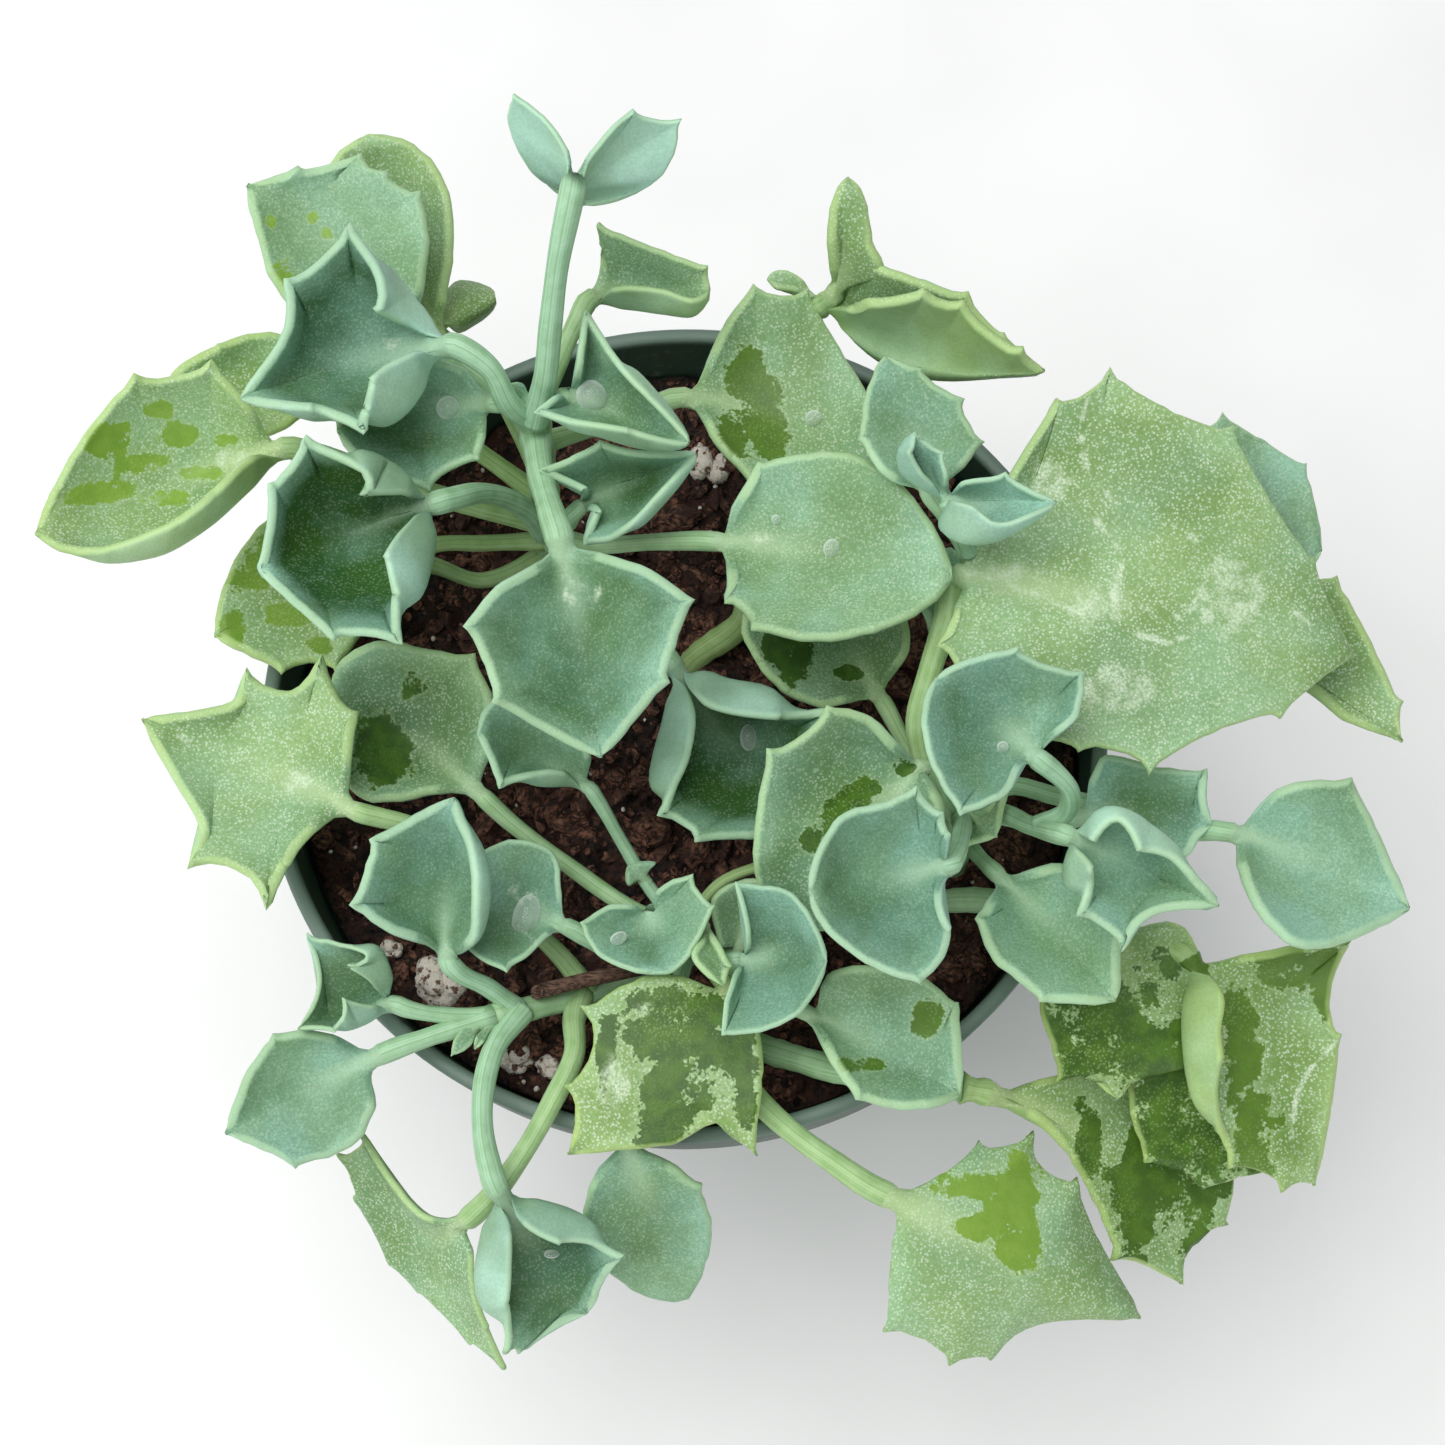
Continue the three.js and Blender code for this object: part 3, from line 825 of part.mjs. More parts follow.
    leaves: [
      leaf("front_hanging_fold", [[-26, -37.2, 3], [-29.7, -42.5, 6], [-31, -48, 7], [-31, -53, 7.5], [-30, -58, 7.5]],
        3, [-28.7, -62.2, 7], [-17.5, -76.6, -1], 0, [
          [edge(-26, -64.9, 8, [-25.3, -62.2, 6]), edge(-27.5, -65.2, 8, [-30.2, -65, 5])],
          [tooth(-21.4, -67.4, 8, [-20.5, -63.4, 5]), edge(-27.4, -71, 7, [-31.6, -71.3, 3])],
          [edge(-17.5, -67.5, 7, [-16.8, -65.2, 5]), tooth(-27.7, -74.8, 6, [-31, -75.7, 2])],
          [tooth(-13.4, -69.1, 6), tooth(-28, -81.2, 3)],
          [edge(-15.4, -71.5, 3), tooth(-26.2, -81.2, 1)],
          [edge(-16.5, -74.2, 1), edge(-21.5, -77.9, 0)],
        ]),
      leaf("front_hanging_thin", [[-18.3, -35.3, -3], [-19.2, -38.5, 0], [-19.2, -43, 3], [-22, -49, 4],
        [-26, -56, 3], [-30.5, -62, 1]], 2.9, [-34.5, -65.7, -1], [-43, -70, -14], -8, [
        [edge(-32.4, -68.5, -2), edge(-38.5, -64, -1)],
        [edge(-32.2, -73, -4), edge(-42.5, -59.8, -2)],
        [tooth(-30.7, -78, -6), tooth(-46.3, -53.8, -3)],
        [tooth(-28.4, -83.3, -9), tooth(-49.5, -56.2, -6)],
        [edge(-32.5, -79.4, -11), edge(-47, -60.6, -9)],
        [edge(-38, -74.6, -13), edge(-45.3, -65, -12)],
      ]),
      leaf("left_spearhead", [[-17.3, -34.8, -3.4], [-21, -30.2, -1], [-26, -25.5, 2], [-33, -19.3, 6],
        [-40.5, -13.3, 11], [-44.5, -12.3, 12.5]], 2.5, [-49.5, -11, 14], [-75.3, 0.5, 16], 13, [
        [edge(-52.5, -13.4, 16), edge(-48.5, -6, 16)],
        [tooth(-56.4, -17.7, 17), tooth(-47.7, 0.9, 17)],
        [tooth(-59, -23.4, 17), tooth(-52, 8.2, 18)],
        [edge(-62.5, -19.1, 17), edge(-56, 4, 17)],
        [tooth(-69, -18.2, 17), tooth(-61.8, 6.4, 18)],
        [edge(-67.1, -14, 17), edge(-62.7, 2.7, 17)],
        [edge(-70.4, -8, 17), edge(-69, 1.1, 17)],
      ]),
      leaf("toothed_cup", [[-26.5, -37.2, 2.8], [-30.5, -34.2, 7], [-34.3, -32.2, 10]], 2.6,
        [-36.8, -29.4, 12], [-34.8, -9.5, 21], 14, [
          [edge(-38.5, -28.2, 15), edge(-34.2, -30, 15)],
          [edge(-43, -26.7, 18), edge(-32.5, -27.5, 18, [-31.9, -27.5, 16])],
          [tooth(-47.5, -23.5, 20), edge(-32.3, -24, 20, [-31, -24, 17])],
          [edge(-46, -19, 21), edge(-32.3, -20, 21, [-30.7, -20, 18])],
          [tooth(-45, -15.2, 21), edge(-32.9, -16, 21, [-31.9, -16, 19])],
          [edge(-39.5, -12.2, 21), edge(-33.9, -12.7, 21)],
        ]),
      leaf("rim_folded", [[-29.6, -38, 4.8], [-36, -37.9, 6.5], [-41, -37, 8]], 2.3,
        [-44, -35.9, 8], [-55.1, -39.7, 11], 7, [
        [edge(-45.6, -36.6, 12, [-45, -37.7, 10]), edge(-46, -33.3, 13, [-43.2, -33.2, 10])],
        [tooth(-49, -35.7, 14, [-47.6, -38.6, 11]), tooth(-48.6, -31.9, 15, [-43.8, -31, 12])],
        [edge(-49.1, -37.8, 14, [-48.9, -39.4, 12]), edge(-46.4, -30, 15, [-45.2, -28.9, 13])],
        [tooth(-50.3, -39.8, 13), tooth(-53.7, -27.7, 15)],
        [edge(-52.8, -39.5, 12), edge(-52.2, -34, 12)],
      ]),
      leaf("rim_spoon", [[-29.6, -38, 4.8], [-38, -40.7, 6.5]], 2.7,
        [-46.5, -43.8, 6], [-64.6, -53.4, 4], 4, [
        [edge(-45.4, -47, 8), edge(-50, -40.9, 8)],
        [edge(-45.4, -50.2, 8), edge(-54, -40.1, 9)],
        [edge(-48, -54.7, 7), tooth(-58, -40.8, 9)],
        [tooth(-55.5, -57.1, 6), edge(-61.3, -45.3, 8)],
        [edge(-60.5, -54.6, 5), edge(-63.1, -50, 6)],
      ]),
      leaf("front_left_bud", [[-29.4, -38, 4.6]], 1.4, [-31.8, -38.6, 6], [-35.3, -43.4, 8], 7, [
        [edge(-32.6, -41.8, 7), edge(-34.2, -40.2, 7)],
      ]),
      leaf("front_left_bud_small", [[-29, -37.9, 4.4]], 1.2, [-30.3, -39.3, 6], [-32.2, -42.5, 7], 6.5, [
        [edge(-30.9, -41.3, 7), edge(-31.9, -40.6, 7)],
      ]),
    ],
  },
  {
    name: "stem_front",
    radius: 2,
    points: [[-4.5, -29.8, -9], [-4.8, -28.5, -4], [-4.8, -27.4, 1], [-4.4, -27.4, 3.5]],
    leaves: [
      leaf("bean", [[-3.6, -28.3, 3], [0.3, -30.8, 9]], 2.1, [4.2, -30.8, 13], [13.6, -30.8, 18], 14, [
        [edge(3.4, -27.5, 16), edge(1.6, -33, 16)],
        [tooth(1.9, -21, 19), edge(0.5, -36.5, 18)],
        [edge(5.5, -21.2, 19), tooth(0.2, -40.1, 19)],
        [edge(9, -22.2, 19), edge(5.2, -39.8, 19)],
        [edge(11.8, -26, 19), edge(10.2, -37.2, 19)],
      ]),
      leaf("front_washed", [[-4.3, -28.2, 1], [-0.5, -33, 6]], 2.4, [1.8, -36, 8], [-20.3, -56.2, 6], 9, [
        [edge(4.2, -38.5, 9), edge(-3.5, -33.6, 9)],
        [edge(5.2, -45, 9), edge(-9.5, -32.7, 9)],
        [tooth(4, -55.6, 8), tooth(-17.7, -37.2, 9)],
        [edge(-0.5, -51.8, 8), edge(-16.8, -42, 9)],
        [edge(-6.5, -54.6, 8), tooth(-19.8, -47.3, 8)],
        [edge(-14, -55.3, 8), edge(-18.9, -51.5, 8)],
      ]),
      leaf("front_cup", [[-4, -28.4, 0], [3, -33.5, 4], [8.5, -36.5, 7]], 2.1,
        [12.7, -38.3, 9], [30.8, -48.3, 10], 8, [
        [edge(12.3, -35.5, 11), edge(13.1, -41, 11)],
        [edge(14.3, -32.4, 12), edge(14.7, -44.2, 12)],
        [edge(20, -31.6, 13), tooth(17.6, -48.2, 12)],
        [edge(26, -33.2, 13), edge(22, -49.7, 12)],
        [tooth(30.1, -36.8, 12), edge(26.5, -49.6, 12)],
        [edge(30.5, -42.5, 12), edge(29.3, -48.9, 11)],
      ]),
      leaf("front_hidden", [[-4.5, -29.2, -2], [-8, -42, 2.5], [-12, -51, 4.3]], 2.1, [-13.4, -55.6, 3.5],
        [-4.3, -74.8, -10], -3, [
          [edge(-9.6, -55.8, 4), edge(-15.4, -56.2, 4)],
          [edge(-6.3, -57.6, 3), edge(-17, -60, 2)],
          [tooth(-3.2, -60.3, 1), edge(-18, -64, -1)],
          [edge(-1.4, -65.3, -3), edge(-15.5, -70, -6)],
          [edge(-2.1, -70, -7), edge(-10.5, -73.8, -9)],
        ]),
      leaf("left_green_cup", [[-5, -27.5, 0], [-12, -24, 1.5], [-20, -18.5, 3], [-28.5, -12, 5.5]], 2.4,
        [-32.5, -8.2, 7], [-50.3, 7, 11.5], 6, [
          [edge(-37, -8.8, 8), edge(-30.4, -4, 10)],
          [edge(-42, -9.9, 8.5), edge(-29.6, 1.5, 12)],
          [edge(-47, -9.6, 9), tooth(-32.6, 8.4, 12)],
          [edge(-50, -5, 9), edge(-38.5, 9.4, 12)],
          [edge(-51, 2, 10), edge(-44.5, 10.3, 13)],
        ]),
      leaf("under_shield", [[-5.3, -26.5, 1], [-9.5, -21.3, 2.5], [-13, -15.5, 5], [-16.3, -9.8, 9]], 1.9,
        [-18, -7.3, 11], [-31.7, -1.3, 16], 10, [
          [edge(-20.3, -6.4, 13, [-20.3, -7.6, 11]), edge(-17.2, -4.6, 13)],
          [edge(-24, -6.3, 14, [-24, -7.8, 12]), edge(-19.5, 0, 14)],
          [tooth(-28.7, -8.2, 15), edge(-24.5, 4, 15)],
          [edge(-30.1, -4.3, 16), edge(-29.5, 3, 16)],
        ]),
      leaf("stalk_bud", [[-9.8, -20.8, 2.7]], 1.5, [-10.6, -19.6, 3.6], [-12.4, -18.4, 5], 4.4, [
        [tooth(-12.5, -21.6, 5), tooth(-8.3, -17.9, 5)],
      ]),
      leaf("droplet_cup", [[-5.6, -28, 1], [-13, -30.2, 3], [-17.8, -27.8, 6]], 2.3,
        [-22, -25.3, 8], [-34, -23.5, 9.5], 7, [
        [edge(-22.9, -27.6, 10), edge(-21.2, -21.5, 10)],
        [edge(-25.2, -29.9, 11), edge(-21.9, -17, 11)],
        [tooth(-28, -31.8, 12), edge(-26.8, -15.2, 12)],
        [edge(-32.8, -29.3, 10), edge(-32, -17.5, 10.5)],
      ]),
      leaf("small_heart", [[-5.2, -26.8, 2], [-8.5, -24.8, 6]], 2, [-10, -24.3, 9], [-9, -32.5, 12], 9, [
        [edge(-8, -21.5, 11), edge(-12, -23.8, 11)],
        [tooth(-4.1, -20, 13), edge(-15, -24, 12)],
        [tooth(-1.3, -23.9, 13), tooth(-18, -26, 13)],
        [edge(-3.8, -29.2, 13), edge(-16.4, -29.7, 12)],
        [edge(-6.3, -32.2, 12), edge(-12.5, -31.8, 12)],
      ]),
      leaf("small_round", [[-4.6, -27.5, 0], [0, -30, 2]], 1.6, [4, -29.3, 4], [2, -20.6, 8], 4.5, [
        [edge(0, -28.8, 6), edge(6.5, -27, 6)],
        [edge(-1, -26, 7), edge(7, -23.5, 7)],
        [edge(-1.2, -22.7, 8), edge(5, -20.6, 8)],
      ]),
      leaf("young_toothed", [[-4.2, -27.2, 3]], 1.4, [-1.6, -26, 12], [0.2, -34.3, 14], 12, [
        [edge(-0.9, -28.4, 13), edge(-2.9, -28.7, 13)],
        [tooth(0.8, -31.6, 14), edge(-3.7, -30.6, 14)],
      ]),
      leaf("low_sprout", [[-4.9, -26.4, 0], [0, -20.6, 2], [5, -18.6, 3]], 1.6,
        [9.5, -17.6, 4], [19, -15.5, 6], 4.5, [
        [edge(12.5, -14.8, 5), edge(12.5, -19.5, 5)],
        [edge(16.5, -14, 6), edge(16.5, -18.7, 6)],
      ]),
    ],
  },
];

const TWIG = {
  radius: 0.9,
  sides: 7,
  pith: 0.4,
  pithDepth: 3,
  points: [[-7.9, -31.2, -9], [-8.6, -31.4, -4.5], [-11.5, -32, -1], [-18, -33.4, 1.2], [-24.6, -35, 3.8]],
};

// The straight foot of a stem, from its root end in the compost to just above it.
function foot(stem) {
  const { x, y } = seen(stem.points[0]);
  return { x, y, radius: stem.radius };
}

function rooted(stem, sides) {
  const { x, y } = foot(stem);
  const root = uprightCylinder(x, y, soilTop - SOIL.rootDepth, soilTop + STEM.footRise, stem.radius, sides);
  return root.add(tube(stem.points.map(seen), stem.radius, sides));
}

function leafyStem(stem) {
  const parts = stem.leaves.flatMap((each) => [blade(each), stalk(each)]);
  return join([rooted(stem, STEM.sides), ...parts]);
}

function deadTwig() {
  const points = TWIG.points.map(seen);
  const end = points.at(-1);
  const inward = points.at(-2).clone().sub(end).normalize();
  const pith = [-TWIG.radius, TWIG.pithDepth].map((depth) => end.clone().addScaledVector(inward, depth));
  return rooted(TWIG, TWIG.sides).subtract(tube(pith, TWIG.pith));
}

const plant = new THREE.Group();
plant.add(meshOf("pot", pot(), FINISHES.pot));
plant.add(meshOf("soil", soil([...STEMS, TWIG].map(foot)), FINISHES.soil));
plant.add(meshOf("dead_twig", deadTwig(), FINISHES.twig));
for (const stem of STEMS) plant.add(meshOf(stem.name, leafyStem(stem), FINISHES.leaf));

export default plant;
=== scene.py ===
"""A spearhead senecio in a round plastic nursery pot, dressed around its solid model.

The sections follow the plant as it is potted: the view, the pot, the compost, the seven leafy stems with
their leaves, a dead twig, the water drops on the leaves, and the studio. Lengths are in millimetres
until a mesh is made.
"""

import math

import bpy
import numpy as np
from mathutils import Matrix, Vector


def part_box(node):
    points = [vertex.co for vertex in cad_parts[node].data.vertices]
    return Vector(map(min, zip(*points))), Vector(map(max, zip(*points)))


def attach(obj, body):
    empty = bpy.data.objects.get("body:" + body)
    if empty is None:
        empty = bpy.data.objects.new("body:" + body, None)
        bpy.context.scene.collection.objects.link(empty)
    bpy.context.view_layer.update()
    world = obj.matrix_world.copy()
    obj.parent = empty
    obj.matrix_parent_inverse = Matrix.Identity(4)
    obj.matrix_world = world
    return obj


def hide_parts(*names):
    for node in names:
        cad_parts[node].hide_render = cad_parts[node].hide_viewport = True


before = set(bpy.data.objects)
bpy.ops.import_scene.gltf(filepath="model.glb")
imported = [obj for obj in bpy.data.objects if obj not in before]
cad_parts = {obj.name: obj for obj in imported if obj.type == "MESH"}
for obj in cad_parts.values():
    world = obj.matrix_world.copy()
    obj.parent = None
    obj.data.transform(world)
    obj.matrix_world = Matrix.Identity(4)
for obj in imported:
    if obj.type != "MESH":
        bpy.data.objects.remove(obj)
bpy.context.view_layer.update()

# The view
# The plant is seen from above its front. The eye's line leans back from the vertical and is turned a little.
# A sight place is (u, v, z): u to the right and v upwards on the sight plane, and z the height above the rim.

MM = 0.001
RIM_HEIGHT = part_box("pot")[1].z / MM
SIGHT_CENTRE = np.array([5.1, -1.2, RIM_HEIGHT])
SIGHT_DISTANCE = 287.8
SIGHT_LEAN = math.radians(16.23)
SIGHT_TURN = math.radians(3.05)
FIELD_OF_VIEW = math.radians(36)


def unit(vectors):
    """Each vector divided by its length."""
    return vectors / np.maximum(np.linalg.norm(vectors, axis=-1, keepdims=True), 1e-9)


flat_part = math.sin(SIGHT_LEAN)
sight_back = np.array([
    math.sin(SIGHT_TURN) * flat_part,
    -math.cos(SIGHT_TURN) * flat_part,
    math.cos(SIGHT_LEAN),
])
sight_right = unit(np.cross([0, 1, 0], sight_back))
sight_up = np.cross(sight_back, sight_right)
eye = SIGHT_CENTRE + SIGHT_DISTANCE * sight_back


def seen(places):
    """Real points of sight places: where the ray from the eye through (u, v) meets the height z."""
    places = np.asarray(places, float)
    ray = SIGHT_CENTRE + places[..., :1] * sight_right + places[..., 1:2] * sight_up - eye
    return eye + ray * (RIM_HEIGHT + places[..., 2:3] - eye[2]) / ray[..., 2:3]


camera_data = bpy.data.cameras.new("camera")
camera_data.angle = FIELD_OF_VIEW
camera_data.clip_start = 0.01
camera = bpy.data.objects.new("camera", camera_data)
bpy.context.scene.collection.objects.link(camera)
camera.matrix_world = Matrix.Translation(eye * MM) @ Matrix(
    np.column_stack([sight_right, sight_up, sight_back])
).to_4x4()
bpy.context.scene.camera = camera

# The pot
# A thin nursery pot of dark green moulded plastic, with a rounded lip, a rim band and a tapered wall.
# It is one moulding, with a ring of drain holes through its floor.

RIM_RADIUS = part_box("pot")[1].x / MM
LIP_WIDTH = 2
LIP_ROUND = 0.8
BAND_HEIGHT = 14
BAND_TAPER = 0.6
WALL_RADIUS = 52.3
BASE_RADIUS = 38
BASE_ROUND = 1.2
WALL = 1.5
POT_SIDES = 160
ROUND_STEPS = 5
DRAIN_HOLES = 8
DRAIN_RADIUS = 3.2
DRAIN_CIRCLE = 29
DRAIN_SIDES = 24
BAND_FOOT_ROUND = 0.4
INSIDE_ROUND = 0.8
CENTRE_HOLE = 0.02


def rounded(profile, sizes):
    """A profile with each corner replaced by a quadratic curve that starts and ends a given size from it."""
    profile = np.asarray(profile, float)
    points = [profile[:1]]
    t = np.linspace(0, 1, ROUND_STEPS)[:, None]
    for before, corner, after, size in zip(profile, profile[1:], profile[2:], sizes):
        start = corner + unit(before - corner) * size
        end = corner + unit(after - corner) * size
        points.append((1 - t) ** 2 * start + 2 * t * (1 - t) * corner + t * t * end)
    points.append(profile[-1:])
    return np.concatenate(points)


def turned(profile, sides):
    """Rings of a turned shape: each profile point (radius, height) carried round the upright axis."""
    angle = np.arange(sides) / sides * 2 * math.pi
    circle = np.stack([np.cos(angle), np.sin(angle), np.zeros(sides)], axis=-1)
    rings = profile[:, None, :1] * circle
    rings[..., 2] = profile[:, 1:]
    return rings


def skin(rings):
    """Points and faces of a closed skin over a row of rings. A fan round its middle point closes each end."""
    count, sides = rings.shape[:2]
    points = np.concatenate([rings.reshape(-1, 3), rings[0].mean(0)[None], rings[-1].mean(0)[None]])
    ring, corner = np.meshgrid(np.arange(count - 1), np.arange(sides), indexing="ij")
    start = ring * sides
    after = (corner + 1) % sides
    quads = np.stack([start + corner, start + after, start + sides + after, start + sides + corner], axis=-1)
    here = np.arange(sides)
    following = np.roll(here, -1)
    first_middle = np.full(sides, count * sides)
    first = np.stack([first_middle, following, here], axis=-1)
    last_ring = (count - 1) * sides
    last = np.stack([first_middle + 1, last_ring + here, last_ring + following], axis=-1)
    return points, quads.reshape(-1, 4), np.concatenate([first, last])


def merged(parts):
    """Several (points, quads, triangles) as one."""
    offsets = np.cumsum([0] + [len(points) for points, _, _ in parts[:-1]])
    points = np.concatenate([part[0] for part in parts])
    quads = np.concatenate([part[1] + offset for part, offset in zip(parts, offsets)])
    triangles = np.concatenate([part[2] + offset for part, offset in zip(parts, offsets)])
    return points, quads, triangles


def add_mesh(name, shape, material, smooth=True):
    """A mesh object at the origin from points in millimetres, quads and triangles."""
    points, quads, triangles = shape
    mesh = bpy.data.meshes.new(name)
    mesh.from_pydata(points * MM, [], quads.tolist() + triangles.tolist())
    mesh.polygons.foreach_set("use_smooth", np.full(len(mesh.polygons), smooth))
    mesh.materials.append(material)
    piece = bpy.data.objects.new(name, mesh)
    bpy.context.scene.collection.objects.link(piece)
    return piece


def colour(red, green, blue):
    """A colour given as it looks on a screen, 0 to 255, in the linear values that a shader takes."""
    channels = np.array([red, green, blue]) / 255
    linear = np.where(channels <= 0.04045, channels / 12.92, ((channels + 0.055) / 1.055) ** 2.4)
    return (*linear.tolist(), 1)


def new_material(name, **sockets):
    """A material and its shader. The shader's sockets are set by name, with _ for a blank."""
    material = bpy.data.materials.new(name)
    material.use_nodes = True
    shader = material.node_tree.nodes["Principled BSDF"]
    for key, value in sockets.items():
        shader.inputs[key.replace("_", " ")].default_value = value
    return material, shader


def add_node(shader, kind, inputs, output=0, **settings):
    """A node beside the shader, whose inputs are values or other nodes' outputs. It gives its own output."""
    tree = shader.id_data
    node = tree.nodes.new("ShaderNode" + kind)
    for key, value in settings.items():
        setattr(node, key, value)
    for key, value in inputs.items():
        if isinstance(value, bpy.types.NodeSocket):
            tree.links.new(value, node.inputs[key])
        else:
            node.inputs[key].default_value = value
    return node.outputs[output]


def object_place(shader):
    """The place on the piece in metres."""
    return add_node(shader, "TexCoord", {}, "Object")


def noise(shader, size, detail, stretch=None):
    """Cloudy noise from 0 to 1 whose blotches are about the given size in millimetres."""
    place = object_place(shader)
    if stretch:
        place = add_node(shader, "Mapping", {"Vector": place, "Scale": stretch})
    return add_node(shader, "TexNoise", {"Vector": place, "Scale": 1 / (size * MM), "Detail": detail})


def step(shader, value, low, high, to_low=0.0, to_high=1.0):
    """A smooth step of the value between low and high."""
    inputs = {"Value": value, "From Min": low, "From Max": high, "To Min": to_low, "To Max": to_high}
    return add_node(shader, "MapRange", inputs, interpolation_type="SMOOTHSTEP")


def maths(shader, kind, first, second):
    """A Math node of the given kind over two values."""
    return add_node(shader, "Math", {0: first, 1: second}, operation=kind)


def times(shader, first, second):
    """One value times another."""
    return maths(shader, "MULTIPLY", first, second)


def plus(shader, first, second):
    """One value and another, added."""
    return maths(shader, "ADD", first, second)


def mixed(shader, factor, first, second):
    """Two colours mixed by a factor."""
    inputs = {0: factor, 6: first, 7: second}
    return add_node(shader, "Mix", inputs, 2, data_type="RGBA")


def link(shader, value, socket):
    """Feeds a value into one of the shader's own sockets."""
    shader.id_data.links.new(value, shader.inputs[socket])


def relief(shader, height, depth):
    """Fine relief on the surface: the height from 0 to 1, its full depth in millimetres."""
    bump = add_node(shader, "Bump", {"Height": height, "Distance": depth * MM, "Strength": 1.0}, "Normal")
    link(shader, bump, "Normal")


def pot_plastic():
    """Dark green moulded plastic with a fine matte grain, faint wear, and dust and splashed crumbs. Its lip
    is painted paler, a painted highlight where light falls on its top.
    """
    material, shader = new_material("pot_plastic", Roughness=0.5, Specular_IOR_Level=0.4)
    wear = noise(shader, 28, 4)
    plastic = mixed(shader, step(shader, wear, 0.35, 0.7), colour(44, 66, 55), colour(54, 76, 64))
    splashed = step(shader, noise(shader, 1.3, 6), 0.58, 0.72)
    dust = times(shader, splashed, step(shader, wear, 0.4, 0.65))
    plastic = mixed(shader, times(shader, dust, 0.4), plastic, colour(124, 120, 100))
    height = add_node(shader, "SeparateXYZ", {"Vector": object_place(shader)}, "Z")
    # Painted highlight: the top of the lip is painted pale grey-green, as it looks where light falls on it.
    lit_lip = step(shader, height, (RIM_HEIGHT - 1.4) * MM, (RIM_HEIGHT - 0.2) * MM, 0.0, 0.8)
    link(shader, mixed(shader, lit_lip, plastic, colour(112, 132, 120)), "Base Color")
    link(shader, step(shader, wear, 0.3, 0.7, 0.42, 0.6), "Roughness")
    relief(shader, noise(shader, 0.35, 2), 0.03)
    return material


inside_lip = RIM_RADIUS - LIP_WIDTH
band_foot = RIM_HEIGHT - BAND_HEIGHT
pot_corners = [
    (BASE_RADIUS * CENTRE_HOLE, 0),
    (BASE_RADIUS, 0),
    (WALL_RADIUS, band_foot),
    (RIM_RADIUS - BAND_TAPER, band_foot),
    (RIM_RADIUS, RIM_HEIGHT),
    (inside_lip, RIM_HEIGHT),
    (inside_lip - BAND_TAPER, band_foot + 1),
    (WALL_RADIUS - WALL, band_foot - WALL),
    (BASE_RADIUS - WALL, WALL),
    (BASE_RADIUS * CENTRE_HOLE, WALL),
]
corner_sizes = [BASE_ROUND, BAND_FOOT_ROUND, BAND_FOOT_ROUND, LIP_ROUND]
corner_sizes += [LIP_ROUND, INSIDE_ROUND, INSIDE_ROUND, BASE_ROUND]
pot = add_mesh("nursery_pot", skin(turned(rounded(pot_corners, corner_sizes), POT_SIDES)), pot_plastic())

drains = []
for turn in (np.arange(DRAIN_HOLES) + 0.5) / DRAIN_HOLES * 2 * math.pi:
    hole = turned(np.array([(DRAIN_RADIUS, -1), (DRAIN_RADIUS, WALL + 1)]), DRAIN_SIDES)
    drains.append(skin(hole + [DRAIN_CIRCLE * math.cos(turn), DRAIN_CIRCLE * math.sin(turn), 0]))
punch = add_mesh("punch", merged(drains), pot.data.materials[0])
cut = pot.modifiers.new("drain holes", "BOOLEAN")
cut.operation = "DIFFERENCE"
cut.object = punch
bpy.context.view_layer.objects.active = pot
bpy.ops.object.modifier_apply(modifier=cut.name)
bpy.data.objects.remove(punch)
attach(pot, "root")
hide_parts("pot")

# The compost
# Moist dark bark and peat with perlite. It fills the pot to 10 mm below the lip, with a dip at each stem.
# Loose chips, lumps, crumbs, sand and puffed grains lie on it, bedded in its surface.

random = np.random.default_rng(11)
BELOW_RIM = 10
SOIL_TOP = RIM_HEIGHT - BELOW_RIM
SOIL_GAP = 0.5
SOIL_RINGS = 90
SOIL_SIDES = 240
SOIL_RELIEF = 1.5
DIP = 0.4
DIP_RADIUS = 3.5
DIP_SLOPE = 4.5
SUNK = 0.35
STEM_FEET = [(-22, 21), (-3, 8.8), (29.7, -18), (22, -24), (0, -38), (-11, -32.3), (-4.5, -29.8)]
STONES = [
    (-36.4, -34, 4), (-42.8, -29.2, 1.7), (-26.6, -43.8, 2.6), (-22.5, -44.8, 1.8), (-1.6, 33.6, 3.6),
]
CLODS = [
    (22.8, 5, 2.2), (25.2, 8.2, 2.4), (-1.2, 16.4, 1.6), (-13.5, -7.3, 1.5), (-9, -14.4, 2.6),
    (-3.6, -17.2, 2.1), (-51.5, -15.4, 1.5), (29.6, -32.6, 1.6), (10, -41.5, 1.3),
]
feet = seen([(u, v, -BELOW_RIM) for u, v in STEM_FEET])[:, :2]


def soil_height(x, y):
    """Height of the compost: four sets of crossing waves, coarse to fine, with a shallow dip at each stem."""
    coarse = np.sin(0.31 * x + 1.3) * np.cos(0.27 * y - 0.4)
    middling = np.sin(0.71 * x - 0.52 * y + 0.7) * np.cos(0.43 * x + 0.66 * y)
    fine = np.sin(1.37 * x + 0.9 * y) * np.sin(1.11 * y - 0.83 * x + 2.1)
    finest = np.sin(3.1 * x - 1.7 * y + fine) * np.sin(2.6 * y + 2.2 * x + coarse * 3)
    apart = np.hypot(x[..., None] - feet[:, 0], y[..., None] - feet[:, 1]).min(-1)
    calm = np.clip((apart - DIP_RADIUS) / DIP_SLOPE, 0, 1)
    waves = 0.6 * coarse + 0.5 * middling + 0.35 * fine + 0.25 * finest
    return SOIL_TOP + SOIL_RELIEF * calm * waves - DIP * (1 - calm)


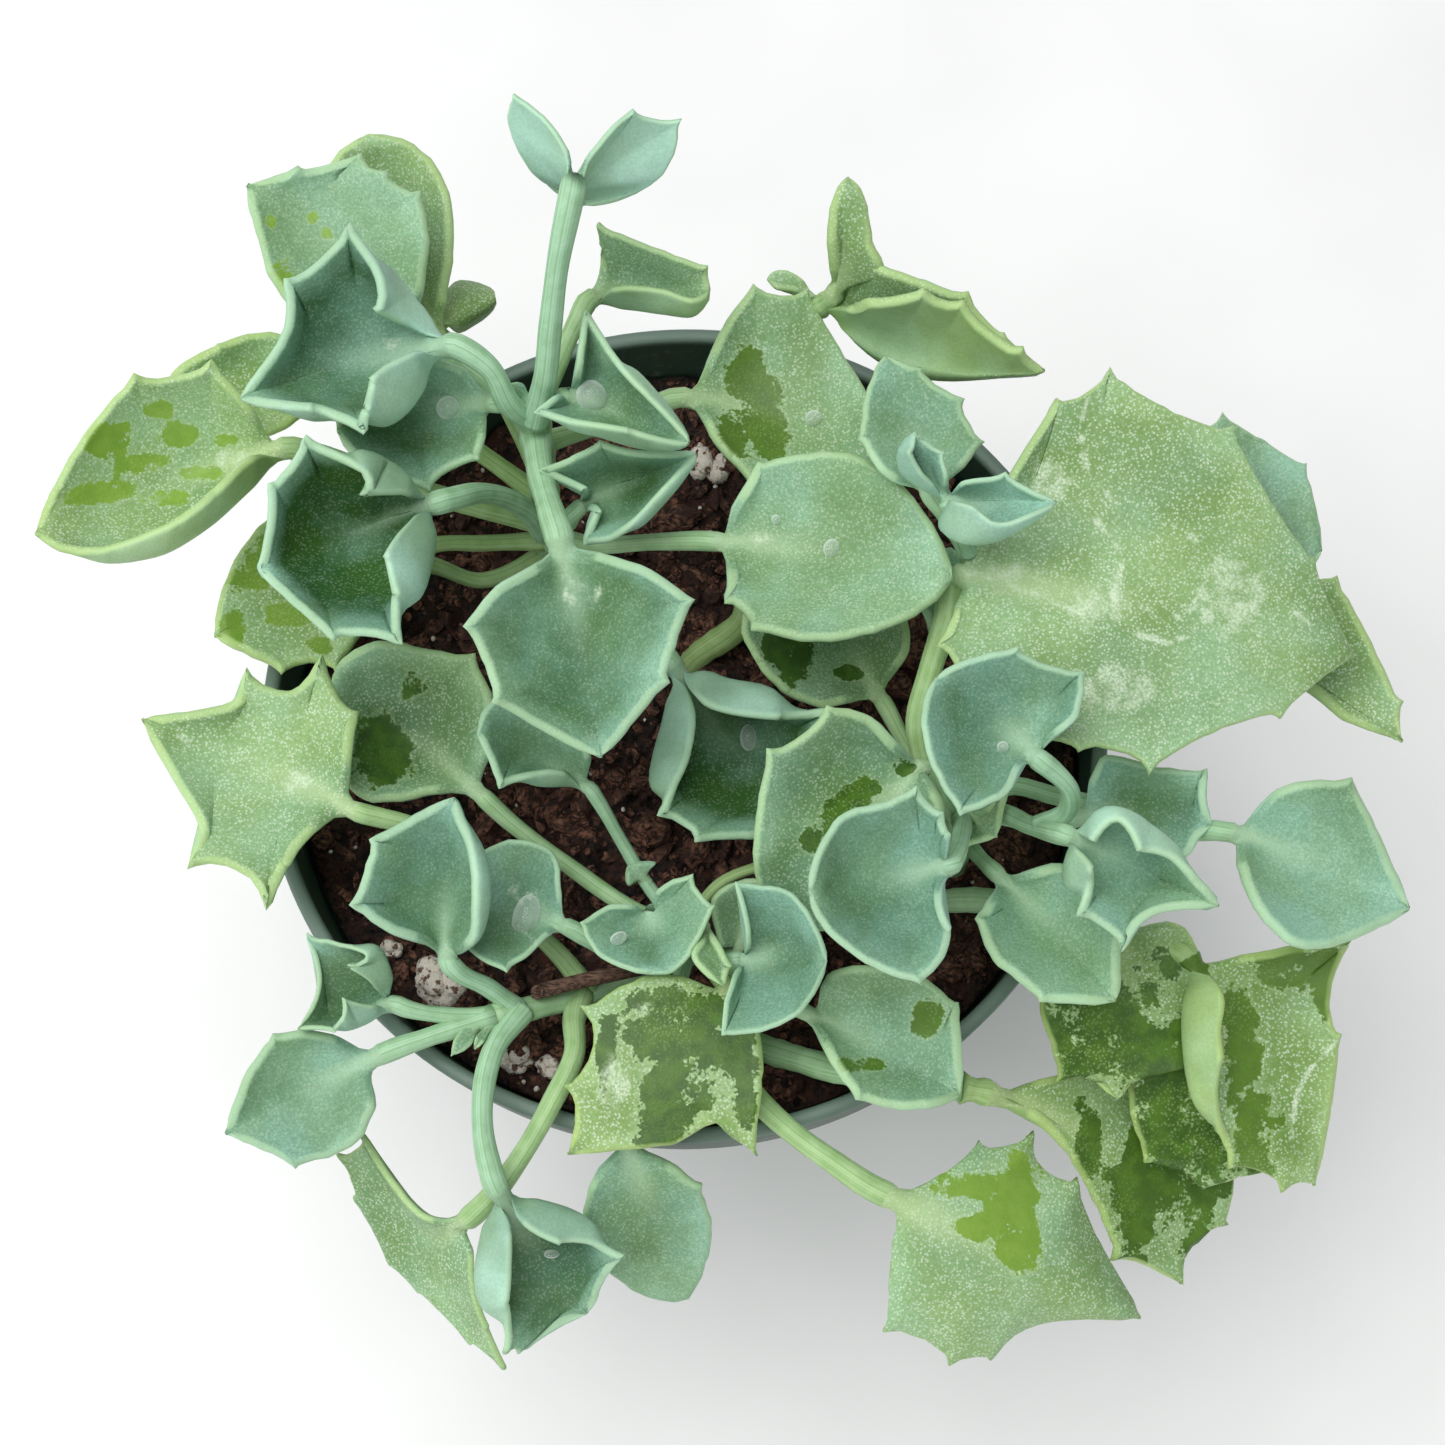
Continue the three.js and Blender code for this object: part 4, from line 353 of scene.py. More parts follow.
def compost():
    """Dark moist peat: brown blotches, near-black where its relief is low, and damp sheen in places.
    The near-black is partly the peat's own colour and partly painted shade in its hollows.
    """
    material, shader = new_material("compost", Roughness=0.85, Specular_IOR_Level=0.3)
    crumb = noise(shader, 1.1, 8)
    # Partly painted shade: where the relief is low the peat is painted near-black, for the shade in its
    # hollows as well as its own dark colour.
    brown = mixed(shader, step(shader, crumb, 0.35, 0.68), colour(12, 9, 8), colour(66, 45, 37))
    red = step(shader, noise(shader, 5, 4), 0.5, 0.66)
    link(shader, mixed(shader, times(shader, red, 0.4), brown, colour(96, 58, 46)), "Base Color")
    link(shader, step(shader, crumb, 0.4, 0.6, 0.6, 0.95), "Roughness")
    relief(shader, crumb, 1.2)
    return material


soil_inside = inside_lip - BAND_TAPER - SOIL_GAP
soil_profile = np.array([
    (1, WALL + SOIL_GAP),
    (BASE_RADIUS - WALL - SOIL_GAP, WALL + SOIL_GAP),
    (WALL_RADIUS - WALL - SOIL_GAP, band_foot - WALL),
    (soil_inside, band_foot + 1.6),
])
soil_radii = soil_inside * np.linspace(1, 0.01, SOIL_RINGS)
soil_surface = turned(np.stack([soil_radii, np.full(SOIL_RINGS, SOIL_TOP)], axis=-1), SOIL_SIDES)
soil_surface[..., 2] = soil_height(soil_surface[..., 0], soil_surface[..., 1])
soil_rings = np.concatenate([turned(soil_profile, SOIL_SIDES), soil_surface])
soil = add_mesh("compost", skin(soil_rings), compost())
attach(soil, "root")
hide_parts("soil")


def scattered(count, spread=0.97):
    """Random places on the compost, evenly spread over its disc."""
    radius = soil_inside * spread * np.sqrt(random.random(count))
    angle = random.random(count) * 2 * math.pi
    x, y = radius * np.cos(angle), radius * np.sin(angle)
    return np.stack([x, y, soil_height(x, y)], axis=-1)


def turned_at_random(count, tilt):
    """Rotation matrices: any heading, and a random tilt up to the given angle."""
    heading = random.random(count) * 2 * math.pi
    lean, side = random.normal(0, tilt, (2, count))
    zero, one = np.zeros(count), np.ones(count)
    cosine, sine = np.cos(heading), np.sin(heading)
    about_z = np.array([[cosine, -sine, zero], [sine, cosine, zero], [zero, zero, one]])
    cosine, sine = np.cos(lean), np.sin(lean)
    about_x = np.array([[one, zero, zero], [zero, cosine, -sine], [zero, sine, cosine]])
    cosine, sine = np.cos(side), np.sin(side)
    about_y = np.array([[cosine, zero, sine], [zero, one, zero], [-sine, zero, cosine]])
    return np.einsum("ijn,jkn,kln->nil", about_z, about_x, about_y)


def copies(form, places, sizes, tilt, roughness):
    """Copies of one small form, each jittered, sized, turned at random and moved to its place."""
    points, quads, triangles = form
    count = len(places)
    jitter = 1 + roughness * random.normal(0, 1, (count, len(points), 1))
    grown = points * jitter * sizes[:, None, :]
    placed = np.einsum("nij,nkj->nki", turned_at_random(count, tilt), grown) + places[:, None, :]
    shift = (np.arange(count) * len(points))[:, None, None]
    return placed.reshape(-1, 3), (quads + shift).reshape(-1, 4), (triangles + shift).reshape(-1, 3)


def pebble(rings, sides):
    """A ball of radius one: rings of latitude closed by fans."""
    angle = np.linspace(-math.pi / 2, math.pi / 2, rings + 2)[1:-1]
    return skin(turned(np.stack([np.cos(angle), np.sin(angle)], axis=-1), sides))


def chip_bark():
    """Bark: dark red-brown, with paler torn fibres that lie flat."""
    material, shader = new_material("bark", Roughness=0.8, Specular_IOR_Level=0.3)
    fibre = noise(shader, 0.8, 6, (1, 1, 3))
    patch = noise(shader, 4, 2)
    bark = mixed(shader, step(shader, fibre, 0.35, 0.7), colour(26, 18, 15), colour(134, 92, 74))
    link(shader, mixed(shader, step(shader, patch, 0.45, 0.65), bark, colour(58, 37, 30)), "Base Color")
    relief(shader, fibre, 0.3)
    return material


def popped(stones, lobes=11):
    """Perlite grains: each a cluster of small balls whose middles lie on a ball half its size."""
    places, sizes = bedded(stones)
    away = unit(random.normal(0, 1, (len(stones), lobes, 3))) * sizes[:, None] * 0.5
    scale = sizes[:, None] * random.uniform(0.42, 0.62, (len(stones), lobes, 1))
    middles = (places[:, None] + away).reshape(-1, 3)
    return copies(pebble(8, 12), middles, scale.reshape(-1, 3), tilt=0.6, roughness=0.05)


def perlite_white():
    """Perlite: off-white puffed glass with brown stains and pits."""
    material, shader = new_material("perlite", Roughness=0.9)
    stain = step(shader, noise(shader, 1.1, 4), 0.54, 0.62)
    link(shader, mixed(shader, stain, colour(226, 216, 204), colour(110, 80, 66)), "Base Color")
    relief(shader, noise(shader, 0.5, 5), 0.35)
    return material


def bedded(stones):
    """Places and sizes of the larger lumps, which lie sunk a little in the compost."""
    places = seen([(u, v, -BELOW_RIM) for u, v, _ in stones])
    sizes = np.array([size for _, _, size in stones])
    places[:, 2] = soil_height(places[:, 0], places[:, 1]) + SUNK * sizes
    return places, sizes[:, None] * [1, 0.82, 0.75]


CHIP_COUNT = 1400
LUMP_COUNT = 420
CRUMB_COUNT = 3600
SAND_COUNT = 170
CHIP_LEAST = np.array([0.8, 0.4, 0.25])
CHIP_MOST = np.array([3.2, 1.1, 0.5])
LUMP_LEAST = np.array([1, 0.8, 0.5])
LUMP_MOST = np.array([4.2, 2.4, 1.6])
chip_places = scattered(CHIP_COUNT)
chip_sizes = CHIP_LEAST + (CHIP_MOST - CHIP_LEAST) * random.random((CHIP_COUNT, 3)) ** [2, 1, 1]
chips = copies(pebble(3, 6), chip_places, chip_sizes, tilt=0.35, roughness=0.16)
lump_places = scattered(LUMP_COUNT, 0.95)
lump_sizes = LUMP_LEAST + (LUMP_MOST - LUMP_LEAST) * random.random((LUMP_COUNT, 3)) ** [2, 1, 1]
lumps = copies(pebble(5, 8), lump_places, lump_sizes, tilt=0.5, roughness=0.16)
clods = copies(pebble(7, 10), *bedded(CLODS), tilt=0.3, roughness=0.13)
crumb_places = scattered(CRUMB_COUNT, 0.985)
crumb_sizes = random.uniform(0.25, 0.8, (CRUMB_COUNT, 1)) * [1, 0.85, 0.7]
crumbs = copies(pebble(3, 5), crumb_places, crumb_sizes, tilt=1.0, roughness=0.15)
bark = add_mesh("bark_chips", merged([chips, lumps, crumbs, clods]), chip_bark(), smooth=False)
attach(bark, "root")

sand_places = scattered(SAND_COUNT, 0.98) + [0, 0, 0.3]
sand_sizes = random.uniform(0.18, 0.5, (SAND_COUNT, 1)) * [1, 0.9, 0.8]
stones = popped(STONES)
grains = copies(pebble(3, 6), sand_places, sand_sizes, tilt=1.0, roughness=0.12)
perlite = add_mesh("perlite_grains", merged([stones, grains]), perlite_white())
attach(perlite, "root")

# The leafy stems
# Each stem grew as one piece with its stalks and fleshy leaves, so each is one mesh, rooted in the compost.
# The flesh is firm and blue-green under a granular wax bloom, which water has taken off in washed patches.

# Thickness at the rib and at the margin of a leaf that is long enough. A shorter one is thinner, down to
# a share of it. The rim is rounded, with a low bead a little way in.
LEAF_MIDDLE = 2.2
LEAF_MARGIN = 0.75
FULL_SIZE_LEAF = 24
THINNEST = 0.55
RIM_ROUND = 0.36
BEAD = 0.04
BEAD_AT = 0.6
BEAD_WIDTH = 0.35
# Form: where a fold's point lies on the way out, the hollow between two teeth, the least gap between
# knots along the rib, and how much of the margin's height a column's control point has.
FOLD_AT = 0.6
SCALLOP = 0.09
STATION_GAP = 0.05
DISH = 0.12
# Teeth by powers of the way out, their sharp points, the pinch before the tip, and the margin's waves.
TOOTH_REACH = 3.5
POINT_REACH = 14
POINT_LENGTH = 0.9
POINT_WIDTH = 1.3
PINCH = 0.5
PINCH_LENGTH = 4
WAVE = 0.07
WAVE_LONG = 0.75
WAVE_SHORT = 0.47
CALM_END = 5
# The neck, where the stalk flattens into the blade: its length, how far it starts behind the base, how
# much the stalk thins in it, and how far along the rib the stalk's end aims.
NECK = 6.5
NECK_BACK = 2.6
NECK_THINNING = 0.45
NECK_AIM = 2.5
# The mesh: the rim's rows by their distance from the margin, how columns crowd towards the knots, the
# spacing, and the rounds of averaging.
RIM_ROWS = np.array([0, 0.05, 0.18, 0.36, 0.7, 1.2])
CROWDING = 0.11
GRAIN_LEAST = 0.55
GRAIN_MOST = 0.9
GRAINS_LONG = 30
MESH_SPACING = 1.55
STALK_STEP = 1.6
SMOOTHING = 6
WAY_SMOOTHING = 4
BEND_SMOOTHING = 5
TROUGH_ROUNDING = 2
# The lowest value of wash, the distance to a trace where there is none, the distance from the margin that
# a stalk gets, the greatest one from the rib, the strength of powder, and the traces' width and step.
WASH_NONE = -1.5
NO_TRACE = 9.0
INMOST_MARGIN = 6.0
FARTHEST_RIB = 9
POWDER = 0.62
TRACE_WIDTH = 0.7
TRACE_STEP = 0.5


def edge(u, v, z, over=None):
    """A smooth point of a margin. A folded wing passes through the point over on its way out from the rib."""
    return (u, v, z), over, False


def tooth(u, v, z, over=None):
    """A sharp point of a margin."""
    return (u, v, z), over, True


def leaf(name, stalk, width, base, tip, halfway, pairs, look=(0.3, 0.3), washed=(), powdery=(), traces=()):
    """A leaf: its stalk's points from the stem outwards, the stalk's width, the blade's base and tip, the
    rib's height halfway or the whole point there, and the margin's left and right points in pairs to the tip.
    The look is (warmth from blue to yellow green, depth of the shade in its cup). Washed and powdery patches
    are ellipses (u, v, half width, half height), and traces are lines that drying water left. The grain is
    a length in millimetres, from which the teeth and the spacing of the mesh follow."""
    base, tip = np.array(base, float), np.array(tip, float)
    middle = (base + tip) / 2
    mid = np.array(halfway, float) if isinstance(halfway, list) else np.array([*middle[:2], halfway])
    grain = np.clip(np.linalg.norm(tip - base) / GRAINS_LONG, GRAIN_LEAST, GRAIN_MOST)
    last = base - stalk[-1]
    heading = unit(last)
    base = base - heading * min(NECK_BACK, np.linalg.norm(last) / 2)
    return dict(name=name, stalk=stalk, width=width, base=base, tip=tip, bulge=mid - middle, heading=heading,
                pairs=pairs, look=look, washed=washed, powdery=powdery, traces=traces, grain=grain)


def rib_at(leaf, s):
    """The midrib: a straight line from base to tip with a parabola's bulge added."""
    s = np.asarray(s)[..., None]
    return leaf["base"] + (leaf["tip"] - leaf["base"]) * s + leaf["bulge"] * 4 * s * (1 - s)


def outline(leaf, knots, sharp, places):
    """One margin as cubic pieces through its knots, at places where knot i is place i. Smooth knots take the
    slope of their neighbours. Between two sharp ones the curve hollows towards the rib by a share of its
    length."""
    line = np.zeros((len(places), 3))
    last = len(knots) - 1
    for i in range(last):
        start, end = knots[i], knots[i + 1]
        chord = end - start
        leave = None if sharp[i] else (knots[i + 1] - knots[i - 1]) / 2
        arrive = None if sharp[i + 1] else (knots[i + 2] - knots[i]) / 2
        if i == 0:
            leave = leaf["heading"] * np.linalg.norm(chord)
        if leave is None and arrive is None:
            inward = rib_at(leaf, (i + 0.5) / last) - (start + end) / 2
            hollow = inward * 4 * SCALLOP * np.linalg.norm(chord) / max(1, np.linalg.norm(inward))
            leave, arrive = chord + hollow, chord - hollow
        leave = 2 * chord - arrive if leave is None else leave
        arrive = 2 * chord - leave if arrive is None else arrive
        here = (places >= i) & (places <= i + 1)
        t = (places[here] - i)[:, None]
        line[here] = (
            (1 + 2 * t) * (1 - t) ** 2 * start + t * (1 - t) ** 2 * leave
            + t * t * (3 - 2 * t) * end + t * t * (t - 1) * arrive
        )
    return line


def waved(leaf, line, places):
    """A margin with slow waves of a fraction of a millimetre, and a pinch before the tip."""
    length = np.concatenate([[0], np.cumsum(np.linalg.norm(np.diff(line, axis=0), axis=1))])
    size = leaf["grain"] / GRAIN_MOST
    to_tip = length[-1] - length
    calm = np.clip(np.minimum(length, to_tip) / CALM_END, 0, 1)
    swings = np.sin(length / WAVE_LONG + leaf["tip"][0]) + np.sin(length / WAVE_SHORT + leaf["tip"][1])
    push = WAVE * calm * swings
    push -= PINCH * size * np.clip(1 - to_tip / (PINCH_LENGTH * size), 0, 1)
    return line + unit(line - rib_at(leaf, places / places[-1])) * push[:, None]


def sharp_points(leaf, line, sharp, places):
    """How far a margin's teeth stand out of it: at a distance d from a tooth, by (1 - d / width) ** 1.5."""
    length = np.concatenate([[0], np.cumsum(np.linalg.norm(np.diff(line, axis=0), axis=1))])
    size = leaf["grain"] / GRAIN_MOST
    push = np.zeros(len(line))
    for knot in np.flatnonzero(sharp[1:-1]) + 1:
        apart = np.abs(length - length[np.searchsorted(places, knot)])
        push += POINT_LENGTH * size * np.clip(1 - apart / (POINT_WIDTH * size), 0, 1) ** 1.5
    return unit(line - rib_at(leaf, places / places[-1])) * push[:, None]


def smoothed(line, passes=SMOOTHING):
    """A row of points averaged with its neighbours again and again, with its ends held."""
    line = line.copy()
    for _ in range(passes):
        line[1:-1] = (line[:-2] + 2 * line[1:-1] + line[2:]) / 4
    return line


def beside(start, end):
    """Halfway from the rib to the margin, and still low, so that a blade is a shallow dish."""
    control = (start + end) / 2
    control[..., 2] = start[..., 2] + DISH * (end[..., 2] - start[..., 2])
    return control


def blade(leaf):
    """The blade's middle surface in sight places, (columns, rows, 3), its points' distances from the margin,
    and how far along the rib each column lies. From the rib to the margin a column is a quadratic curve,
    which ends on a margin with the teeth smoothed away. The teeth are added by a high power of the way out
    and their sharp points by a higher one, so only the rim follows them. Columns crowd towards the knots of
    the margin. The outermost rows lie at set distances from it. Averaging rounds the trough at the rib."""
    base, tip, pairs = leaf["base"], leaf["tip"], leaf["pairs"]
    sides = []
    for side in (0, 1):
        knots = np.array([base, *[pair[side][0] for pair in pairs], tip], float)
        sides.append((knots, [True, *[pair[side][2] for pair in pairs], True]))
    gaps = np.maximum(*[np.linalg.norm(np.diff(knots, axis=0), axis=1) for knots, _ in sides])
    spacing = leaf["grain"] * MESH_SPACING
    steps = np.clip(np.ceil(gaps / spacing), 4, 60).astype(int)
    even = np.concatenate([*[i + np.arange(count) / count for i, count in enumerate(steps)], [len(steps)]])
    crowded = even - CROWDING * np.sin(2 * math.pi * even)

    def resampled(values):
        """Values at even places, carried over to places that crowd towards the knots."""
        return np.stack([np.interp(crowded, even, column) for column in values.T], axis=-1)

    axis = (tip - base)[:2]
    stations = [0.0]
    for i, pair in enumerate(pairs):
        middle = (np.array(pair[0][0]) + pair[1][0])[:2] / 2 - base[:2]
        lowest, highest = stations[i] + STATION_GAP, 1 - STATION_GAP * (len(pairs) - i)
        stations.append(min(max(middle @ axis / (axis @ axis), lowest), highest))
    stations.append(1.0)
    station_line = np.interp(even, np.arange(len(stations)), stations)
    way = resampled(smoothed(station_line, WAY_SMOOTHING)[:, None])[:, 0]
    rib = rib_at(leaf, way)

    halves = []
    for side, (knots, sharp) in enumerate(sides):
        plain = resampled(smoothed(outline(leaf, knots, sharp, even)))
        toothed = waved(leaf, outline(leaf, knots, sharp, crowded), crowded)
        swell = np.zeros_like(knots)
        for i, pair in enumerate(pairs):
            if pair[side][1]:
                start, t = rib_at(leaf, stations[i + 1]), FOLD_AT
                over = np.array(pair[side][1]) - (1 - t) ** 2 * start - t * t * knots[i + 1]
                swell[i + 1] = over / (2 * t * (1 - t)) - beside(start, knots[i + 1])
        bend = np.stack([np.interp(even, np.arange(len(knots)), column) for column in swell.T], axis=-1)
        control = beside(rib, plain) + resampled(smoothed(bend, BEND_SMOOTHING))
        reach = np.linalg.norm(control - rib, axis=-1) + np.linalg.norm(plain - control, axis=-1)
        halves.append((toothed, plain, control, sharp_points(leaf, toothed, sharp, crowded), reach.max()))

    widest = max(reach for *_, reach in halves)
    inner = int(np.clip(np.ceil((widest - RIM_ROWS[-1]) / spacing), 5, 40))
    columns = []
    for toothed, plain, control, points, _ in halves:
        rush = np.linalg.norm(2 * (plain - control) + TOOTH_REACH * (toothed - plain), axis=-1)
        outer = 1 / (1 + RIM_ROWS / np.maximum(rush, 0.3)[:, None])
        inside = outer[:, -1:] * np.linspace(1, 0, inner + 1)[1:]
        t = np.concatenate([outer, inside], axis=1)[..., None]
        curve = (1 - t) ** 2 * rib[:, None] + 2 * t * (1 - t) * control[:, None] + t * t * plain[:, None]
        columns.append(curve + t**TOOTH_REACH * (toothed - plain)[:, None] + t**POINT_REACH * points[:, None])
    surface = np.concatenate([columns[0], columns[1][:, -2::-1]], axis=1)
    fixed = len(RIM_ROWS)
    for _ in range(TROUGH_ROUNDING):
        between = (surface[:, fixed - 1:-fixed - 1] + surface[:, fixed + 1:surface.shape[1] - fixed + 1]) / 2
        surface[:, fixed:-fixed] = (surface[:, fixed:-fixed] + between) / 2
    gaps = np.linalg.norm(np.diff(surface, axis=1), axis=-1)
    from_left = np.cumsum(np.pad(gaps, ((0, 0), (1, 0))), axis=1)
    return surface, np.minimum(from_left, from_left[:, -1:] - from_left), way


def smooth_path(points, spacing):
    """A path through points, in even steps of about the spacing: cubic pieces over the chords' lengths."""
    points = np.asarray(points, float)
    gaps = np.maximum(np.linalg.norm(np.diff(points, axis=0), axis=1), 1e-6)
    knots = np.concatenate([[0], np.cumsum(gaps)])
    chords = np.diff(points, axis=0) / gaps[:, None]
    slopes = np.concatenate([chords[:1], np.zeros_like(chords[1:]), chords[-1:]])
    weight = (gaps[1:] / (gaps[1:] + gaps[:-1]))[:, None]
    slopes[1:-1] = chords[:-1] * weight + chords[1:] * (1 - weight)
    places = np.linspace(0, knots[-1], max(3, int(knots[-1] / spacing) + 1))
    i = np.clip(np.searchsorted(knots, places, side="right") - 1, 0, len(gaps) - 1)
    gap = gaps[i][:, None]
    t = (places - knots[i])[:, None] / gap
    return (
        (1 + 2 * t) * (1 - t) ** 2 * points[i] + t * (1 - t) ** 2 * gap * slopes[i]
        + t * t * (3 - 2 * t) * points[i + 1] + t * t * (t - 1) * gap * slopes[i + 1]
    )


def carried(path, side):
    """Directions sideways and upwards along a path, carried back from its last point without a twist."""
    tangents = unit(np.gradient(path, axis=0))
    sideways = np.zeros_like(path)
    for i in range(len(path) - 1, -1, -1):
        side = unit(side - (side @ tangents[i]) * tangents[i])
        sideways[i] = side
    return sideways, np.cross(sideways, tangents)


def around(path, sideways, upwards, radius, angles):
    """Rings round a path: at each angle, its cosine sideways and its sine upwards."""
    circle = np.cos(angles)[:, None] * sideways[:, None] + np.sin(angles)[:, None] * upwards[:, None]
    return path[:, None] + np.broadcast_to(radius, len(path))[:, None, None] * circle


def wash_field(sight, patches):
    """How far a place is inside the nearest ellipse: 1 at its middle, 0 at its edge, negative outside."""
    field = np.full(sight.shape[:-1], WASH_NONE)
    for u, v, half_width, half_height in patches:
        off = np.hypot((sight[..., 0] - u) / half_width, (sight[..., 1] - v) / half_height)
        field = np.maximum(field, 1 - off)
    return field


def trace_field(sight, lines, patches):
    """1 on a dried trace, falling to 0 at TRACE_WIDTH from it. A powdery ellipse gives POWDER at most."""
    nearest = np.full(sight.shape[:-1], NO_TRACE)
    for line in lines:
        line = smooth_path([(*point, 0) for point in line], TRACE_STEP)[:, :2]
        apart = np.linalg.norm(sight[..., None, :2] - line, axis=-1).min(-1)
        nearest = np.minimum(nearest, apart)
    powder = POWDER * np.clip(1.6 * wash_field(sight, patches), 0, 1)
    return np.maximum(np.clip(1 - nearest / TRACE_WIDTH, 0, 1), powder)


# Where each leaf's upper face lies, by its name, for the water drops.
upper_faces = {}


def grown_leaf(leaf):
    """A whole leaf as one closed skin: rings round the stalk, which flatten into the blade's two faces.
    The blade is its middle surface moved half its thickness both ways along its normals, round at the rim."""
    sight, margin, way = blade(leaf)
    surface = seen(sight)
    along, across = np.gradient(surface, axis=0), np.gradient(surface, axis=1)
    normals = unit(np.cross(across, along))
    normals[0], normals[-1] = normals[1], normals[-2]
    rows = surface.shape[1]
    centre = rows // 2
    size = np.clip(np.linalg.norm(leaf["tip"] - leaf["base"]) / FULL_SIZE_LEAF, THINNEST, 1)
    outward = np.abs(np.linspace(-1, 1, rows))
    round_rim = np.sqrt(1 - (1 - np.clip(margin / (RIM_ROUND * size), 0, 1)) ** 2)
    bead = BEAD * np.exp(-(((margin - BEAD_AT) / BEAD_WIDTH) ** 2))
    half = size * ((LEAF_MIDDLE + (LEAF_MARGIN - LEAF_MIDDLE) * outward**2) / 2 + bead) * round_rim
    half *= np.clip(np.linalg.norm(across, axis=-1).sum(1) / 3, 0.15, 1)[:, None]
    top, under = surface + normals * half[..., None], surface - normals * half[..., None]

    angles = np.concatenate([np.linspace(math.pi, 0, rows), np.linspace(0, -math.pi, rows)[1:-1]])
    rings = np.concatenate([top, under[:, -2:0:-1]], axis=1)
    rib = surface[:, centre]
    sideways = unit(surface[1:, centre + 1] - surface[1:, centre - 1])
    sideways = np.concatenate([sideways[:1], sideways])
    from_base = np.concatenate([[0], np.cumsum(np.linalg.norm(np.diff(rib, axis=0), axis=1))])
    neck = np.clip(from_base / (NECK * size), 0, 1)
    apart = np.clip(np.linalg.norm(surface - rib[0], axis=-1) / (NECK * size), 0, 1)
    apart = np.concatenate([apart, apart[:, -2:0:-1]], axis=1)
    flat = (apart * apart * (3 - 2 * apart))[..., None]
    radius = leaf["width"] / 2
    tangents = unit(np.gradient(rib, axis=0))
    sideways = unit(sideways - (sideways * tangents).sum(-1, keepdims=True) * tangents)
    thinned = radius * (1 - NECK_THINNING * neck)
    neck_rings = around(rib, sideways, np.cross(sideways, tangents), thinned, angles)
    rings = neck_rings * (1 - flat) + rings * flat

    ahead = int(np.searchsorted(from_base, NECK_AIM))
    spacing = min(STALK_STEP, np.linalg.norm(seen(leaf["stalk"])[-1] - rib[0]) / 4)
    path = smooth_path([*seen(leaf["stalk"]), rib[0], rib[min(ahead, len(rib) - 2)]], spacing)
    path = path[: np.linalg.norm(path - rib[0], axis=1).argmin()]
    path = path[np.linalg.norm(path - rib[0], axis=1) > 0.4 * spacing]
    stalk_side, stalk_up = carried(np.concatenate([path, rib[:1]]), sideways[0])
    down = np.linspace(0, 1, len(path))
    stoutness = 0.86 + 0.3 * (1 - down) ** 4 + 0.14 * down**6 + 0.03 * np.sin(14 * down + radius)
    stalk_rings = around(path, stalk_side[:-1], stalk_up[:-1], radius * stoutness, angles)

    whole = np.concatenate([stalk_rings, rings[:-1]])
    ring_place = np.concatenate([sight, sight[:, -2:0:-1]], axis=1)
    ring_margin = np.concatenate([margin, margin[:, -2:0:-1]], axis=1)
    upper = np.concatenate([np.full(rows, 1.0), np.zeros(rows - 2)])
    to_rib = np.linalg.norm(surface - rib[:, None], axis=-1)
    ring_rib = np.concatenate([to_rib, to_rib[:, -2:0:-1]], axis=1)
    stalk = len(path)

    def spread(blade_values, stalk_value):
        """Values of the whole skin, with one value on the stalk and one for each end's middle point."""
        stalk_values = np.broadcast_to(stalk_value, (stalk, blade_values.shape[1]))
        values = np.concatenate([stalk_values, blade_values[:-1]])
        return np.concatenate([values.ravel(), [values[0, 0], blade_values[-1, 0]]])

    fields = dict(
        margin=spread(np.maximum(ring_margin, INMOST_MARGIN * (1 - apart)), INMOST_MARGIN),
        rib=spread(np.minimum(ring_rib, FARTHEST_RIB), 0.0),
        way=spread(np.broadcast_to(way[:, None], ring_margin.shape), -1.0),
        upper=spread(np.broadcast_to(upper, ring_margin.shape), 0.5),
        wash=spread(np.where(upper > 0, wash_field(ring_place, leaf["washed"]), WASH_NONE), WASH_NONE),
        trace=spread(trace_field(ring_place, leaf["traces"], leaf["powdery"]) * upper, 0.0),
        warmth=spread(np.full(ring_margin.shape, leaf["look"][0]), leaf["look"][0]),
        depth=spread(np.full(ring_margin.shape, leaf["look"][1]), leaf["look"][1]),
        strand=spread(np.cos(angles) * radius * (1 - neck[:, None]), np.cos(angles) * radius),
    )
    upper_faces[leaf["name"]] = (sight[..., :2], top, normals)
    return skin(whole), fields


STEM_SIDES = 20
STEM_STEP = 1.2
ROOT_DEPTH = 18
ROOT_GAP = 0.3


def plain_fields(count, radius, warmth):
    """The shader's values on a bare stem."""
    values = dict(
        margin=INMOST_MARGIN, rib=0.0, way=-1.0, upper=0.5,
        wash=WASH_NONE, trace=0.0, warmth=warmth, depth=0.0,
    )
    fields = {name: np.full(count, value) for name, value in values.items()}
    fields["strand"] = radius * np.cos(np.arange(count) / STEM_SIDES * 2 * math.pi)
    return fields


def stem_skin(points, radius):
    """A fleshy stem: a straight root end in the compost, then a tube through its points, a little knobbly."""
    path = seen(points)
    foot = [*path[0][:2], SOIL_TOP - ROOT_DEPTH + ROOT_GAP]
    path = smooth_path([foot, *path], STEM_STEP)
    sideways, upwards = carried(path, np.array([1.0, 0, 0]))
    along = np.arange(len(path)) * STEM_STEP
    swell = 1 + 0.04 * np.sin(along * 0.9) + 0.03 * np.sin(along * 2.3 + radius)
    angles = -np.arange(STEM_SIDES) / STEM_SIDES * 2 * math.pi
    return skin(around(path, sideways, upwards, radius * swell, angles))


def field(shader, name):
    """One of the values stored at the mesh's points."""
    return add_node(shader, "Attribute", {}, "Fac", attribute_name=name)


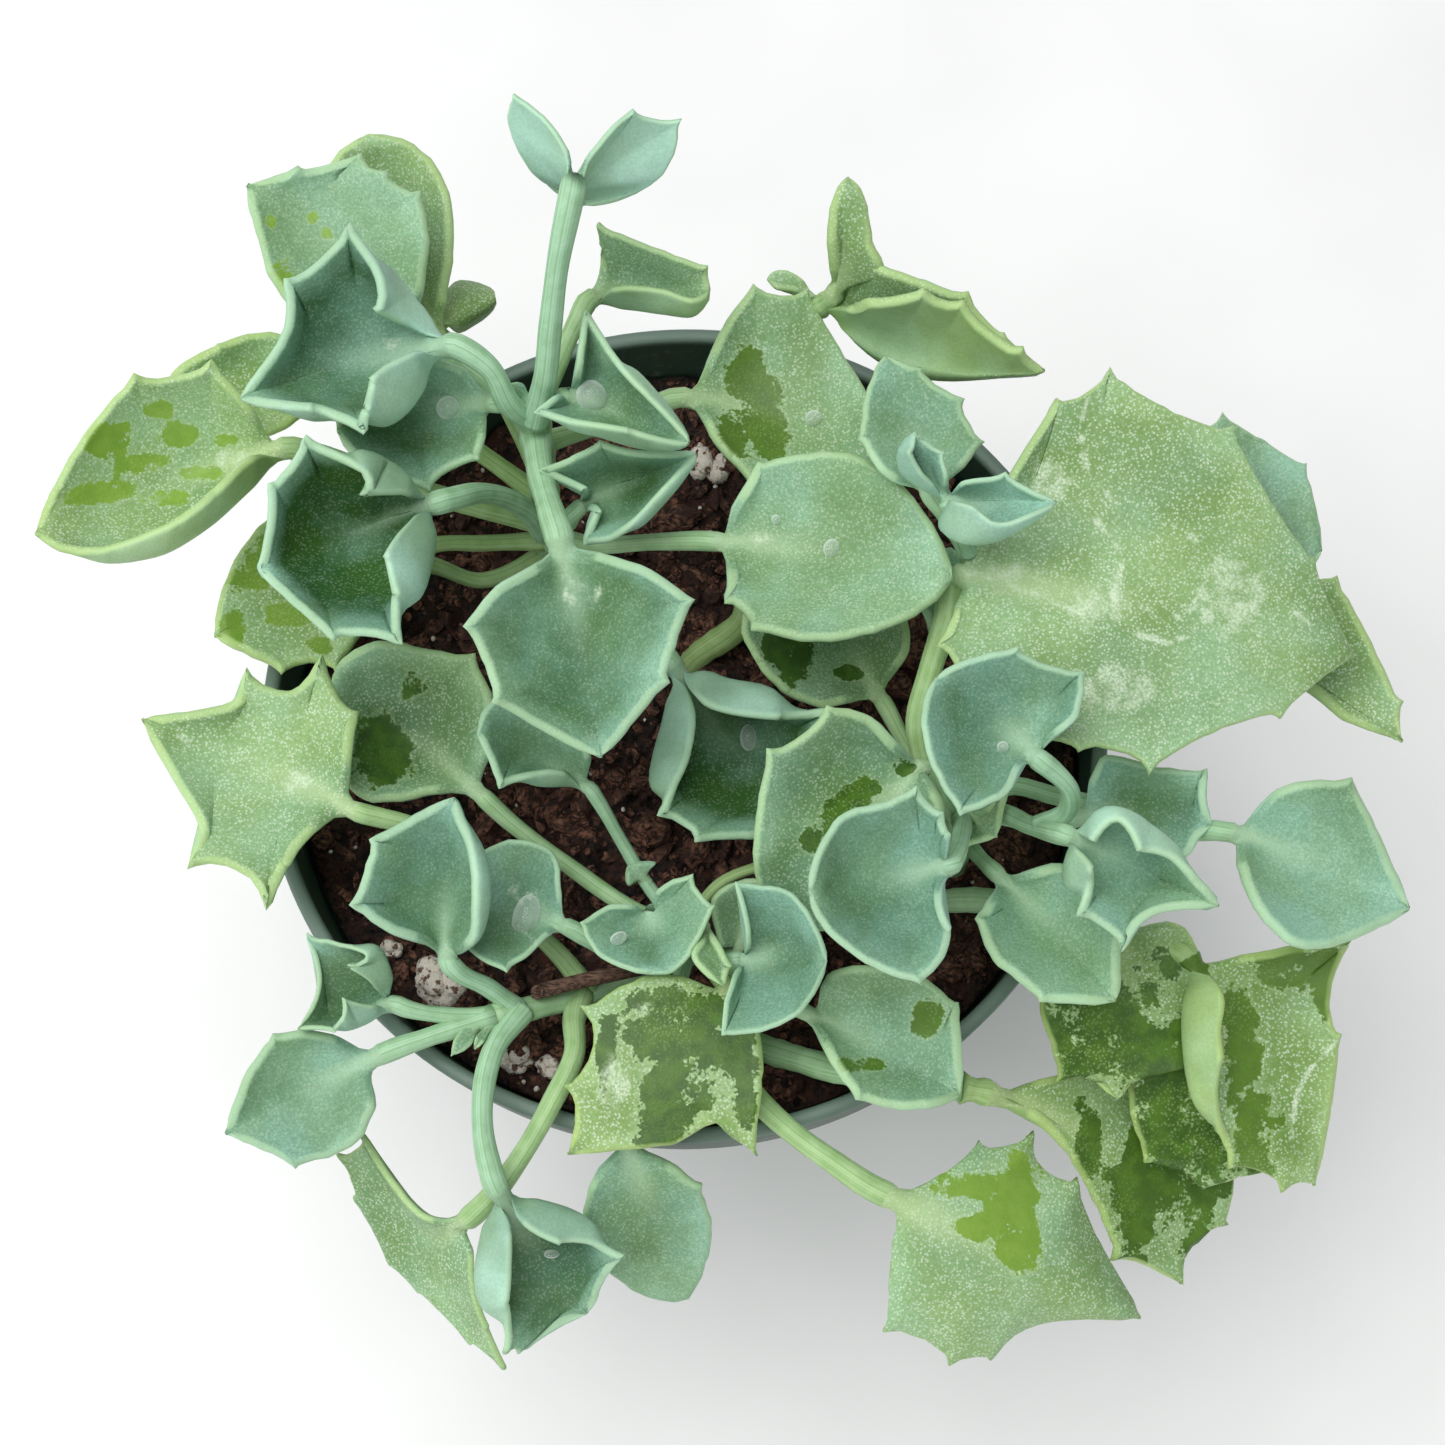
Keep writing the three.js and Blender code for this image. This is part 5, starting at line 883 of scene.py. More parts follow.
def leaf_flesh():
    """Fleshy leaf: green flesh under granular blue-white wax, a paler green at margin, rib and stalk.
    The wax is paler and thicker on the underside, partly painted light, and painted shade darkens the cups
    and the washed patches in them. Washed patches have lost the wax, so they are vivid and glossy, and
    traces of dried water are chalky."""
    material, shader = new_material("leaf_flesh", Roughness=0.5, Specular_IOR_Level=0.3)
    warmth, margin = field(shader, "warmth"), field(shader, "margin")
    upper, depth = field(shader, "upper"), field(shader, "depth")
    cloud, blotch, grain = noise(shader, 11, 3), noise(shader, 2.2, 4), noise(shader, 0.34, 2)
    broad = noise(shader, 19, 2)
    cells = {"Vector": object_place(shader), "Scale": 1 / (0.4 * MM)}
    granule = step(shader, add_node(shader, "TexVoronoi", cells), 0.16, 0.5, 1.0, 0.0)

    warm = plus(shader, warmth, step(shader, cloud, 0.3, 0.7, -0.16, 0.16))
    flesh = mixed(shader, warm, colour(36, 80, 36), colour(76, 114, 16))
    # Partly painted light: each wax colour has a paler copy for the underside, and more wax covers it there.
    # This is partly the bloom's own colour and partly light on raised wings that show their undersides.
    cool_wax = mixed(shader, upper, colour(170, 211, 190), colour(136, 182, 160))
    warm_wax = mixed(shader, upper, colour(172, 202, 136), colour(152, 183, 118))
    wax = mixed(shader, warm, cool_wax, warm_wax)
    shade = times(shader, times(shader, depth, upper), step(shader, margin, 0.3, 6.0))
    shade = times(shader, shade, step(shader, field(shader, "way"), 0.05, 0.6, 0.5, 0.8))
    cover = maths(shader, "SUBTRACT", step(shader, upper, 0.0, 1.0, 0.94, 0.84), shade)
    cover = plus(shader, cover, step(shader, cloud, 0.3, 0.7, 0.12, -0.12))
    cover = plus(shader, cover, step(shader, broad, 0.38, 0.62, 0.18, -0.2))
    cover = plus(shader, cover, step(shader, blotch, 0.3, 0.7, -0.05, 0.05))
    speckle = times(shader, step(shader, grain, 0.36, 0.64), step(shader, upper, 0.0, 1.0, 0.1, 0.26))
    cover = times(shader, cover, plus(shader, speckle, 0.78))
    surface = mixed(shader, cover, flesh, wax)
    dusted = times(shader, granule, step(shader, blotch, 0.3, 0.65, 0.55, 1.0))
    dusted = times(shader, dusted, step(shader, warmth, 0.1, 0.8, 0.16, 0.62))
    surface = mixed(shader, times(shader, dusted, upper), surface, colour(212, 226, 204))

    rib = times(shader, step(shader, field(shader, "rib"), 0.3, 3.4, 1.0, 0.0), upper)
    fading = step(shader, field(shader, "way"), 0.02, 0.6, 0.6, 0.0)
    pale = mixed(shader, warmth, colour(172, 206, 174), colour(188, 208, 146))
    surface = mixed(shader, times(shader, rib, fading), surface, pale)

    tear = step(shader, noise(shader, 3.8, 4), 0.3, 0.7, -0.4, 0.36)
    crumbling = times(shader, maths(shader, "SUBTRACT", noise(shader, 0.5, 3), 0.5), 0.9)
    ragged = plus(shader, maths(shader, "MINIMUM", field(shader, "wash"), 0.4), tear)
    washed = step(shader, plus(shader, ragged, crumbling), -0.04, 0.1)
    # Partly painted shade: the washed patches' own vivid green is darkened by the leaf's depth of cup shade,
    # so those in deep cups are painted darker.
    wet_and_cup_shade = mixed(shader, step(shader, depth, 0.08, 0.4), colour(128, 164, 56), colour(44, 80, 0))
    wet_and_cup_shade = mixed(shader, step(shader, blotch, 0.35, 0.65, 0.0, 0.35), wet_and_cup_shade, colour(90, 132, 18))
    residue = times(shader, step(shader, ragged, -0.3, -0.04), 0.2)
    surface = mixed(shader, residue, surface, colour(186, 210, 160))
    surface = mixed(shader, times(shader, washed, 0.94), surface, wet_and_cup_shade)
    grains_left = times(shader, granule, washed)
    specks = times(shader, grains_left, step(shader, cloud, 0.4, 0.7, 0.0, 0.3))
    surface = mixed(shader, specks, surface, colour(170, 196, 130))

    near = plus(shader, margin, step(shader, blotch, 0.3, 0.7, -0.08, 0.08))
    rim = times(shader, step(shader, near, -0.15, 0.7, 1.0, 0.0), 0.7)
    surface = mixed(shader, rim, surface, mixed(shader, warmth, colour(176, 212, 178), colour(182, 208, 124)))
    broken = plus(shader, field(shader, "trace"), step(shader, blotch, 0.3, 0.7, -0.2, 0.2))
    chalk = times(shader, step(shader, broken, 0.3, 0.9), step(shader, grain, 0.36, 0.62, 0.3, 0.8))
    surface = mixed(shader, chalk, surface, colour(206, 222, 194))

    lines = add_node(shader, "TexNoise", {"W": field(shader, "strand"), "Scale": 3.4}, noise_dimensions="1D")
    streak = step(shader, plus(shader, lines, times(shader, blotch, 0.5)), 0.55, 0.9)
    dull = mixed(shader, warmth, colour(132, 174, 134), colour(136, 170, 92))
    bright = mixed(shader, warmth, colour(164, 204, 172), colour(170, 198, 132))
    stalk = step(shader, field(shader, "way"), -0.3, 0.0, 0.85, 0.0)
    surface = mixed(shader, stalk, surface, mixed(shader, streak, dull, bright))
    link(shader, surface, "Base Color")
    link(shader, step(shader, washed, 0.0, 1.0, 0.55, 0.4), "Roughness")
    relief(shader, plus(shader, grain, times(shader, cloud, 1.5)), 0.05)
    return material


flesh = leaf_flesh()


def leafy_stem(node, radius, points, leaves, warmth=0.4):
    """A stem with its leaves as one piece, which replaces the solid of the same node."""
    stem = stem_skin(points, radius)
    parts = [(stem, plain_fields(len(stem[0]), radius, warmth)), *[grown_leaf(each) for each in leaves]]
    piece = add_mesh("leafy_" + node, merged([shape for shape, _ in parts]), flesh)
    for name in parts[0][1]:
        values = np.concatenate([fields[name] for _, fields in parts]).astype(np.float32)
        piece.data.attributes.new(name, "FLOAT", "POINT").data.foreach_set("value", values)
    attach(piece, "root")
    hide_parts(node)


# Stem back left
# The main stem, upright at the back left. Its crown carries the tall winged leaf and two folded ones.

leafy_stem("stem_back_left", 2, [[-22, 21, -9], [-22.6, 25, 0], [-23.2, 31, 10], [-24, 37, 19],
        [-24.3, 40, 24]], [
    leaf("far_left_spoon", [[-23.3, 26, 2], [-32, 28, 9], [-42, 31, 14], [-53, 34.8, 18]], 3,
      [-59, 36, 20], [-89.2, 24.3, 26], 19, [
        [edge(-61.5, 34, 25, [-61.3, 31.3, 21]), edge(-61.5, 41, 24)],
        [edge(-65.5, 30.2, 27, [-66.3, 26.4, 22]), tooth(-66.3, 46.2, 27)],
        [edge(-70.5, 26.3, 28, [-72.5, 22.4, 23]), tooth(-76, 44.5, 28)],
        [edge(-79, 22.9, 27, [-79.5, 21.3, 24]), edge(-82.3, 37.3, 27)],
        [edge(-85.3, 22.4, 26), edge(-86.7, 29.6, 26)],
      ], look=(0.8, 0.1), washed=[
        (-80, 37, 4, 2.2), (-75, 33.5, 4.4, 1.8), (-70, 37.6, 3, 1.8), (-79, 30, 4, 1.6), (-68, 32, 3, 1.4),
        (-84, 29.6, 2.4, 1.8), (-72, 28.6, 3, 1.2), (-64.5, 36.6, 2, 1.2), (-73, 41, 2.4, 1.2)],
        powdery=[(-63, 34, 4, 3)]),
    leaf("upper_left_flat", [[-24, 38, 20], [-31, 44, 20], [-37, 48, 21]], 2.8,
      [-41, 49.5, 21], [-61.8, 69.8, 27], 22, [
        [edge(-48, 49.5, 23), edge(-38.9, 56.5, 24)],
        [edge(-53.5, 52, 24), edge(-38.2, 63, 26)],
        [edge(-56.6, 54.8, 25), tooth(-39.6, 68.3, 27)],
        [edge(-58.8, 58.5, 26), tooth(-43.9, 70.9, 28)],
        [edge(-59.9, 62.5, 26), tooth(-47.2, 73.2, 28)],
        [edge(-60.9, 66.3, 27), tooth(-55.3, 71.3, 28)],
      ], look=(0.35, 0.1), washed=[
        (-57.6, 57.6, 2, 2.4), (-58.8, 64.5, 1, 1.2), (-53, 65, 0.9, 0.9), (-51, 63, 0.9, 0.8),
        (-49.4, 61, 0.9, 0.8)]),
    leaf("upper_left_folded", [[-24.3, 39, 22], [-27.8, 41.5, 28], [-30.3, 46, 32], [-33, 48, 33]], 3.2,
      [-36.8, 49.6, 33], [-62.8, 41.8, 35], 29, [
        [edge(-41.5, 47.3, 38, [-38.8, 44.6, 32]), tooth(-44.6, 53, 39, [-40.8, 54.6, 33])],
        [tooth(-45.4, 44.7, 40, [-41, 41.2, 34]), edge(-44.6, 57.6, 41, [-43.6, 58.8, 36])],
        [tooth(-46.2, 41.1, 41, [-43.6, 38.8, 36]), tooth(-48.3, 63.8, 41)],
        [tooth(-46.6, 38.1, 41), tooth(-56.3, 56.9, 39)],
        [tooth(-53.5, 41.2, 39, [-52.5, 39.4, 36]), edge(-56.3, 51, 37)],
        [edge(-58, 41.2, 37), edge(-59.5, 45.6, 36)],
      ], look=(0.1, 0.8), powdery=[(-42.8, 48.9, 2.4, 1.8)]),
    leaf("left_folded", [[-23, 24.5, -1], [-26.5, 28.3, 12], [-31.5, 29.7, 22], [-35.5, 28.8, 28]], 3,
      [-38.3, 28.1, 30], [-59.9, 19.7, 33], 26, [
        [edge(-41, 25.6, 36, [-37.8, 24.8, 32]), edge(-41.5, 29.5, 36, [-40.8, 31.3, 33])],
        [tooth(-43.8, 21.8, 39, [-38.5, 20.5, 34]), tooth(-46.5, 29.2, 39, [-43.8, 33.2, 35])],
        [tooth(-42.6, 17, 40, [-39.4, 16.3, 35]), edge(-46.6, 32.2, 40, [-47, 34.9, 38])],
        [tooth(-42, 10.7, 39), tooth(-53.9, 36.4, 40)],
        [tooth(-50.5, 11.3, 37), tooth(-58.3, 30.5, 37)],
        [edge(-55.5, 15.7, 35), edge(-58.6, 25, 35)],
      ], look=(0.15, 0.85)),
    leaf("left_cup", [[-24.2, 39.5, 22], [-27.5, 41.2, 25]], 2.6, [-31.3, 41.6, 26], [-50, 37.8, 27], 21, [
      [edge(-30.6, 38.3, 27), edge(-33.5, 45.3, 27)],
      [tooth(-31.9, 34.3, 27), edge(-37.2, 46.8, 27)],
      [tooth(-38.2, 30.6, 27), edge(-43, 46.5, 27)],
      [edge(-45, 32.5, 27), edge(-48, 42.5, 27)],
    ], look=(0.25, 0.55), powdery=[(-37, 42, 2, 2)]),
    leaf("left_hidden", [[-23.2, 29, 6], [-33, 36, 10], [-43, 42, 12]], 2.6, [-51, 44, 12],
        [-72, 43.5, 16], 11, [
      [edge(-54.5, 40, 14), edge(-56.5, 50, 14)],
      [edge(-58.3, 37.6, 15), tooth(-65, 48.6, 16)],
      [edge(-66, 37.5, 15), edge(-70.2, 46, 16)],
    ], look=(0.9, 0.1)),
    leaf("upper_left_cup", [[-23.8, 35.8, 16], [-32, 46, 14]], 2.6, [-38, 49.5, 14], [-45.9, 76.3, 22], 13, [
      [edge(-45, 53, 16), edge(-36.3, 54.5, 16)],
      [edge(-51, 60, 18), edge(-35.2, 61, 18)],
      [edge(-53, 66, 20), edge(-35.8, 69, 20)],
      [edge(-50.8, 72.3, 21), edge(-39.5, 74.4, 21)],
    ], look=(0.75, 0.35)),
    leaf("upper_left_thick", [[-23.3, 31.5, 10], [-26.5, 38, 10], [-31, 46, 9]], 2.4,
      [-39, 53, 9], [-29.3, 55, 11], [-34, 54, 12], [
        [edge(-34.8, 56.7, 7), edge(-34.3, 50.6, 7)],
        [edge(-30.8, 56.4, 8), edge(-30.6, 52.8, 8)],
      ], look=(0.8, 0.2)),
    leaf("top_winged", [[-24.3, 39, 24], [-22.9, 45, 31], [-22.2, 52, 37], [-21.2, 60, 43],
        [-19.8, 67, 47]], 3.1,
      [-18.8, 71.8, 49], [-17.8, 66.9, 38], [-18.5, 70, 40], [
        [edge(-21.5, 76.2, 51), edge(-15.3, 75.6, 51)],
        [tooth(-26.9, 81, 52), tooth(-11.7, 79, 52)],
        [edge(-27.6, 77, 48), tooth(-5.7, 77.8, 50)],
        [edge(-24.3, 71, 43), edge(-8.5, 70.2, 44)],
      ], look=(0.1, 0.15)),
    leaf("top_side", [[-24.3, 39.5, 23], [-21.5, 46, 24], [-18.8, 52, 25]], 2.7, [-15.8, 57, 25],
        [-1.7, 56, 29], 24, [
      [tooth(-16, 64.2, 32), edge(-13.2, 56.3, 29, [-12.8, 54.4, 25])],
      [edge(-10, 61.7, 32), edge(-8, 56, 30, [-8, 53.6, 26])],
      [tooth(-2.2, 58.8, 31), edge(-4, 54.8, 30, [-3.8, 52.9, 27])],
    ], look=(0.6, 0.1)),
    leaf("crown_folded", [[-24.3, 39.6, 23.5], [-21.6, 41.2, 26]], 2.6, [-18.8, 43, 28.5],
        [-4.2, 36.2, 33], 28, [
      [edge(-18.6, 45.6, 33), edge(-21, 42.4, 31)],
      [edge(-18.2, 49, 35), tooth(-23.9, 40.2, 32)],
      [tooth(-17.6, 53, 36), edge(-19.8, 39.2, 33, [-19.6, 38.4, 30])],
      [edge(-14.6, 48.2, 35), edge(-15.8, 38.6, 34, [-15.8, 37.6, 31])],
      [edge(-12.4, 44.8, 35, [-11.8, 45.6, 32]), tooth(-12.3, 38, 35, [-12, 36.4, 31])],
      [edge(-8.2, 40.5, 34, [-7.8, 41.1, 32]), edge(-8, 36.8, 34, [-8, 35.7, 32])],
    ], look=(0.2, 0.75)),
    leaf("crown_arrow", [[-22.6, 26, 2.5], [-21.6, 25.2, 9], [-20, 25.6, 15]], 2.2,
      [-18, 28.6, 23], [-3.3, 34.8, 27], 21, [
        [tooth(-17.8, 30.2, 26), tooth(-16, 27.3, 26)],
        [tooth(-23.2, 32.6, 28), tooth(-17.7, 23.4, 27)],
        [edge(-19, 34.4, 27), edge(-14, 24, 27)],
        [tooth(-15.6, 36.2, 27), edge(-11.5, 26.4, 27, [-11, 25.4, 25])],
        [edge(-11, 34.9, 27), edge(-7, 31.2, 28, [-6.5, 30.4, 26])],
      ], look=(0.2, 0.7)),
    leaf("central_shield", [[-24.2, 37, 20], [-23.3, 31, 26], [-21.8, 26, 30]], 3.6,
      [-20.4, 21.6, 31], [-15.7, -4.7, 30], 28, [
        [edge(-15.5, 21.4, 34), edge(-24.5, 19.8, 34)],
        [edge(-9.5, 19.4, 37), edge(-29.3, 17, 37)],
        [tooth(-4.5, 15.7, 38), tooth(-32.7, 12.4, 38)],
        [edge(-6.6, 9.5, 36), edge(-30.7, 8, 36)],
        [tooth(-7.8, 5.2, 35), tooth(-29, 2.8, 35)],
        [edge(-12, 0, 32), edge(-23, -0.8, 32)],
      ], look=(0.2, 0.6), powdery=[(-18.5, 17.5, 3, 2.4)],
            traces=[[(-21.2, 18.6), (-20, 15.6), (-16.8, 15), (-15, 17.8)]]),
    leaf("centre_folded", [[-22.4, 24, -2], [-14, 14, 2], [-8, 9.5, 6]], 2.8, [-5, 5.6, 8],
        [9, -14.5, 10], 5, [
      [edge(-3.3, 3.2, 14, [-2.8, 6.4, 10]), edge(-3.7, 1.8, 14, [-6.3, 2.2, 10])],
      [edge(0, 1.4, 15, [0.5, 4.7, 11]), edge(-4.2, -4, 15, [-8.3, -4.5, 11])],
      [tooth(7, 0.4, 16, [6.5, 4.2, 12]), edge(-6, -8.2, 15, [-9, -8.3, 11])],
      [tooth(13.2, 1.4, 15), tooth(-7.8, -11.7, 14)],
      [edge(13, -5, 13), tooth(-3.1, -14.9, 12)],
      [edge(12, -10, 12), edge(3, -14.7, 11)],
    ], look=(0.15, 0.85)),
    leaf("round_flat", [[-22.6, 24.6, 0], [-16.5, 23, 8], [-8, 23.4, 15]], 2.5, [1.6, 23.4, 20],
        [30, 18.7, 26.5], 21, [
      [edge(0.9, 26.8, 22), edge(1.2, 20, 22)],
      [tooth(4.9, 32.9, 25), tooth(0.9, 16.1, 24)],
      [edge(9.5, 34.5, 26), tooth(4.2, 12.6, 25)],
      [edge(16.8, 34.6, 27), edge(12, 10.7, 26)],
      [edge(23.2, 30.7, 26), edge(20, 12, 26)],
      [edge(27.8, 24.2, 26.5), edge(26, 14.7, 26)],
    ], look=(0.45, 0.2), powdery=[(5, 23.6, 5, 1.6)]),
    leaf("washed_upper", [[-23.8, 36, 15], [-16, 38.5, 15], [-9, 41, 16]], 2.7, [-2.7, 42.8, 17],
        [20.5, 36, 18.5], 15, [
      [edge(-1.8, 46.5, 19), edge(-2.2, 39.3, 19)],
      [edge(0.8, 51.8, 21), edge(-0.5, 36, 19)],
      [tooth(4.1, 56.1, 22), tooth(3.8, 31.6, 19)],
      [tooth(11, 55.6, 20.5), edge(9, 29, 18)],
      [edge(15.3, 48.2, 18), edge(15, 29.5, 18)],
      [edge(19, 42, 18), edge(19, 32, 18)],
    ], look=(0.6, 0.3), washed=[(2.6, 45, 3, 4), (5.5, 38, 4, 5), (1.5, 37, 2.6, 4)]),
    leaf("left_lower", [[-23, 23.5, -2], [-31, 23.2, 2], [-38, 22.8, 6]], 2.4, [-44, 19.8, 8],
        [-65.9, 11.1, 12], 8, [
      [edge(-46, 13, 8.5), edge(-48, 25.5, 10)],
      [tooth(-49.9, 7.3, 8.5), edge(-55.5, 28, 11)],
      [tooth(-57, 6.9, 10), edge(-60.2, 25, 12)],
      [edge(-61.8, 9.2, 12), edge(-63.8, 19.5, 12)],
    ], look=(0.85, 0.2), washed=[(-60.5, 19, 4.4, 2.6), (-57.5, 23.5, 3, 2), (-63.4, 12, 2, 3),
        (-56, 14, 3.4, 1.8), (-52, 9.6, 1.6, 1)]),
    leaf("left_lowest", [[-22.6, 22, -6], [-31.5, 18.4, -3], [-38.5, 20.5, 1]], 2.4, [-42, 20.5, 2.5],
        [-57, 14, 5], 2, [
      [edge(-46, 14, 4.5), edge(-46, 24, 4.5)],
      [edge(-52, 11, 5), edge(-53, 21, 5)],
    ], look=(0.8, 0.3)),
    leaf("crown_bud", [[-24.3, 40, 23.5]], 1.6, [-24.8, 41.8, 25], [-27.6, 44, 27], 25.5, [
      [edge(-26.5, 42.6, 26), edge(-25.7, 43.8, 26)],
    ], look=(0.3, 0)),
])

# Stem back
# A stem that leans far to the back. It carries a keeled leaf, a small upright leaf and a bud.

leafy_stem("stem_back", 1.8, [[-3, 8.8, -9], [2.5, 13, -5], [4.5, 22, -1], [6, 34, 4], [9, 46, 10]], [
    leaf("upper_right_keel", [[9, 46, 9.5], [10.6, 50.6, 13], [12.6, 53.8, 18]], 3,
      [15.4, 55, 22.5], [42.2, 45.6, 28], [24.4, 45.6, 22], [
        [edge(17, 58.6, 28.5), edge(17, 53.6, 27)],
        [edge(19, 59.8, 30.5), edge(19, 54.3, 31)],
        [edge(21, 58.6, 31), edge(22.2, 54.6, 33)],
        [edge(26, 56.9, 31), tooth(25.9, 55.4, 34)],
        [tooth(31.6, 54.9, 31), tooth(31, 53.9, 33)],
        [tooth(36.2, 49.8, 30), tooth(38.5, 47.9, 31)],
      ], look=(0.75, 0.2)),
    leaf("upper_right_ear", [[12.6, 53.8, 19]], 2.7, [15.7, 56.4, 24.5], [16.2, 70.8, 37], 33, [
      [edge(14.5, 59, 29), edge(20.6, 58, 29.5)],
      [edge(14, 62.5, 33), edge(19.3, 61.8, 33)],
      [edge(14.2, 66.5, 35.5), edge(18.9, 66.2, 35)],
      [edge(15, 69.6, 36.7), edge(17.7, 69.5, 36.7)],
    ], look=(0.75, 0.1)),
    leaf("upper_right_bud", [[13, 53.4, 16]], 1.6, [11.9, 55.4, 17.5], [5.6, 57.4, 19], 18, [
      [edge(9.5, 56.2, 18.5), edge(10, 57.7, 18.5)],
      [edge(7, 56.2, 19), edge(7, 58.6, 19)],
    ], look=(0.6, 0)),
], warmth=0.95)

# Stem right
# The stem on the right. It carries the largest leaf, which is flat and yellow-green, among cupped ones.

GIANT_TRACES = [
    [(47, 42), (46.2, 37), (48.2, 31), (50.5, 28)],
    [(44, 27.5), (47.5, 26.5), (50.2, 24), (51.5, 20.5), (50.6, 16)],
    [(58, 25), (61, 23.3), (64, 20.3), (63.6, 16), (61.6, 12.5), (58, 10.2), (54, 11)],
    [(54, 14.5), (57.5, 13), (60.5, 14.5), (62.5, 17.5)],
    [(33.5, 18.6), (40, 16.4), (46, 14.4), (50.4, 15.8)],
    [(35, 24.5), (39.4, 27.4), (44, 27.5)],
    [(73.5, 14), (75.5, 12.4), (75.3, 9.8)],
]

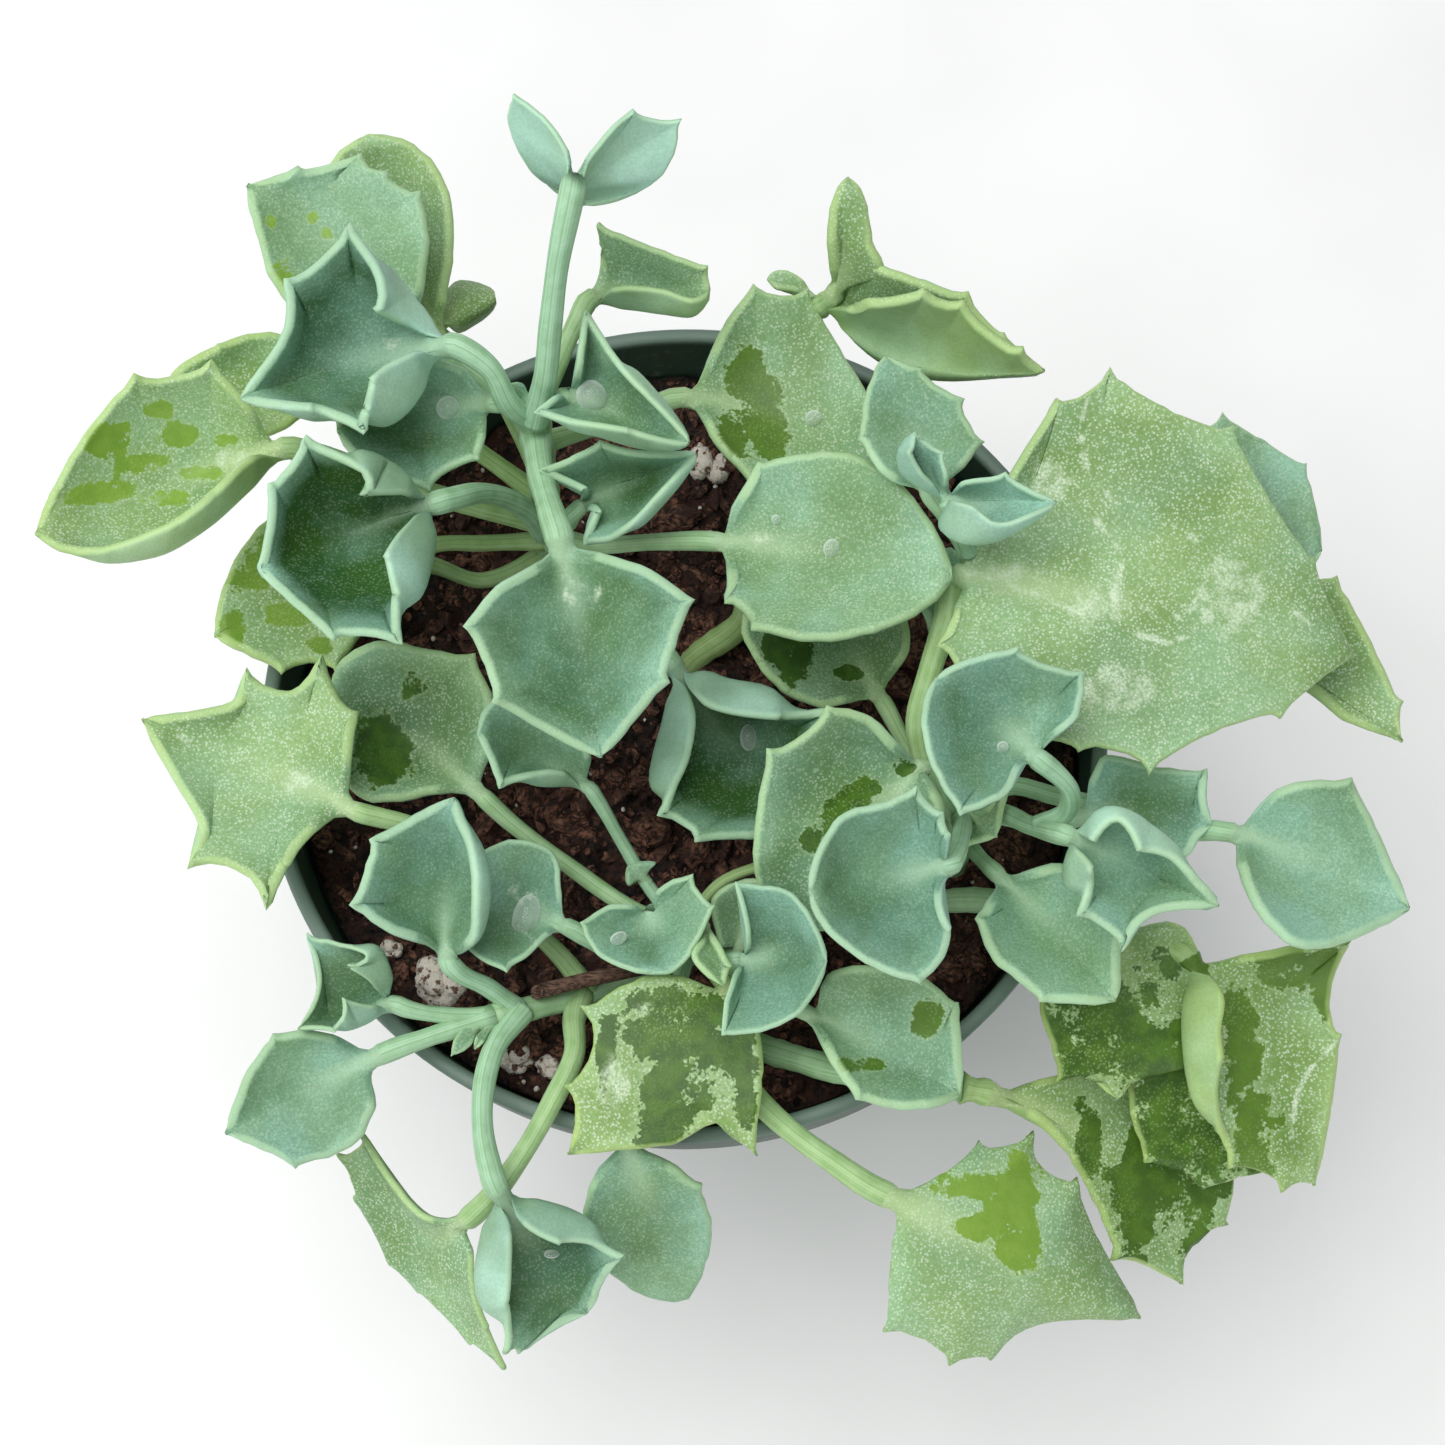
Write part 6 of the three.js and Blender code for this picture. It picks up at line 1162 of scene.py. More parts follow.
leafy_stem("stem_right", 2, [[29.7, -18, -9], [30, -16.5, -2], [30.8, -14, 6], [31, -12.5, 10]], [
    leaf("under_cup", [[31, -13, 8], [28, -9, 15]], 2.6, [25, -4, 20], [7, -25, 12], 17, [
      [edge(25.8, -5.8, 22), edge(22.3, -3.2, 23)],
      [edge(27.8, -9.8, 23), edge(18.5, 0.6, 25)],
      [edge(28.3, -13, 22), tooth(13.7, 1.5, 26)],
      [edge(26, -19, 20), tooth(6.2, -4, 25)],
      [edge(20, -25, 17), edge(4.5, -12.5, 21)],
      [edge(13, -27, 14), edge(4.3, -19.5, 16)],
    ], look=(0.45, 0.4), washed=[(14, -12.5, 2, 2.6), (11.5, -14, 1.6, 2), (17.5, -9, 2.4, 2),
        (23, -5.5, 1.6, 1.4)]),
    leaf("glaucous_cup", [[31, -12.5, 10], [31, -14, 20], [30, -17.5, 27]], 2.5, [28.6, -19.7, 30],
        [11.2, -22, 34], 28, [
      [edge(27.8, -22.5, 32), tooth(29, -14.7, 33)],
      [tooth(29, -26.6, 33), tooth(28.2, -12, 34)],
      [edge(28.3, -30.5, 34), tooth(25, -8.7, 35)],
      [tooth(25.3, -33.3, 34), edge(20.5, -10.7, 35)],
      [edge(19.5, -31.4, 34), edge(15.8, -11.9, 35)],
      [edge(13.7, -27, 34), edge(12.6, -16.5, 35)],
    ], look=(0.1, 0.28)),
    leaf("under_round", [[30.5, -14, 4], [26, -6.5, 4], [23, -1.5, 4]], 2.3, [19.6, 4.8, 6], [8, 20, 11], 5, [
      [edge(16, 2.9, 8), edge(22, 6.4, 9)],
      [edge(12.5, 2.3, 9), edge(23.4, 8.7, 10)],
      [edge(8, 4.1, 10.5), edge(24, 11.5, 11)],
      [edge(4.5, 8, 11.5), edge(22, 17, 12)],
      [edge(2.7, 13.5, 12), edge(16, 21, 12)],
    ], look=(0.6, 0.4), washed=[(8, 9, 4.4, 4), (16, 6, 2, 1)]),
    leaf("giant", [[31, -14, 7], [27, -7, 11], [25.3, 0, 14], [26.8, 6.5, 17], [29, 13.5, 20]], 3.4,
      [30.8, 21.3, 22.5], [82.4, 8.5, 20], 25, [
        [edge(34.5, 27, 27), edge(30.2, 14.5, 24.5)],
        [tooth(43.3, 41.2, 28), tooth(28.6, 10.2, 25)],
        [tooth(50.2, 45.2, 28), edge(36, 1, 25)],
        [edge(58, 40.4, 28), tooth(46.5, -3.1, 25)],
        [tooth(66, 37.6, 27), tooth(55.5, -6, 24)],
        [edge(70.7, 29, 25), edge(63.5, -1.3, 24)],
        [tooth(76.5, 20.5, 23), tooth(72.5, 1.3, 22)],
      ], look=(0.75, 0.15), powdery=[(36, 19, 9, 2.4), (48, 15, 6, 5), (50, 4, 12, 5), (66, 16, 7, 9),
        (42, 31, 5, 5)], traces=GIANT_TRACES),
    leaf("boat_left", [[31, -12.5, 10], [32.5, 5, 14], [32.5, 16, 18], [32, 21, 22], [30.5, 26, 28]], 2,
      [28.6, 30, 32], [24.9, 37.7, 38], 34, [
        [edge(25.8, 32.4, 35, [23.2, 32.4, 33]), edge(29, 31.6, 35)],
        [tooth(24.6, 34.9, 37, [23, 35.2, 35]), tooth(28.3, 34.9, 36)],
      ], look=(0.1, 0.35)),
    leaf("boat_right", [[32, 22, 23.5], [29.5, 27.5, 30]], 2, [28.7, 29.6, 32], [43.5, 28.5, 36], 33, [
      [edge(31, 30.9, 35), edge(30.3, 28.6, 36, [27.8, 25.6, 32])],
      [edge(34, 31.5, 36), tooth(32.8, 27.9, 37, [31.3, 23.5, 33])],
      [tooth(36.7, 31.9, 36), edge(36, 25.8, 37, [35.5, 23.9, 34])],
      [edge(40.3, 29.7, 36), edge(40, 27, 37, [39.3, 26, 35])],
    ], look=(0.1, 0.35)),
    leaf("small_toothed", [[32, 21.5, 22], [28.5, 27, 25]], 2.2, [25.3, 31.8, 27.5], [21, 47.7, 31], 28, [
      [edge(21.5, 31.9, 30), edge(29.3, 31, 29)],
      [tooth(18.1, 36.8, 30), tooth(33.4, 36.4, 30)],
      [edge(18.3, 41, 30), tooth(30.8, 41.8, 31)],
      [edge(19.6, 45.5, 30), tooth(25.4, 45.7, 31)],
    ], look=(0.3, 0.15)),
    leaf("behind_giant_upper", [[30.9, -13, 8], [31, -10, 8], [38, 8, 13], [50, 20, 15]], 2.6,
      [60, 27, 16], [77.7, 22.3, 18], 16, [
        [edge(60, 34, 17), edge(62, 22, 16)],
        [tooth(64.7, 39.6, 18), edge(66, 18.5, 16)],
        [edge(70, 36.5, 18), edge(70, 17.5, 17)],
        [tooth(75.4, 33, 18), edge(74, 18, 17)],
        [edge(77, 27, 18), edge(76.5, 20.5, 18)],
      ], look=(0.3, 0.1)),
    leaf("behind_giant_lower", [[30.8, -13.4, 7], [31, -10, 7], [45, 5, 11], [57, 11, 13]], 2.6,
      [68, 12, 14], [88.3, -2.6, 14], 12, [
        [edge(72, 17.5, 15), edge(70.5, 6.5, 13)],
        [tooth(79.3, 18.3, 16), edge(76.5, 4.4, 13)],
        [edge(82.7, 12.5, 16), edge(80.2, 0.9, 13)],
        [tooth(87.4, 2.4, 15), edge(84.5, -1.3, 13)],
      ], look=(0.8, 0.2)),
    leaf("blue_heart", [[41, -13.6, 19.3], [44.5, -11.5, 22], [45, -9, 25], [42.5, -6, 28]], 2.6,
      [39.3, -3.6, 30], [27.5, 5.8, 33], 29, [
        [edge(38.2, -5.5, 32), edge(42.5, -1.8, 32)],
        [edge(36.3, -9.2, 34), edge(45.8, 1.2, 34)],
        [tooth(30.8, -11.5, 34), tooth(46.5, 6.4, 34)],
        [edge(27.2, -5.5, 34), tooth(38, 9.4, 35)],
        [edge(26, 0.5, 34), edge(32, 8, 34)],
      ], look=(0.1, 0.4)),
    leaf("right_shield", [[30.8, -14.5, 5], [34, -18.2, 10]], 2.2, [37, -21, 13], [51, -36.2, 15], 12, [
      [edge(39, -19.8, 15), edge(35.2, -22.3, 15)],
      [edge(44, -18.7, 17), tooth(33.4, -25.3, 16)],
      [edge(48.5, -21, 18), edge(34.9, -30, 17)],
      [tooth(51.2, -27.2, 18), edge(38, -32.8, 17)],
      [edge(51.1, -31, 17), tooth(41.4, -35.7, 16)],
      [edge(51.1, -34, 16), edge(46.5, -36, 16)],
    ], look=(0.3, 0.3)),
    leaf("right_folded", [[31, -12.5, 9], [35.8, -11.7, 13], [40, -13.4, 18], [43.5, -14.4, 23]], 2.6,
      [45.5, -14.8, 25], [64.4, -23.8, 27], 23, [
        [tooth(48.1, -15.5, 29, [47.5, -12.6, 27]), edge(46.3, -16.6, 29, [44.3, -17.3, 26])],
        [edge(51.2, -12.8, 31, [50.8, -11.7, 29]), tooth(48.2, -18.7, 30, [44.8, -21.2, 26])],
        [tooth(53.8, -16.7, 31, [55, -13.9, 28]), tooth(46.4, -24.7, 28)],
        [edge(58, -17.6, 30, [58.6, -16.8, 28]), tooth(52, -29, 27)],
        [edge(61.3, -20.4, 29), edge(55.5, -24.6, 27)],
      ], look=(0.2, 0.65)),
    leaf("right_dark", [[35.8, -11.8, 12.5], [42.5, -13.5, 13]], 2.4, [48, -11.5, 14],
        [63.5, -13.3, 18], 14.5, [
      [edge(48, -7, 17), edge(50, -14.5, 15)],
      [edge(50, -4.3, 18), edge(53, -17, 16)],
      [edge(56, -5.8, 19), edge(56.5, -18.5, 17)],
      [tooth(62.4, -6.3, 19), edge(59.8, -17.5, 18)],
      [edge(62.2, -10.3, 19), edge(61, -15, 18)],
    ], look=(0.15, 0.6)),
    leaf("far_right_spoon", [[31, -12, 7], [37, -8.2, 9], [43, -9.5, 10], [52, -11.5, 11],
        [60, -14, 14]], 2.5,
      [68, -14.3, 19], [89.2, -24.3, 20], 18, [
        [edge(70.5, -10, 21), edge(67.2, -18.8, 22)],
        [edge(74.5, -8, 23), edge(69.5, -24.3, 23)],
        [tooth(81.3, -7.8, 23), edge(74, -28.7, 23)],
        [edge(84, -13, 22), edge(79, -28.7, 22)],
        [edge(86.8, -19.5, 21), edge(84.5, -26.4, 21)],
      ], look=(0.25, 0.2)),
    leaf("dark_sliver", [[31, -13, 4], [28, -2, 5], [27, 5, 7]], 2, [27.5, 10.3, 9], [29.6, 22.8, 15], 11, [
      [edge(26.8, 13, 11), edge(29, 11.5, 11)],
      [edge(25, 17, 13), edge(31, 16.5, 13)],
      [edge(26, 21, 14), edge(31.5, 20.3, 14)],
    ], look=(0.2, 0.8)),
    leaf("fork_sprout", [[31, -12.5, 10]], 1.8, [33, -12.4, 14], [35.6, -14.9, 17], 15, [
      [tooth(36.6, -9.3, 17), tooth(31.5, -15.8, 16)],
    ], look=(0.5, 0)),
])

# Stem trailing right
# A stem that leans over the rim on the right. Its three leaves are wet, vivid green and glossy.

leafy_stem("stem_trailing_right", 1.6, [[22, -24, -9], [28, -23.2, -5], [34, -23, -2], [41, -24.5, 2.5],
        [48, -27, 6]], [
    leaf("low_right_inner", [[48, -26.7, 6]], 3, [54, -27, 8], [51.1, -48.9, 2], 7, [
      [edge(58.8, -26, 9), edge(50, -27.5, 9)],
      [edge(62, -30.5, 8), edge(44, -31, 9)],
      [edge(64, -37, 7), edge(41, -36, 8)],
      [edge(62, -43, 5), edge(42.3, -41, 7)],
      [edge(58, -45, 4), tooth(43.8, -46.2, 5)],
      [edge(54, -44.8, 4), edge(46.5, -44.6, 5)],
    ], look=(0.95, 0.5), washed=[(47, -38.5, 9, 9), (57.5, -42, 5, 5), (57, -30.5, 2, 2)]),
    leaf("low_right_outer", [[48, -27, 6], [56, -28.5, 6.5]], 3.2, [62.5, -31.5, 9], [76.7, -60, -2], 5, [
      [edge(68, -30.3, 11), edge(64.7, -35, 14, [60.9, -34.5, 11])],
      [edge(75, -29, 12), edge(64.5, -40, 13, [60.5, -39.5, 10])],
      [tooth(81, -28.5, 12), tooth(65, -43.5, 12, [60.8, -44.5, 8])],
      [edge(78.6, -35, 10), edge(64.2, -49, 8, [61.7, -49.5, 5])],
      [tooth(79.7, -41, 8), tooth(65.9, -57.2, 1)],
      [edge(78.8, -49, 4), tooth(72.6, -60, -1)],
    ], look=(0.95, 0.3), washed=[(74, -31.5, 6, 3), (67, -41, 2.4, 9), (68.5, -53, 3, 7),
        (78.2, -33, 1.4, 5), (61.5, -35, 2, 6)],
            traces=[[(79.7, -41), (74.5, -46.8), (73, -54)]]),
    leaf("low_right_between", [[48, -27, 5.5], [50, -28, 5], [57, -34, 3]], 2.6, [60, -41, 1],
        [62.2, -60.5, -5], -2, [
      [edge(64, -43, 1), edge(55, -43.5, 1)],
      [edge(67, -47, 0), edge(52.8, -46.5, 0)],
      [edge(69, -52, -2), edge(52.9, -50.8, -1)],
      [edge(70.8, -57.5, -3), tooth(55, -56.6, -3)],
      [edge(66.5, -59, -4), edge(58.3, -56.9, -4)],
    ], look=(0.95, 0.6), washed=[(61, -51, 12, 12)]),
])

# Stem trailing front
# A stem that leans over the rim at the front, with a long leaf that hangs and a spearhead.

leafy_stem("stem_trailing_front", 1.7, [[0, -38, -9], [5, -42, -4], [10, -43.6, -1], [15, -45, 1.5],
        [22, -46.3, 3.5], [31, -47.3, 4]], [
    leaf("low_front_long", [[31, -47.3, 4]], 3.4, [36.5, -48.3, 2.5], [59.5, -73, -14], [52.5, -58.6, -8], [
      [edge(41, -46.4, 1), edge(40.4, -50.8, 1)],
      [edge(49, -44.5, -4), edge(43.4, -54, -2)],
      [edge(55, -45.5, -7), edge(45.2, -56.5, -4)],
      [edge(61, -49, -9), edge(47.2, -60, -6)],
      [edge(66, -57, -11), edge(49.4, -64.5, -8)],
      [tooth(64.6, -65, -12), tooth(51, -69.1, -10)],
      [tooth(58.9, -67.4, -13), edge(55, -70.3, -12)],
    ], look=(0.95, 0.35), washed=[(53, -61, 3.4, 9), (60, -59, 6, 9), (46.5, -53.5, 1.6, 5)]),
    leaf("front_spearhead", [[2, -39.8, -7.5], [3.5, -47.5, 1], [9, -53, 3.5], [14.5, -57, 4],
        [19.5, -60.3, 3.5]], 3.2,
      [23, -62, 3], [54.3, -77.2, -8], 0, [
        [edge(28.5, -58.5, 2), edge(22.1, -67, 1)],
        [tooth(33, -54.9, 1), edge(21.7, -73, -1)],
        [tooth(39.9, -53.7, -1), tooth(21.4, -78.3, -3)],
        [edge(41.2, -57.6, -2), tooth(29.7, -82.5, -6)],
        [tooth(45.8, -59.8, -2), tooth(35, -81.8, -7)],
        [edge(48, -66.3, -6), edge(41, -77.5, -6)],
      ], look=(0.75, 0.15), washed=[(37.5, -62.5, 3.4, 7), (31.5, -60, 5, 1.6), (33, -65, 5, 1.4)]),
])

# Stem front left
# A stem at the front left. Two of its leaves hang outside the rim, and three more reach out over it.

leafy_stem("stem_front_left", 1.5, [[-11, -32.3, -9], [-17, -35, -4], [-24, -36.8, 1], [-30, -38, 5]], [
    leaf("front_hanging_fold", [[-26, -37.2, 3], [-29.7, -42.5, 6], [-31, -48, 7], [-31, -53, 7.5],
        [-30, -58, 7.5]], 3,
      [-28.7, -62.2, 7], [-17.5, -76.6, -1], 0, [
        [edge(-26, -64.9, 8, [-25.3, -62.2, 6]), edge(-27.5, -65.2, 8, [-30.2, -65, 5])],
        [tooth(-21.4, -67.4, 8, [-20.5, -63.4, 5]), edge(-27.4, -71, 7, [-31.6, -71.3, 3])],
        [edge(-17.5, -67.5, 7, [-16.8, -65.2, 5]), tooth(-27.7, -74.8, 6, [-31, -75.7, 2])],
        [tooth(-13.4, -69.1, 6), tooth(-28, -81.2, 3)],
        [edge(-15.4, -71.5, 3), tooth(-26.2, -81.2, 1)],
        [edge(-16.5, -74.2, 1), edge(-21.5, -77.9, 0)],
      ], look=(0.15, 0.65)),
    leaf("front_hanging_thin", [[-18.3, -35.3, -3], [-19.2, -38.5, 0], [-19.2, -43, 3], [-22, -49, 4],
        [-26, -56, 3], [-30.5, -62, 1]], 2.9, [-34.5, -65.7, -1], [-43, -70, -14], -8, [
      [edge(-32.4, -68.5, -2), edge(-38.5, -64, -1)],
      [edge(-32.2, -73, -4), edge(-42.5, -59.8, -2)],
      [tooth(-30.7, -78, -6), tooth(-46.3, -53.8, -3)],
      [tooth(-28.4, -83.3, -9), tooth(-49.5, -56.2, -6)],
      [tooth(-32.8, -80, -11), tooth(-47.4, -61.6, -9)],
      [tooth(-39.4, -73.4, -13), edge(-45.3, -65, -12)],
    ], look=(0.7, 0.2)),
    leaf("left_spearhead", [[-17.3, -34.8, -3.4], [-21, -30.2, -1], [-26, -25.5, 2], [-33, -19.3, 6],
      [-40.5, -13.3, 11], [-44.5, -12.3, 12.5]], 2.5, [-49.5, -11, 14], [-75.3, 0.5, 16], 13, [
      [edge(-52.5, -13.4, 16), edge(-48.5, -6, 16)],
      [tooth(-56.4, -17.7, 17), tooth(-47.7, 0.9, 17)],
      [tooth(-59, -23.4, 17), tooth(-52, 8.2, 18)],
      [edge(-62.5, -19.1, 17), edge(-56, 4, 17)],
      [tooth(-69, -18.2, 17), tooth(-61.8, 6.4, 18)],
      [edge(-67.1, -14, 17), edge(-62.7, 2.7, 17)],
      [edge(-70.4, -8, 17), edge(-69, 1.1, 17)],
    ], look=(0.75, 0.05), powdery=[(-55, -8, 4, 3), (-69.5, -2.5, 2.4, 2)]),
    leaf("toothed_cup", [[-26.5, -37.2, 2.8], [-30.5, -34.2, 7], [-34.3, -32.2, 10]], 2.6,
      [-36.8, -29.4, 12], [-34.8, -9.5, 21], 14, [
        [edge(-38.5, -28.2, 15), edge(-34.2, -30, 15)],
        [edge(-43, -26.7, 18), edge(-32.5, -27.5, 18, [-31.9, -27.5, 16])],
        [tooth(-47.5, -23.5, 20), edge(-32.3, -24, 20, [-31, -24, 17])],
        [edge(-46, -19, 21), edge(-32.3, -20, 21, [-30.7, -20, 18])],
        [tooth(-45, -15.2, 21), edge(-32.9, -16, 21, [-31.9, -16, 19])],
        [edge(-39.5, -12.2, 21), edge(-33.9, -12.7, 21)],
      ], look=(0.1, 0.4)),
    leaf("rim_folded", [[-29.6, -38, 4.8], [-36, -37.9, 6.5], [-41, -37, 8]], 2.3, [-44, -35.9, 8],
        [-55.1, -39.7, 11], 7, [
      [edge(-45.6, -36.6, 12, [-45, -37.7, 10]), edge(-46, -33.3, 13, [-43.2, -33.2, 10])],
      [tooth(-49, -35.7, 14, [-47.6, -38.6, 11]), tooth(-48.6, -31.9, 15, [-43.8, -31, 12])],
      [edge(-49.1, -37.8, 14, [-48.9, -39.4, 12]), edge(-46.4, -30, 15, [-45.2, -28.9, 13])],
      [tooth(-50.3, -39.8, 13), tooth(-53.7, -27.7, 15)],
      [edge(-52.8, -39.5, 12), edge(-52.2, -34, 12)],
    ], look=(0.2, 0.35)),
    leaf("rim_spoon", [[-29.6, -38, 4.8], [-38, -40.7, 6.5]], 2.7, [-46.5, -43.8, 6], [-64.6, -53.4, 4], 4, [
      [edge(-45.4, -47, 8), edge(-50, -40.9, 8)],
      [edge(-45.4, -50.2, 8), edge(-54, -40.1, 9)],
      [edge(-48, -54.7, 7), tooth(-58, -40.8, 9)],
      [tooth(-55.5, -57.1, 6), edge(-61.3, -45.3, 8)],
      [edge(-60.5, -54.6, 5), edge(-63.1, -50, 6)],
    ], look=(0.2, 0.1)),
    leaf("front_left_bud", [[-29.4, -38, 4.6]], 1.4, [-31.8, -38.6, 6], [-35.3, -43.4, 8], 7, [
      [edge(-32.6, -41.8, 7), edge(-34.2, -40.2, 7)],
    ], look=(0.3, 0)),
    leaf("front_left_bud_small", [[-29, -37.9, 4.4]], 1.2, [-30.3, -39.3, 6], [-32.2, -42.5, 7], 6.5, [
      [edge(-30.9, -41.3, 7), edge(-31.9, -40.6, 7)],
    ], look=(0.3, 0)),
])

# Stem front
# A short stem at the front, with the small young leaves and the low ones between the others.

leafy_stem("stem_front", 2, [[-4.5, -29.8, -9], [-4.8, -28.5, -4], [-4.8, -27.4, 1], [-4.4, -27.4, 3.5]], [
    leaf("bean", [[-3.6, -28.3, 3], [0.3, -30.8, 9]], 2.1, [4.2, -30.8, 13], [13.6, -30.8, 18], 14, [
      [edge(3.4, -27.5, 16), edge(1.6, -33, 16)],
      [tooth(1.9, -21, 19), edge(0.5, -36.5, 18)],
      [edge(5.5, -21.2, 19), tooth(0.2, -40.1, 19)],
      [edge(9, -22.2, 19), edge(5.2, -39.8, 19)],
      [edge(11.8, -26, 19), edge(10.2, -37.2, 19)],
    ], look=(0.1, 0.45)),
    leaf("front_washed", [[-4.3, -28.2, 1], [-0.5, -33, 6]], 2.4, [1.8, -36, 8], [-20.3, -56.2, 6], 9, [
      [edge(4.2, -38.5, 9), edge(-3.5, -33.6, 9)],
      [edge(5.2, -45, 9), edge(-9.5, -32.7, 9)],
      [tooth(4, -55.6, 8), tooth(-17.7, -37.2, 9)],
      [edge(-0.5, -51.8, 8), edge(-16.8, -42, 9)],
      [edge(-6.5, -54.6, 8), tooth(-19.8, -47.3, 8)],
      [edge(-14, -55.3, 8), edge(-18.9, -51.5, 8)],
    ], look=(0.95, 0.5), washed=[(-3.5, -41, 9, 7), (-6.5, -48.5, 5, 7), (-15, -42.5, 1.4, 5),
        (3, -49, 1.4, 5)],
            powdery=[(-14, -47, 4, 6), (-11, -37, 3, 2)]),
    leaf("front_cup", [[-4, -28.4, 0], [3, -33.5, 4], [8.5, -36.5, 7]], 2.1, [12.7, -38.3, 9],
        [30.8, -48.3, 10], 8, [
      [edge(12.3, -35.5, 11), edge(13.1, -41, 11)],
      [edge(14.3, -32.4, 12), edge(14.7, -44.2, 12)],
      [edge(20, -31.6, 13), tooth(17.6, -48.2, 12)],
      [edge(26, -33.2, 13), edge(22, -49.7, 12)],
      [tooth(30.1, -36.8, 12), edge(26.5, -49.6, 12)],
      [edge(30.5, -42.5, 12), edge(29.3, -48.9, 11)],
    ], look=(0.35, 0.3), washed=[(26.5, -38.6, 2.2, 2.6), (18, -44.8, 3.6, 1)]),
    leaf("front_hidden", [[-4.5, -29.2, -2], [-8, -42, 2.5], [-12, -51, 4.3]], 2.1, [-13.4, -55.6, 3.5],
      [-4.3, -74.8, -10], -3, [
        [edge(-9.6, -55.8, 4), edge(-15.4, -56.2, 4)],
        [edge(-6.3, -57.6, 3), edge(-17, -60, 2)],
        [tooth(-3.2, -60.3, 1), edge(-18, -64, -1)],
        [edge(-1.4, -65.3, -3), edge(-15.5, -70, -6)],
        [edge(-2.1, -70, -7), edge(-10.5, -73.8, -9)],
      ], look=(0.3, 0.25)),
    leaf("left_green_cup", [[-5, -27.5, 0], [-12, -24, 1.5], [-20, -18.5, 3], [-28.5, -12, 5.5]], 2.4,
      [-32.5, -8.2, 7], [-50.3, 7, 11.5], 6, [
        [edge(-37, -8.8, 8), edge(-30.4, -4, 10)],
        [edge(-42, -9.9, 8.5), edge(-29.6, 1.5, 12)],
        [edge(-47, -9.6, 9), tooth(-32.6, 8.4, 12)],
        [edge(-50, -5, 9), edge(-38.5, 9.4, 12)],
        [edge(-51, 2, 10), edge(-44.5, 10.3, 13)],
      ], look=(0.5, 0.75), washed=[(-44.5, -4.5, 4.5, 4.5), (-40, 5, 2, 2.4)]),
    leaf("under_shield", [[-5.3, -26.5, 1], [-9.5, -21.3, 2.5], [-13, -15.5, 5], [-16.3, -9.8, 9]], 1.9,
      [-18, -7.3, 11], [-31.7, -1.3, 16], 10, [
        [edge(-20.3, -6.4, 13, [-20.3, -7.6, 11]), edge(-17.2, -4.6, 13)],
        [edge(-24, -6.3, 14, [-24, -7.8, 12]), edge(-19.5, 0, 14)],
        [tooth(-28.7, -8.2, 15), edge(-24.5, 4, 15)],
        [edge(-30.1, -4.3, 16), edge(-29.5, 3, 16)],
      ], look=(0.15, 0.45)),
    leaf("stalk_bud", [[-9.8, -20.8, 2.7]], 1.5, [-10.6, -19.6, 3.6], [-12.4, -18.4, 5], 4.4, [
      [edge(-12.2, -21.2, 5), edge(-8.5, -18.1, 5)],
    ], look=(0.4, 0)),
    leaf("droplet_cup", [[-5.6, -28, 1], [-13, -30.2, 3], [-17.8, -27.8, 6]], 2.3, [-22, -25.3, 8],
        [-34, -23.5, 9.5], 7, [
      [edge(-22.9, -27.6, 10), edge(-21.2, -21.5, 10)],
      [edge(-25.2, -29.9, 11), edge(-21.9, -17, 11)],
      [tooth(-28, -31.8, 12), edge(-26.8, -15.2, 12)],
      [edge(-32.8, -29.3, 10), edge(-32, -17.5, 10.5)],
    ], look=(0.15, 0.5), powdery=[(-27, -22, 2, 2)],
            traces=[[(-24.2, -21.9), (-26.6, -24), (-26.4, -27), (-24.4, -28.4)]]),
    leaf("small_heart", [[-5.2, -26.8, 2], [-8.5, -24.8, 6]], 2, [-10, -24.3, 9], [-9, -32.5, 12], 9, [
      [edge(-8, -21.5, 11), edge(-12, -23.8, 11)],
      [tooth(-4.1, -20, 13), edge(-15, -24, 12)],
      [tooth(-1.3, -23.9, 13), tooth(-18, -26, 13)],
      [edge(-3.8, -29.2, 13), edge(-16.4, -29.7, 12)],
      [edge(-6.3, -32.2, 12), edge(-12.5, -31.8, 12)],
    ], look=(0.2, 0.45), powdery=[(-13.5, -28, 2, 1.4)]),
    leaf("small_round", [[-4.6, -27.5, 0], [0, -30, 2]], 1.6, [4, -29.3, 4], [2, -20.6, 8], 4.5, [
      [edge(0, -28.8, 6), edge(6.5, -27, 6)],
      [edge(-1, -26, 7), edge(7, -23.5, 7)],
      [edge(-1.2, -22.7, 8), edge(5, -20.6, 8)],
    ], look=(0.4, 0.3)),
    leaf("young_toothed", [[-4.2, -27.2, 3]], 1.4, [-1.6, -26, 12], [0.2, -34.3, 14], 12, [
      [edge(-0.9, -28.4, 13), edge(-2.9, -28.7, 13)],
      [tooth(0.8, -31.6, 14), edge(-3.7, -30.6, 14)],
    ], look=(0.5, 0.1)),
    leaf("low_sprout", [[-4.9, -26.4, 0], [0, -20.6, 2], [5, -18.6, 3]], 1.6, [9.5, -17.6, 4],
        [19, -15.5, 6], 4.5, [
      [edge(12.5, -14.8, 5), edge(12.5, -19.5, 5)],
      [edge(16.5, -14, 6), edge(16.5, -18.7, 6)],
    ], look=(0.9, 0.3)),
])

# The dead twig
# A dry hollow stem that lies among the front stems. It is cut off aslant, and its pith has gone.

TWIG_RADIUS = 0.9
TWIG_PITH = 0.6
TWIG_CUT = 0.6
TWIG_SIDES = 24
TWIG_STEP = 0.8
TWIG_POINTS = [[-7.9, -31.2, -9], [-8.6, -31.4, -4.5], [-11.5, -32, -1], [-18, -33.4, 1.2], [-24.6, -35, 3.8]]


def dry_fibre():
    """Dead stem: dark brown, with paler strands along it."""
    material, shader = new_material("dry_fibre", Roughness=0.8)
    strand = noise(shader, 0.5, 5, (0.3, 2, 2))
    pale = step(shader, strand, 0.35, 0.65)
    link(shader, mixed(shader, pale, colour(58, 38, 30), colour(122, 92, 76)), "Base Color")
    relief(shader, strand, 0.25)
    return material


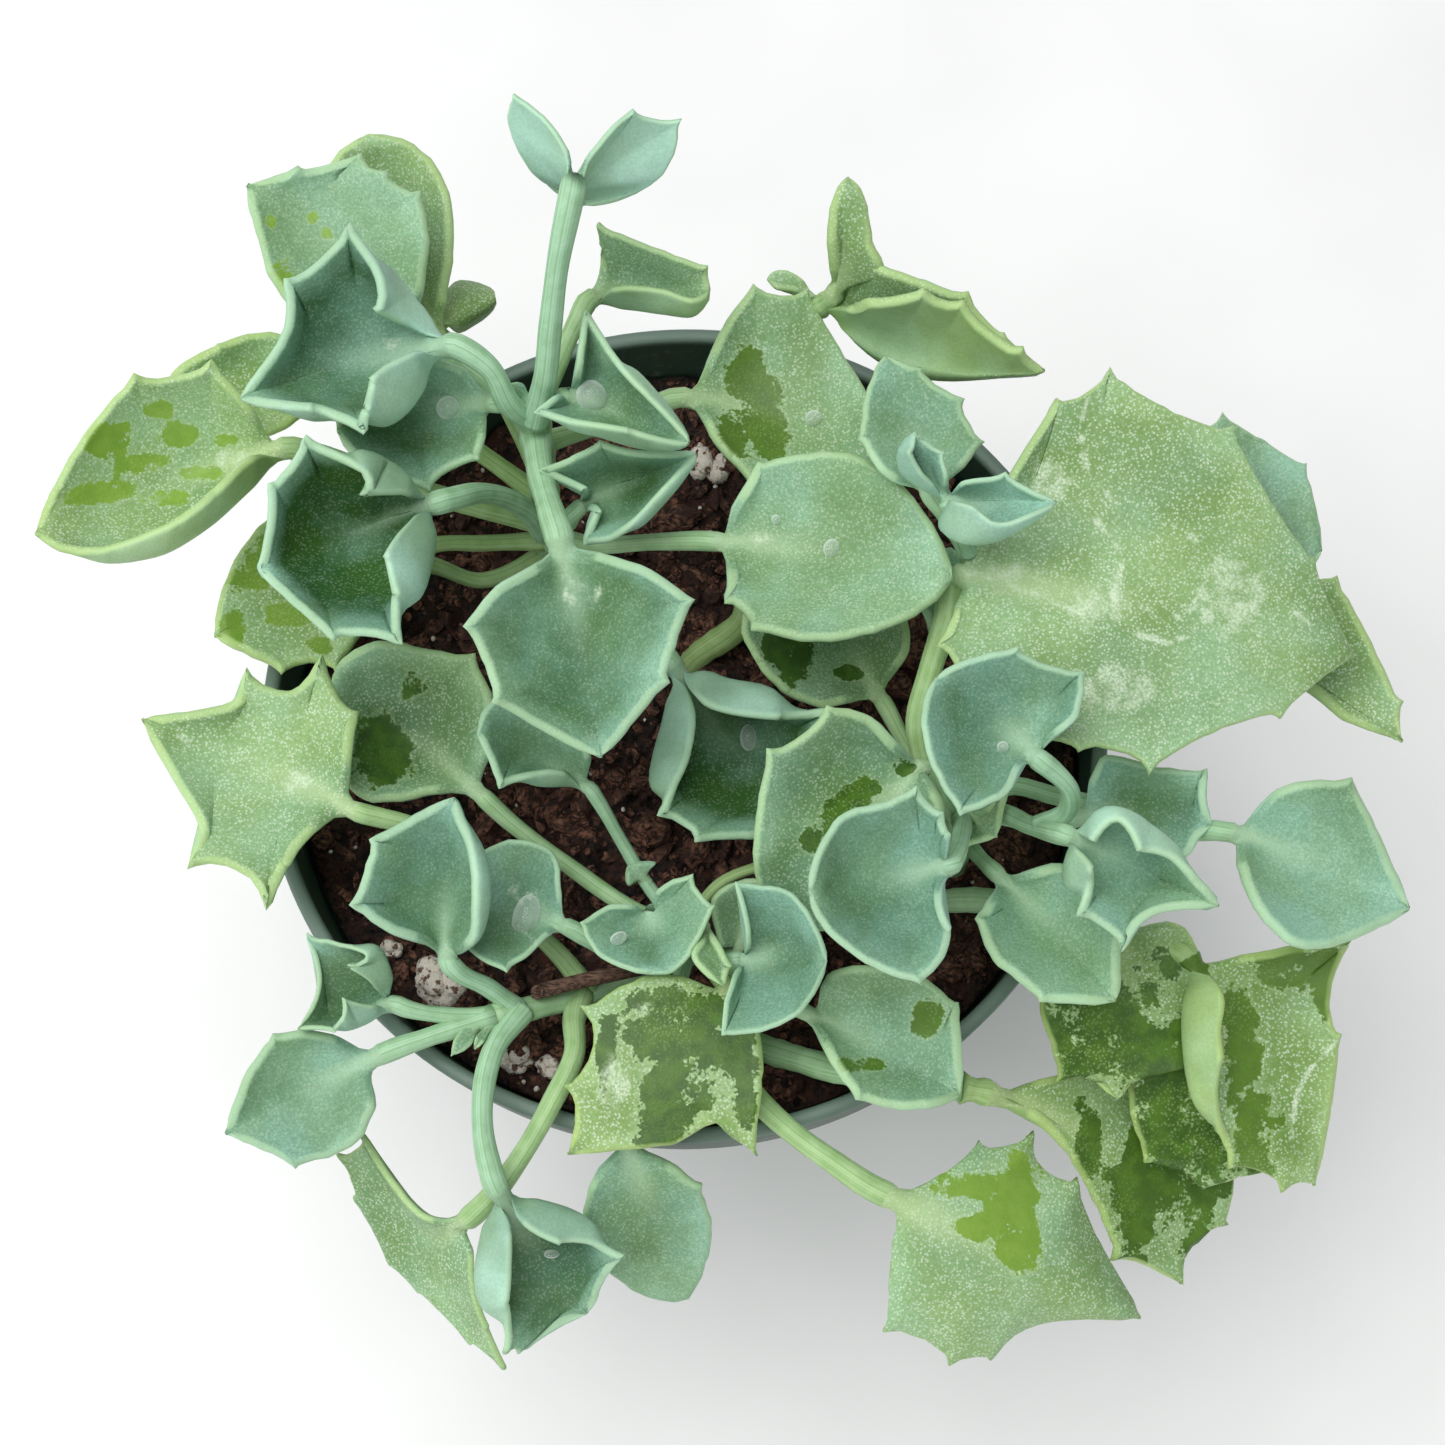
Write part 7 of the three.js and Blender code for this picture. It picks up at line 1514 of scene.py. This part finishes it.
twig_path = smooth_path(seen(TWIG_POINTS), TWIG_STEP)
twig_side, twig_up = carried(twig_path, np.array([0, 0, 1.0]))
twig_angles = -np.arange(TWIG_SIDES) / TWIG_SIDES * 2 * math.pi
twig_ridges = 1 + 0.07 * np.sin(5 * twig_angles) + 0.04 * np.sin(11 * twig_angles)
outside = around(twig_path, twig_side, twig_up, TWIG_RADIUS, twig_angles)
outside = twig_path[:, None] + (outside - twig_path[:, None]) * twig_ridges[:, None]
hollow = around(twig_path, twig_side, twig_up, TWIG_PITH, twig_angles)[-1:-5:-1]
rise = twig_side[-1, 2] * np.cos(twig_angles) + twig_up[-1, 2] * np.sin(twig_angles)
slant = (TWIG_CUT * (1 + rise))[:, None] * unit(twig_path[-1] - twig_path[-2])
outside[-1] -= slant
hollow[0] -= slant
twig = add_mesh("dry_twig", skin(np.concatenate([outside, hollow])), dry_fibre())
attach(twig, "root")
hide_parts("dead_twig")

# The water drops
# Clear beads of water that stand on the waxy leaves. Each is a lens that is half sunk in its leaf's surface.
# A drop is (leaf, u, v, half width, half length, turn in degrees).

DROPS = [
    ("left_cup", -35, 40.5, 1.6, 1.6, 0),
    ("crown_folded", -16.5, 42.5, 2, 2, 0),
    ("washed_upper", 12.5, 39.3, 1.1, 1.1, 0),
    ("round_flat", 14.3, 21.9, 1, 1.2, 20),
    ("round_flat", 6.5, 26.8, 0.6, 0.6, 0),
    ("centre_folded", 3.7, -2.1, 1.1, 1.75, 0),
    ("front_hanging_fold", -21.8, -68.4, 1, 0.5, 0),
    ("droplet_cup", -25.3, -25, 1.7, 3, 15),
    ("blue_heart", 36, -3.7, 0.7, 0.7, 0),
    ("small_heart", -13.5, -28, 1.2, 0.8, -20),
]
DROP_RISE = 0.5
DROP_RINGS = 14
DROP_SIDES = 28


def clear_water():
    """Clear water: a lens that shows the leaf through its middle, with a painted reflection towards its edge:
    a whitish colour that grows more opaque there.
    """
    material, shader = new_material(
        "clear_water", Base_Color=colour(236, 248, 240), Roughness=0.04, IOR=1.33, Coat_Weight=1.0
    )
    # Painted reflection: the whitish base colour shows more towards the edge, where the alpha rises, standing
    # in for the light the bead reflects.
    painted_edge_gleam = add_node(shader, "LayerWeight", {"Blend": 0.5}, "Facing")
    link(shader, step(shader, painted_edge_gleam, 0.1, 0.8, 0.2, 1.0), "Alpha")
    return material


def water_drop(name, u, v, half_width, half_length, turn):
    """A flattened ball, turned to lie in the leaf's surface at the point that is seen nearest to (u, v)."""
    sight, points, normals = upper_faces[name]
    row, column = np.unravel_index(np.hypot(sight[..., 0] - u, sight[..., 1] - v).argmin(), sight.shape[:2])
    normal = normals[row, column]
    turn = math.radians(turn)
    along = unit(np.cross(normal, np.cross(sight_up * math.cos(turn) + sight_right * math.sin(turn), normal)))
    across = np.cross(along, normal)
    axes = np.stack([across * half_width, along * half_length, normal * DROP_RISE * half_width * 2])
    ball, quads, triangles = pebble(DROP_RINGS, DROP_SIDES)
    return ball @ axes + points[row, column], quads, triangles


water = add_mesh("water_drops", merged([water_drop(*drop) for drop in DROPS]), clear_water())
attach(water, "root")

# The studio
# A plain pale floor under the pot, a wide soft light over it, and weaker ones from the left and the front.

FLOOR_SIZE = 4000
SKY_COLOUR = (0.93, 0.96, 1.0, 1)
SKY_STRENGTH = 0.37


def pale_floor():
    """Matt off-white paper, a little uneven."""
    material, shader = new_material("pale_floor", Roughness=0.9)
    shade = step(shader, noise(shader, 60, 2), 0.3, 0.7)
    link(shader, mixed(shader, shade, colour(240, 240, 238), colour(246, 246, 244)), "Base Color")
    return material


half = FLOOR_SIZE / 2
corners = np.array([(-half, -half, 0), (half, -half, 0), (half, half, 0), (-half, half, 0)], float)
floor = add_mesh("floor", (corners, np.array([[0, 1, 2, 3]]), np.zeros((0, 3), int)), pale_floor())

# Each light: its place and size in millimetres, and its power in watts. All aim at the middle of the plant.
LIGHTS = {
    "sky": ((-200, 100, 900), 700, 6.6),
    "left": ((-800, -200, 500), 500, 2.2),
    "front": ((200, -900, 500), 500, 2.0),
}
aim = np.array([0, 0, 90])
for name, (place, size, power) in LIGHTS.items():
    lamp_data = bpy.data.lights.new(name, "AREA")
    lamp_data.size = size * MM
    lamp_data.energy = power
    lamp = bpy.data.objects.new(name, lamp_data)
    bpy.context.scene.collection.objects.link(lamp)
    away = unit(np.array(place) - aim)
    side = unit(np.cross([0, 1, 0.01], away))
    turn = Matrix(np.column_stack([side, np.cross(away, side), away])).to_4x4()
    lamp.matrix_world = Matrix.Translation(np.array(place) * MM) @ turn

world = bpy.data.worlds.new("studio")
world.use_nodes = True
background = world.node_tree.nodes["Background"]
background.inputs["Color"].default_value = SKY_COLOUR
background.inputs["Strength"].default_value = SKY_STRENGTH
bpy.context.scene.world = world
bpy.context.scene.view_settings.view_transform = "Standard"
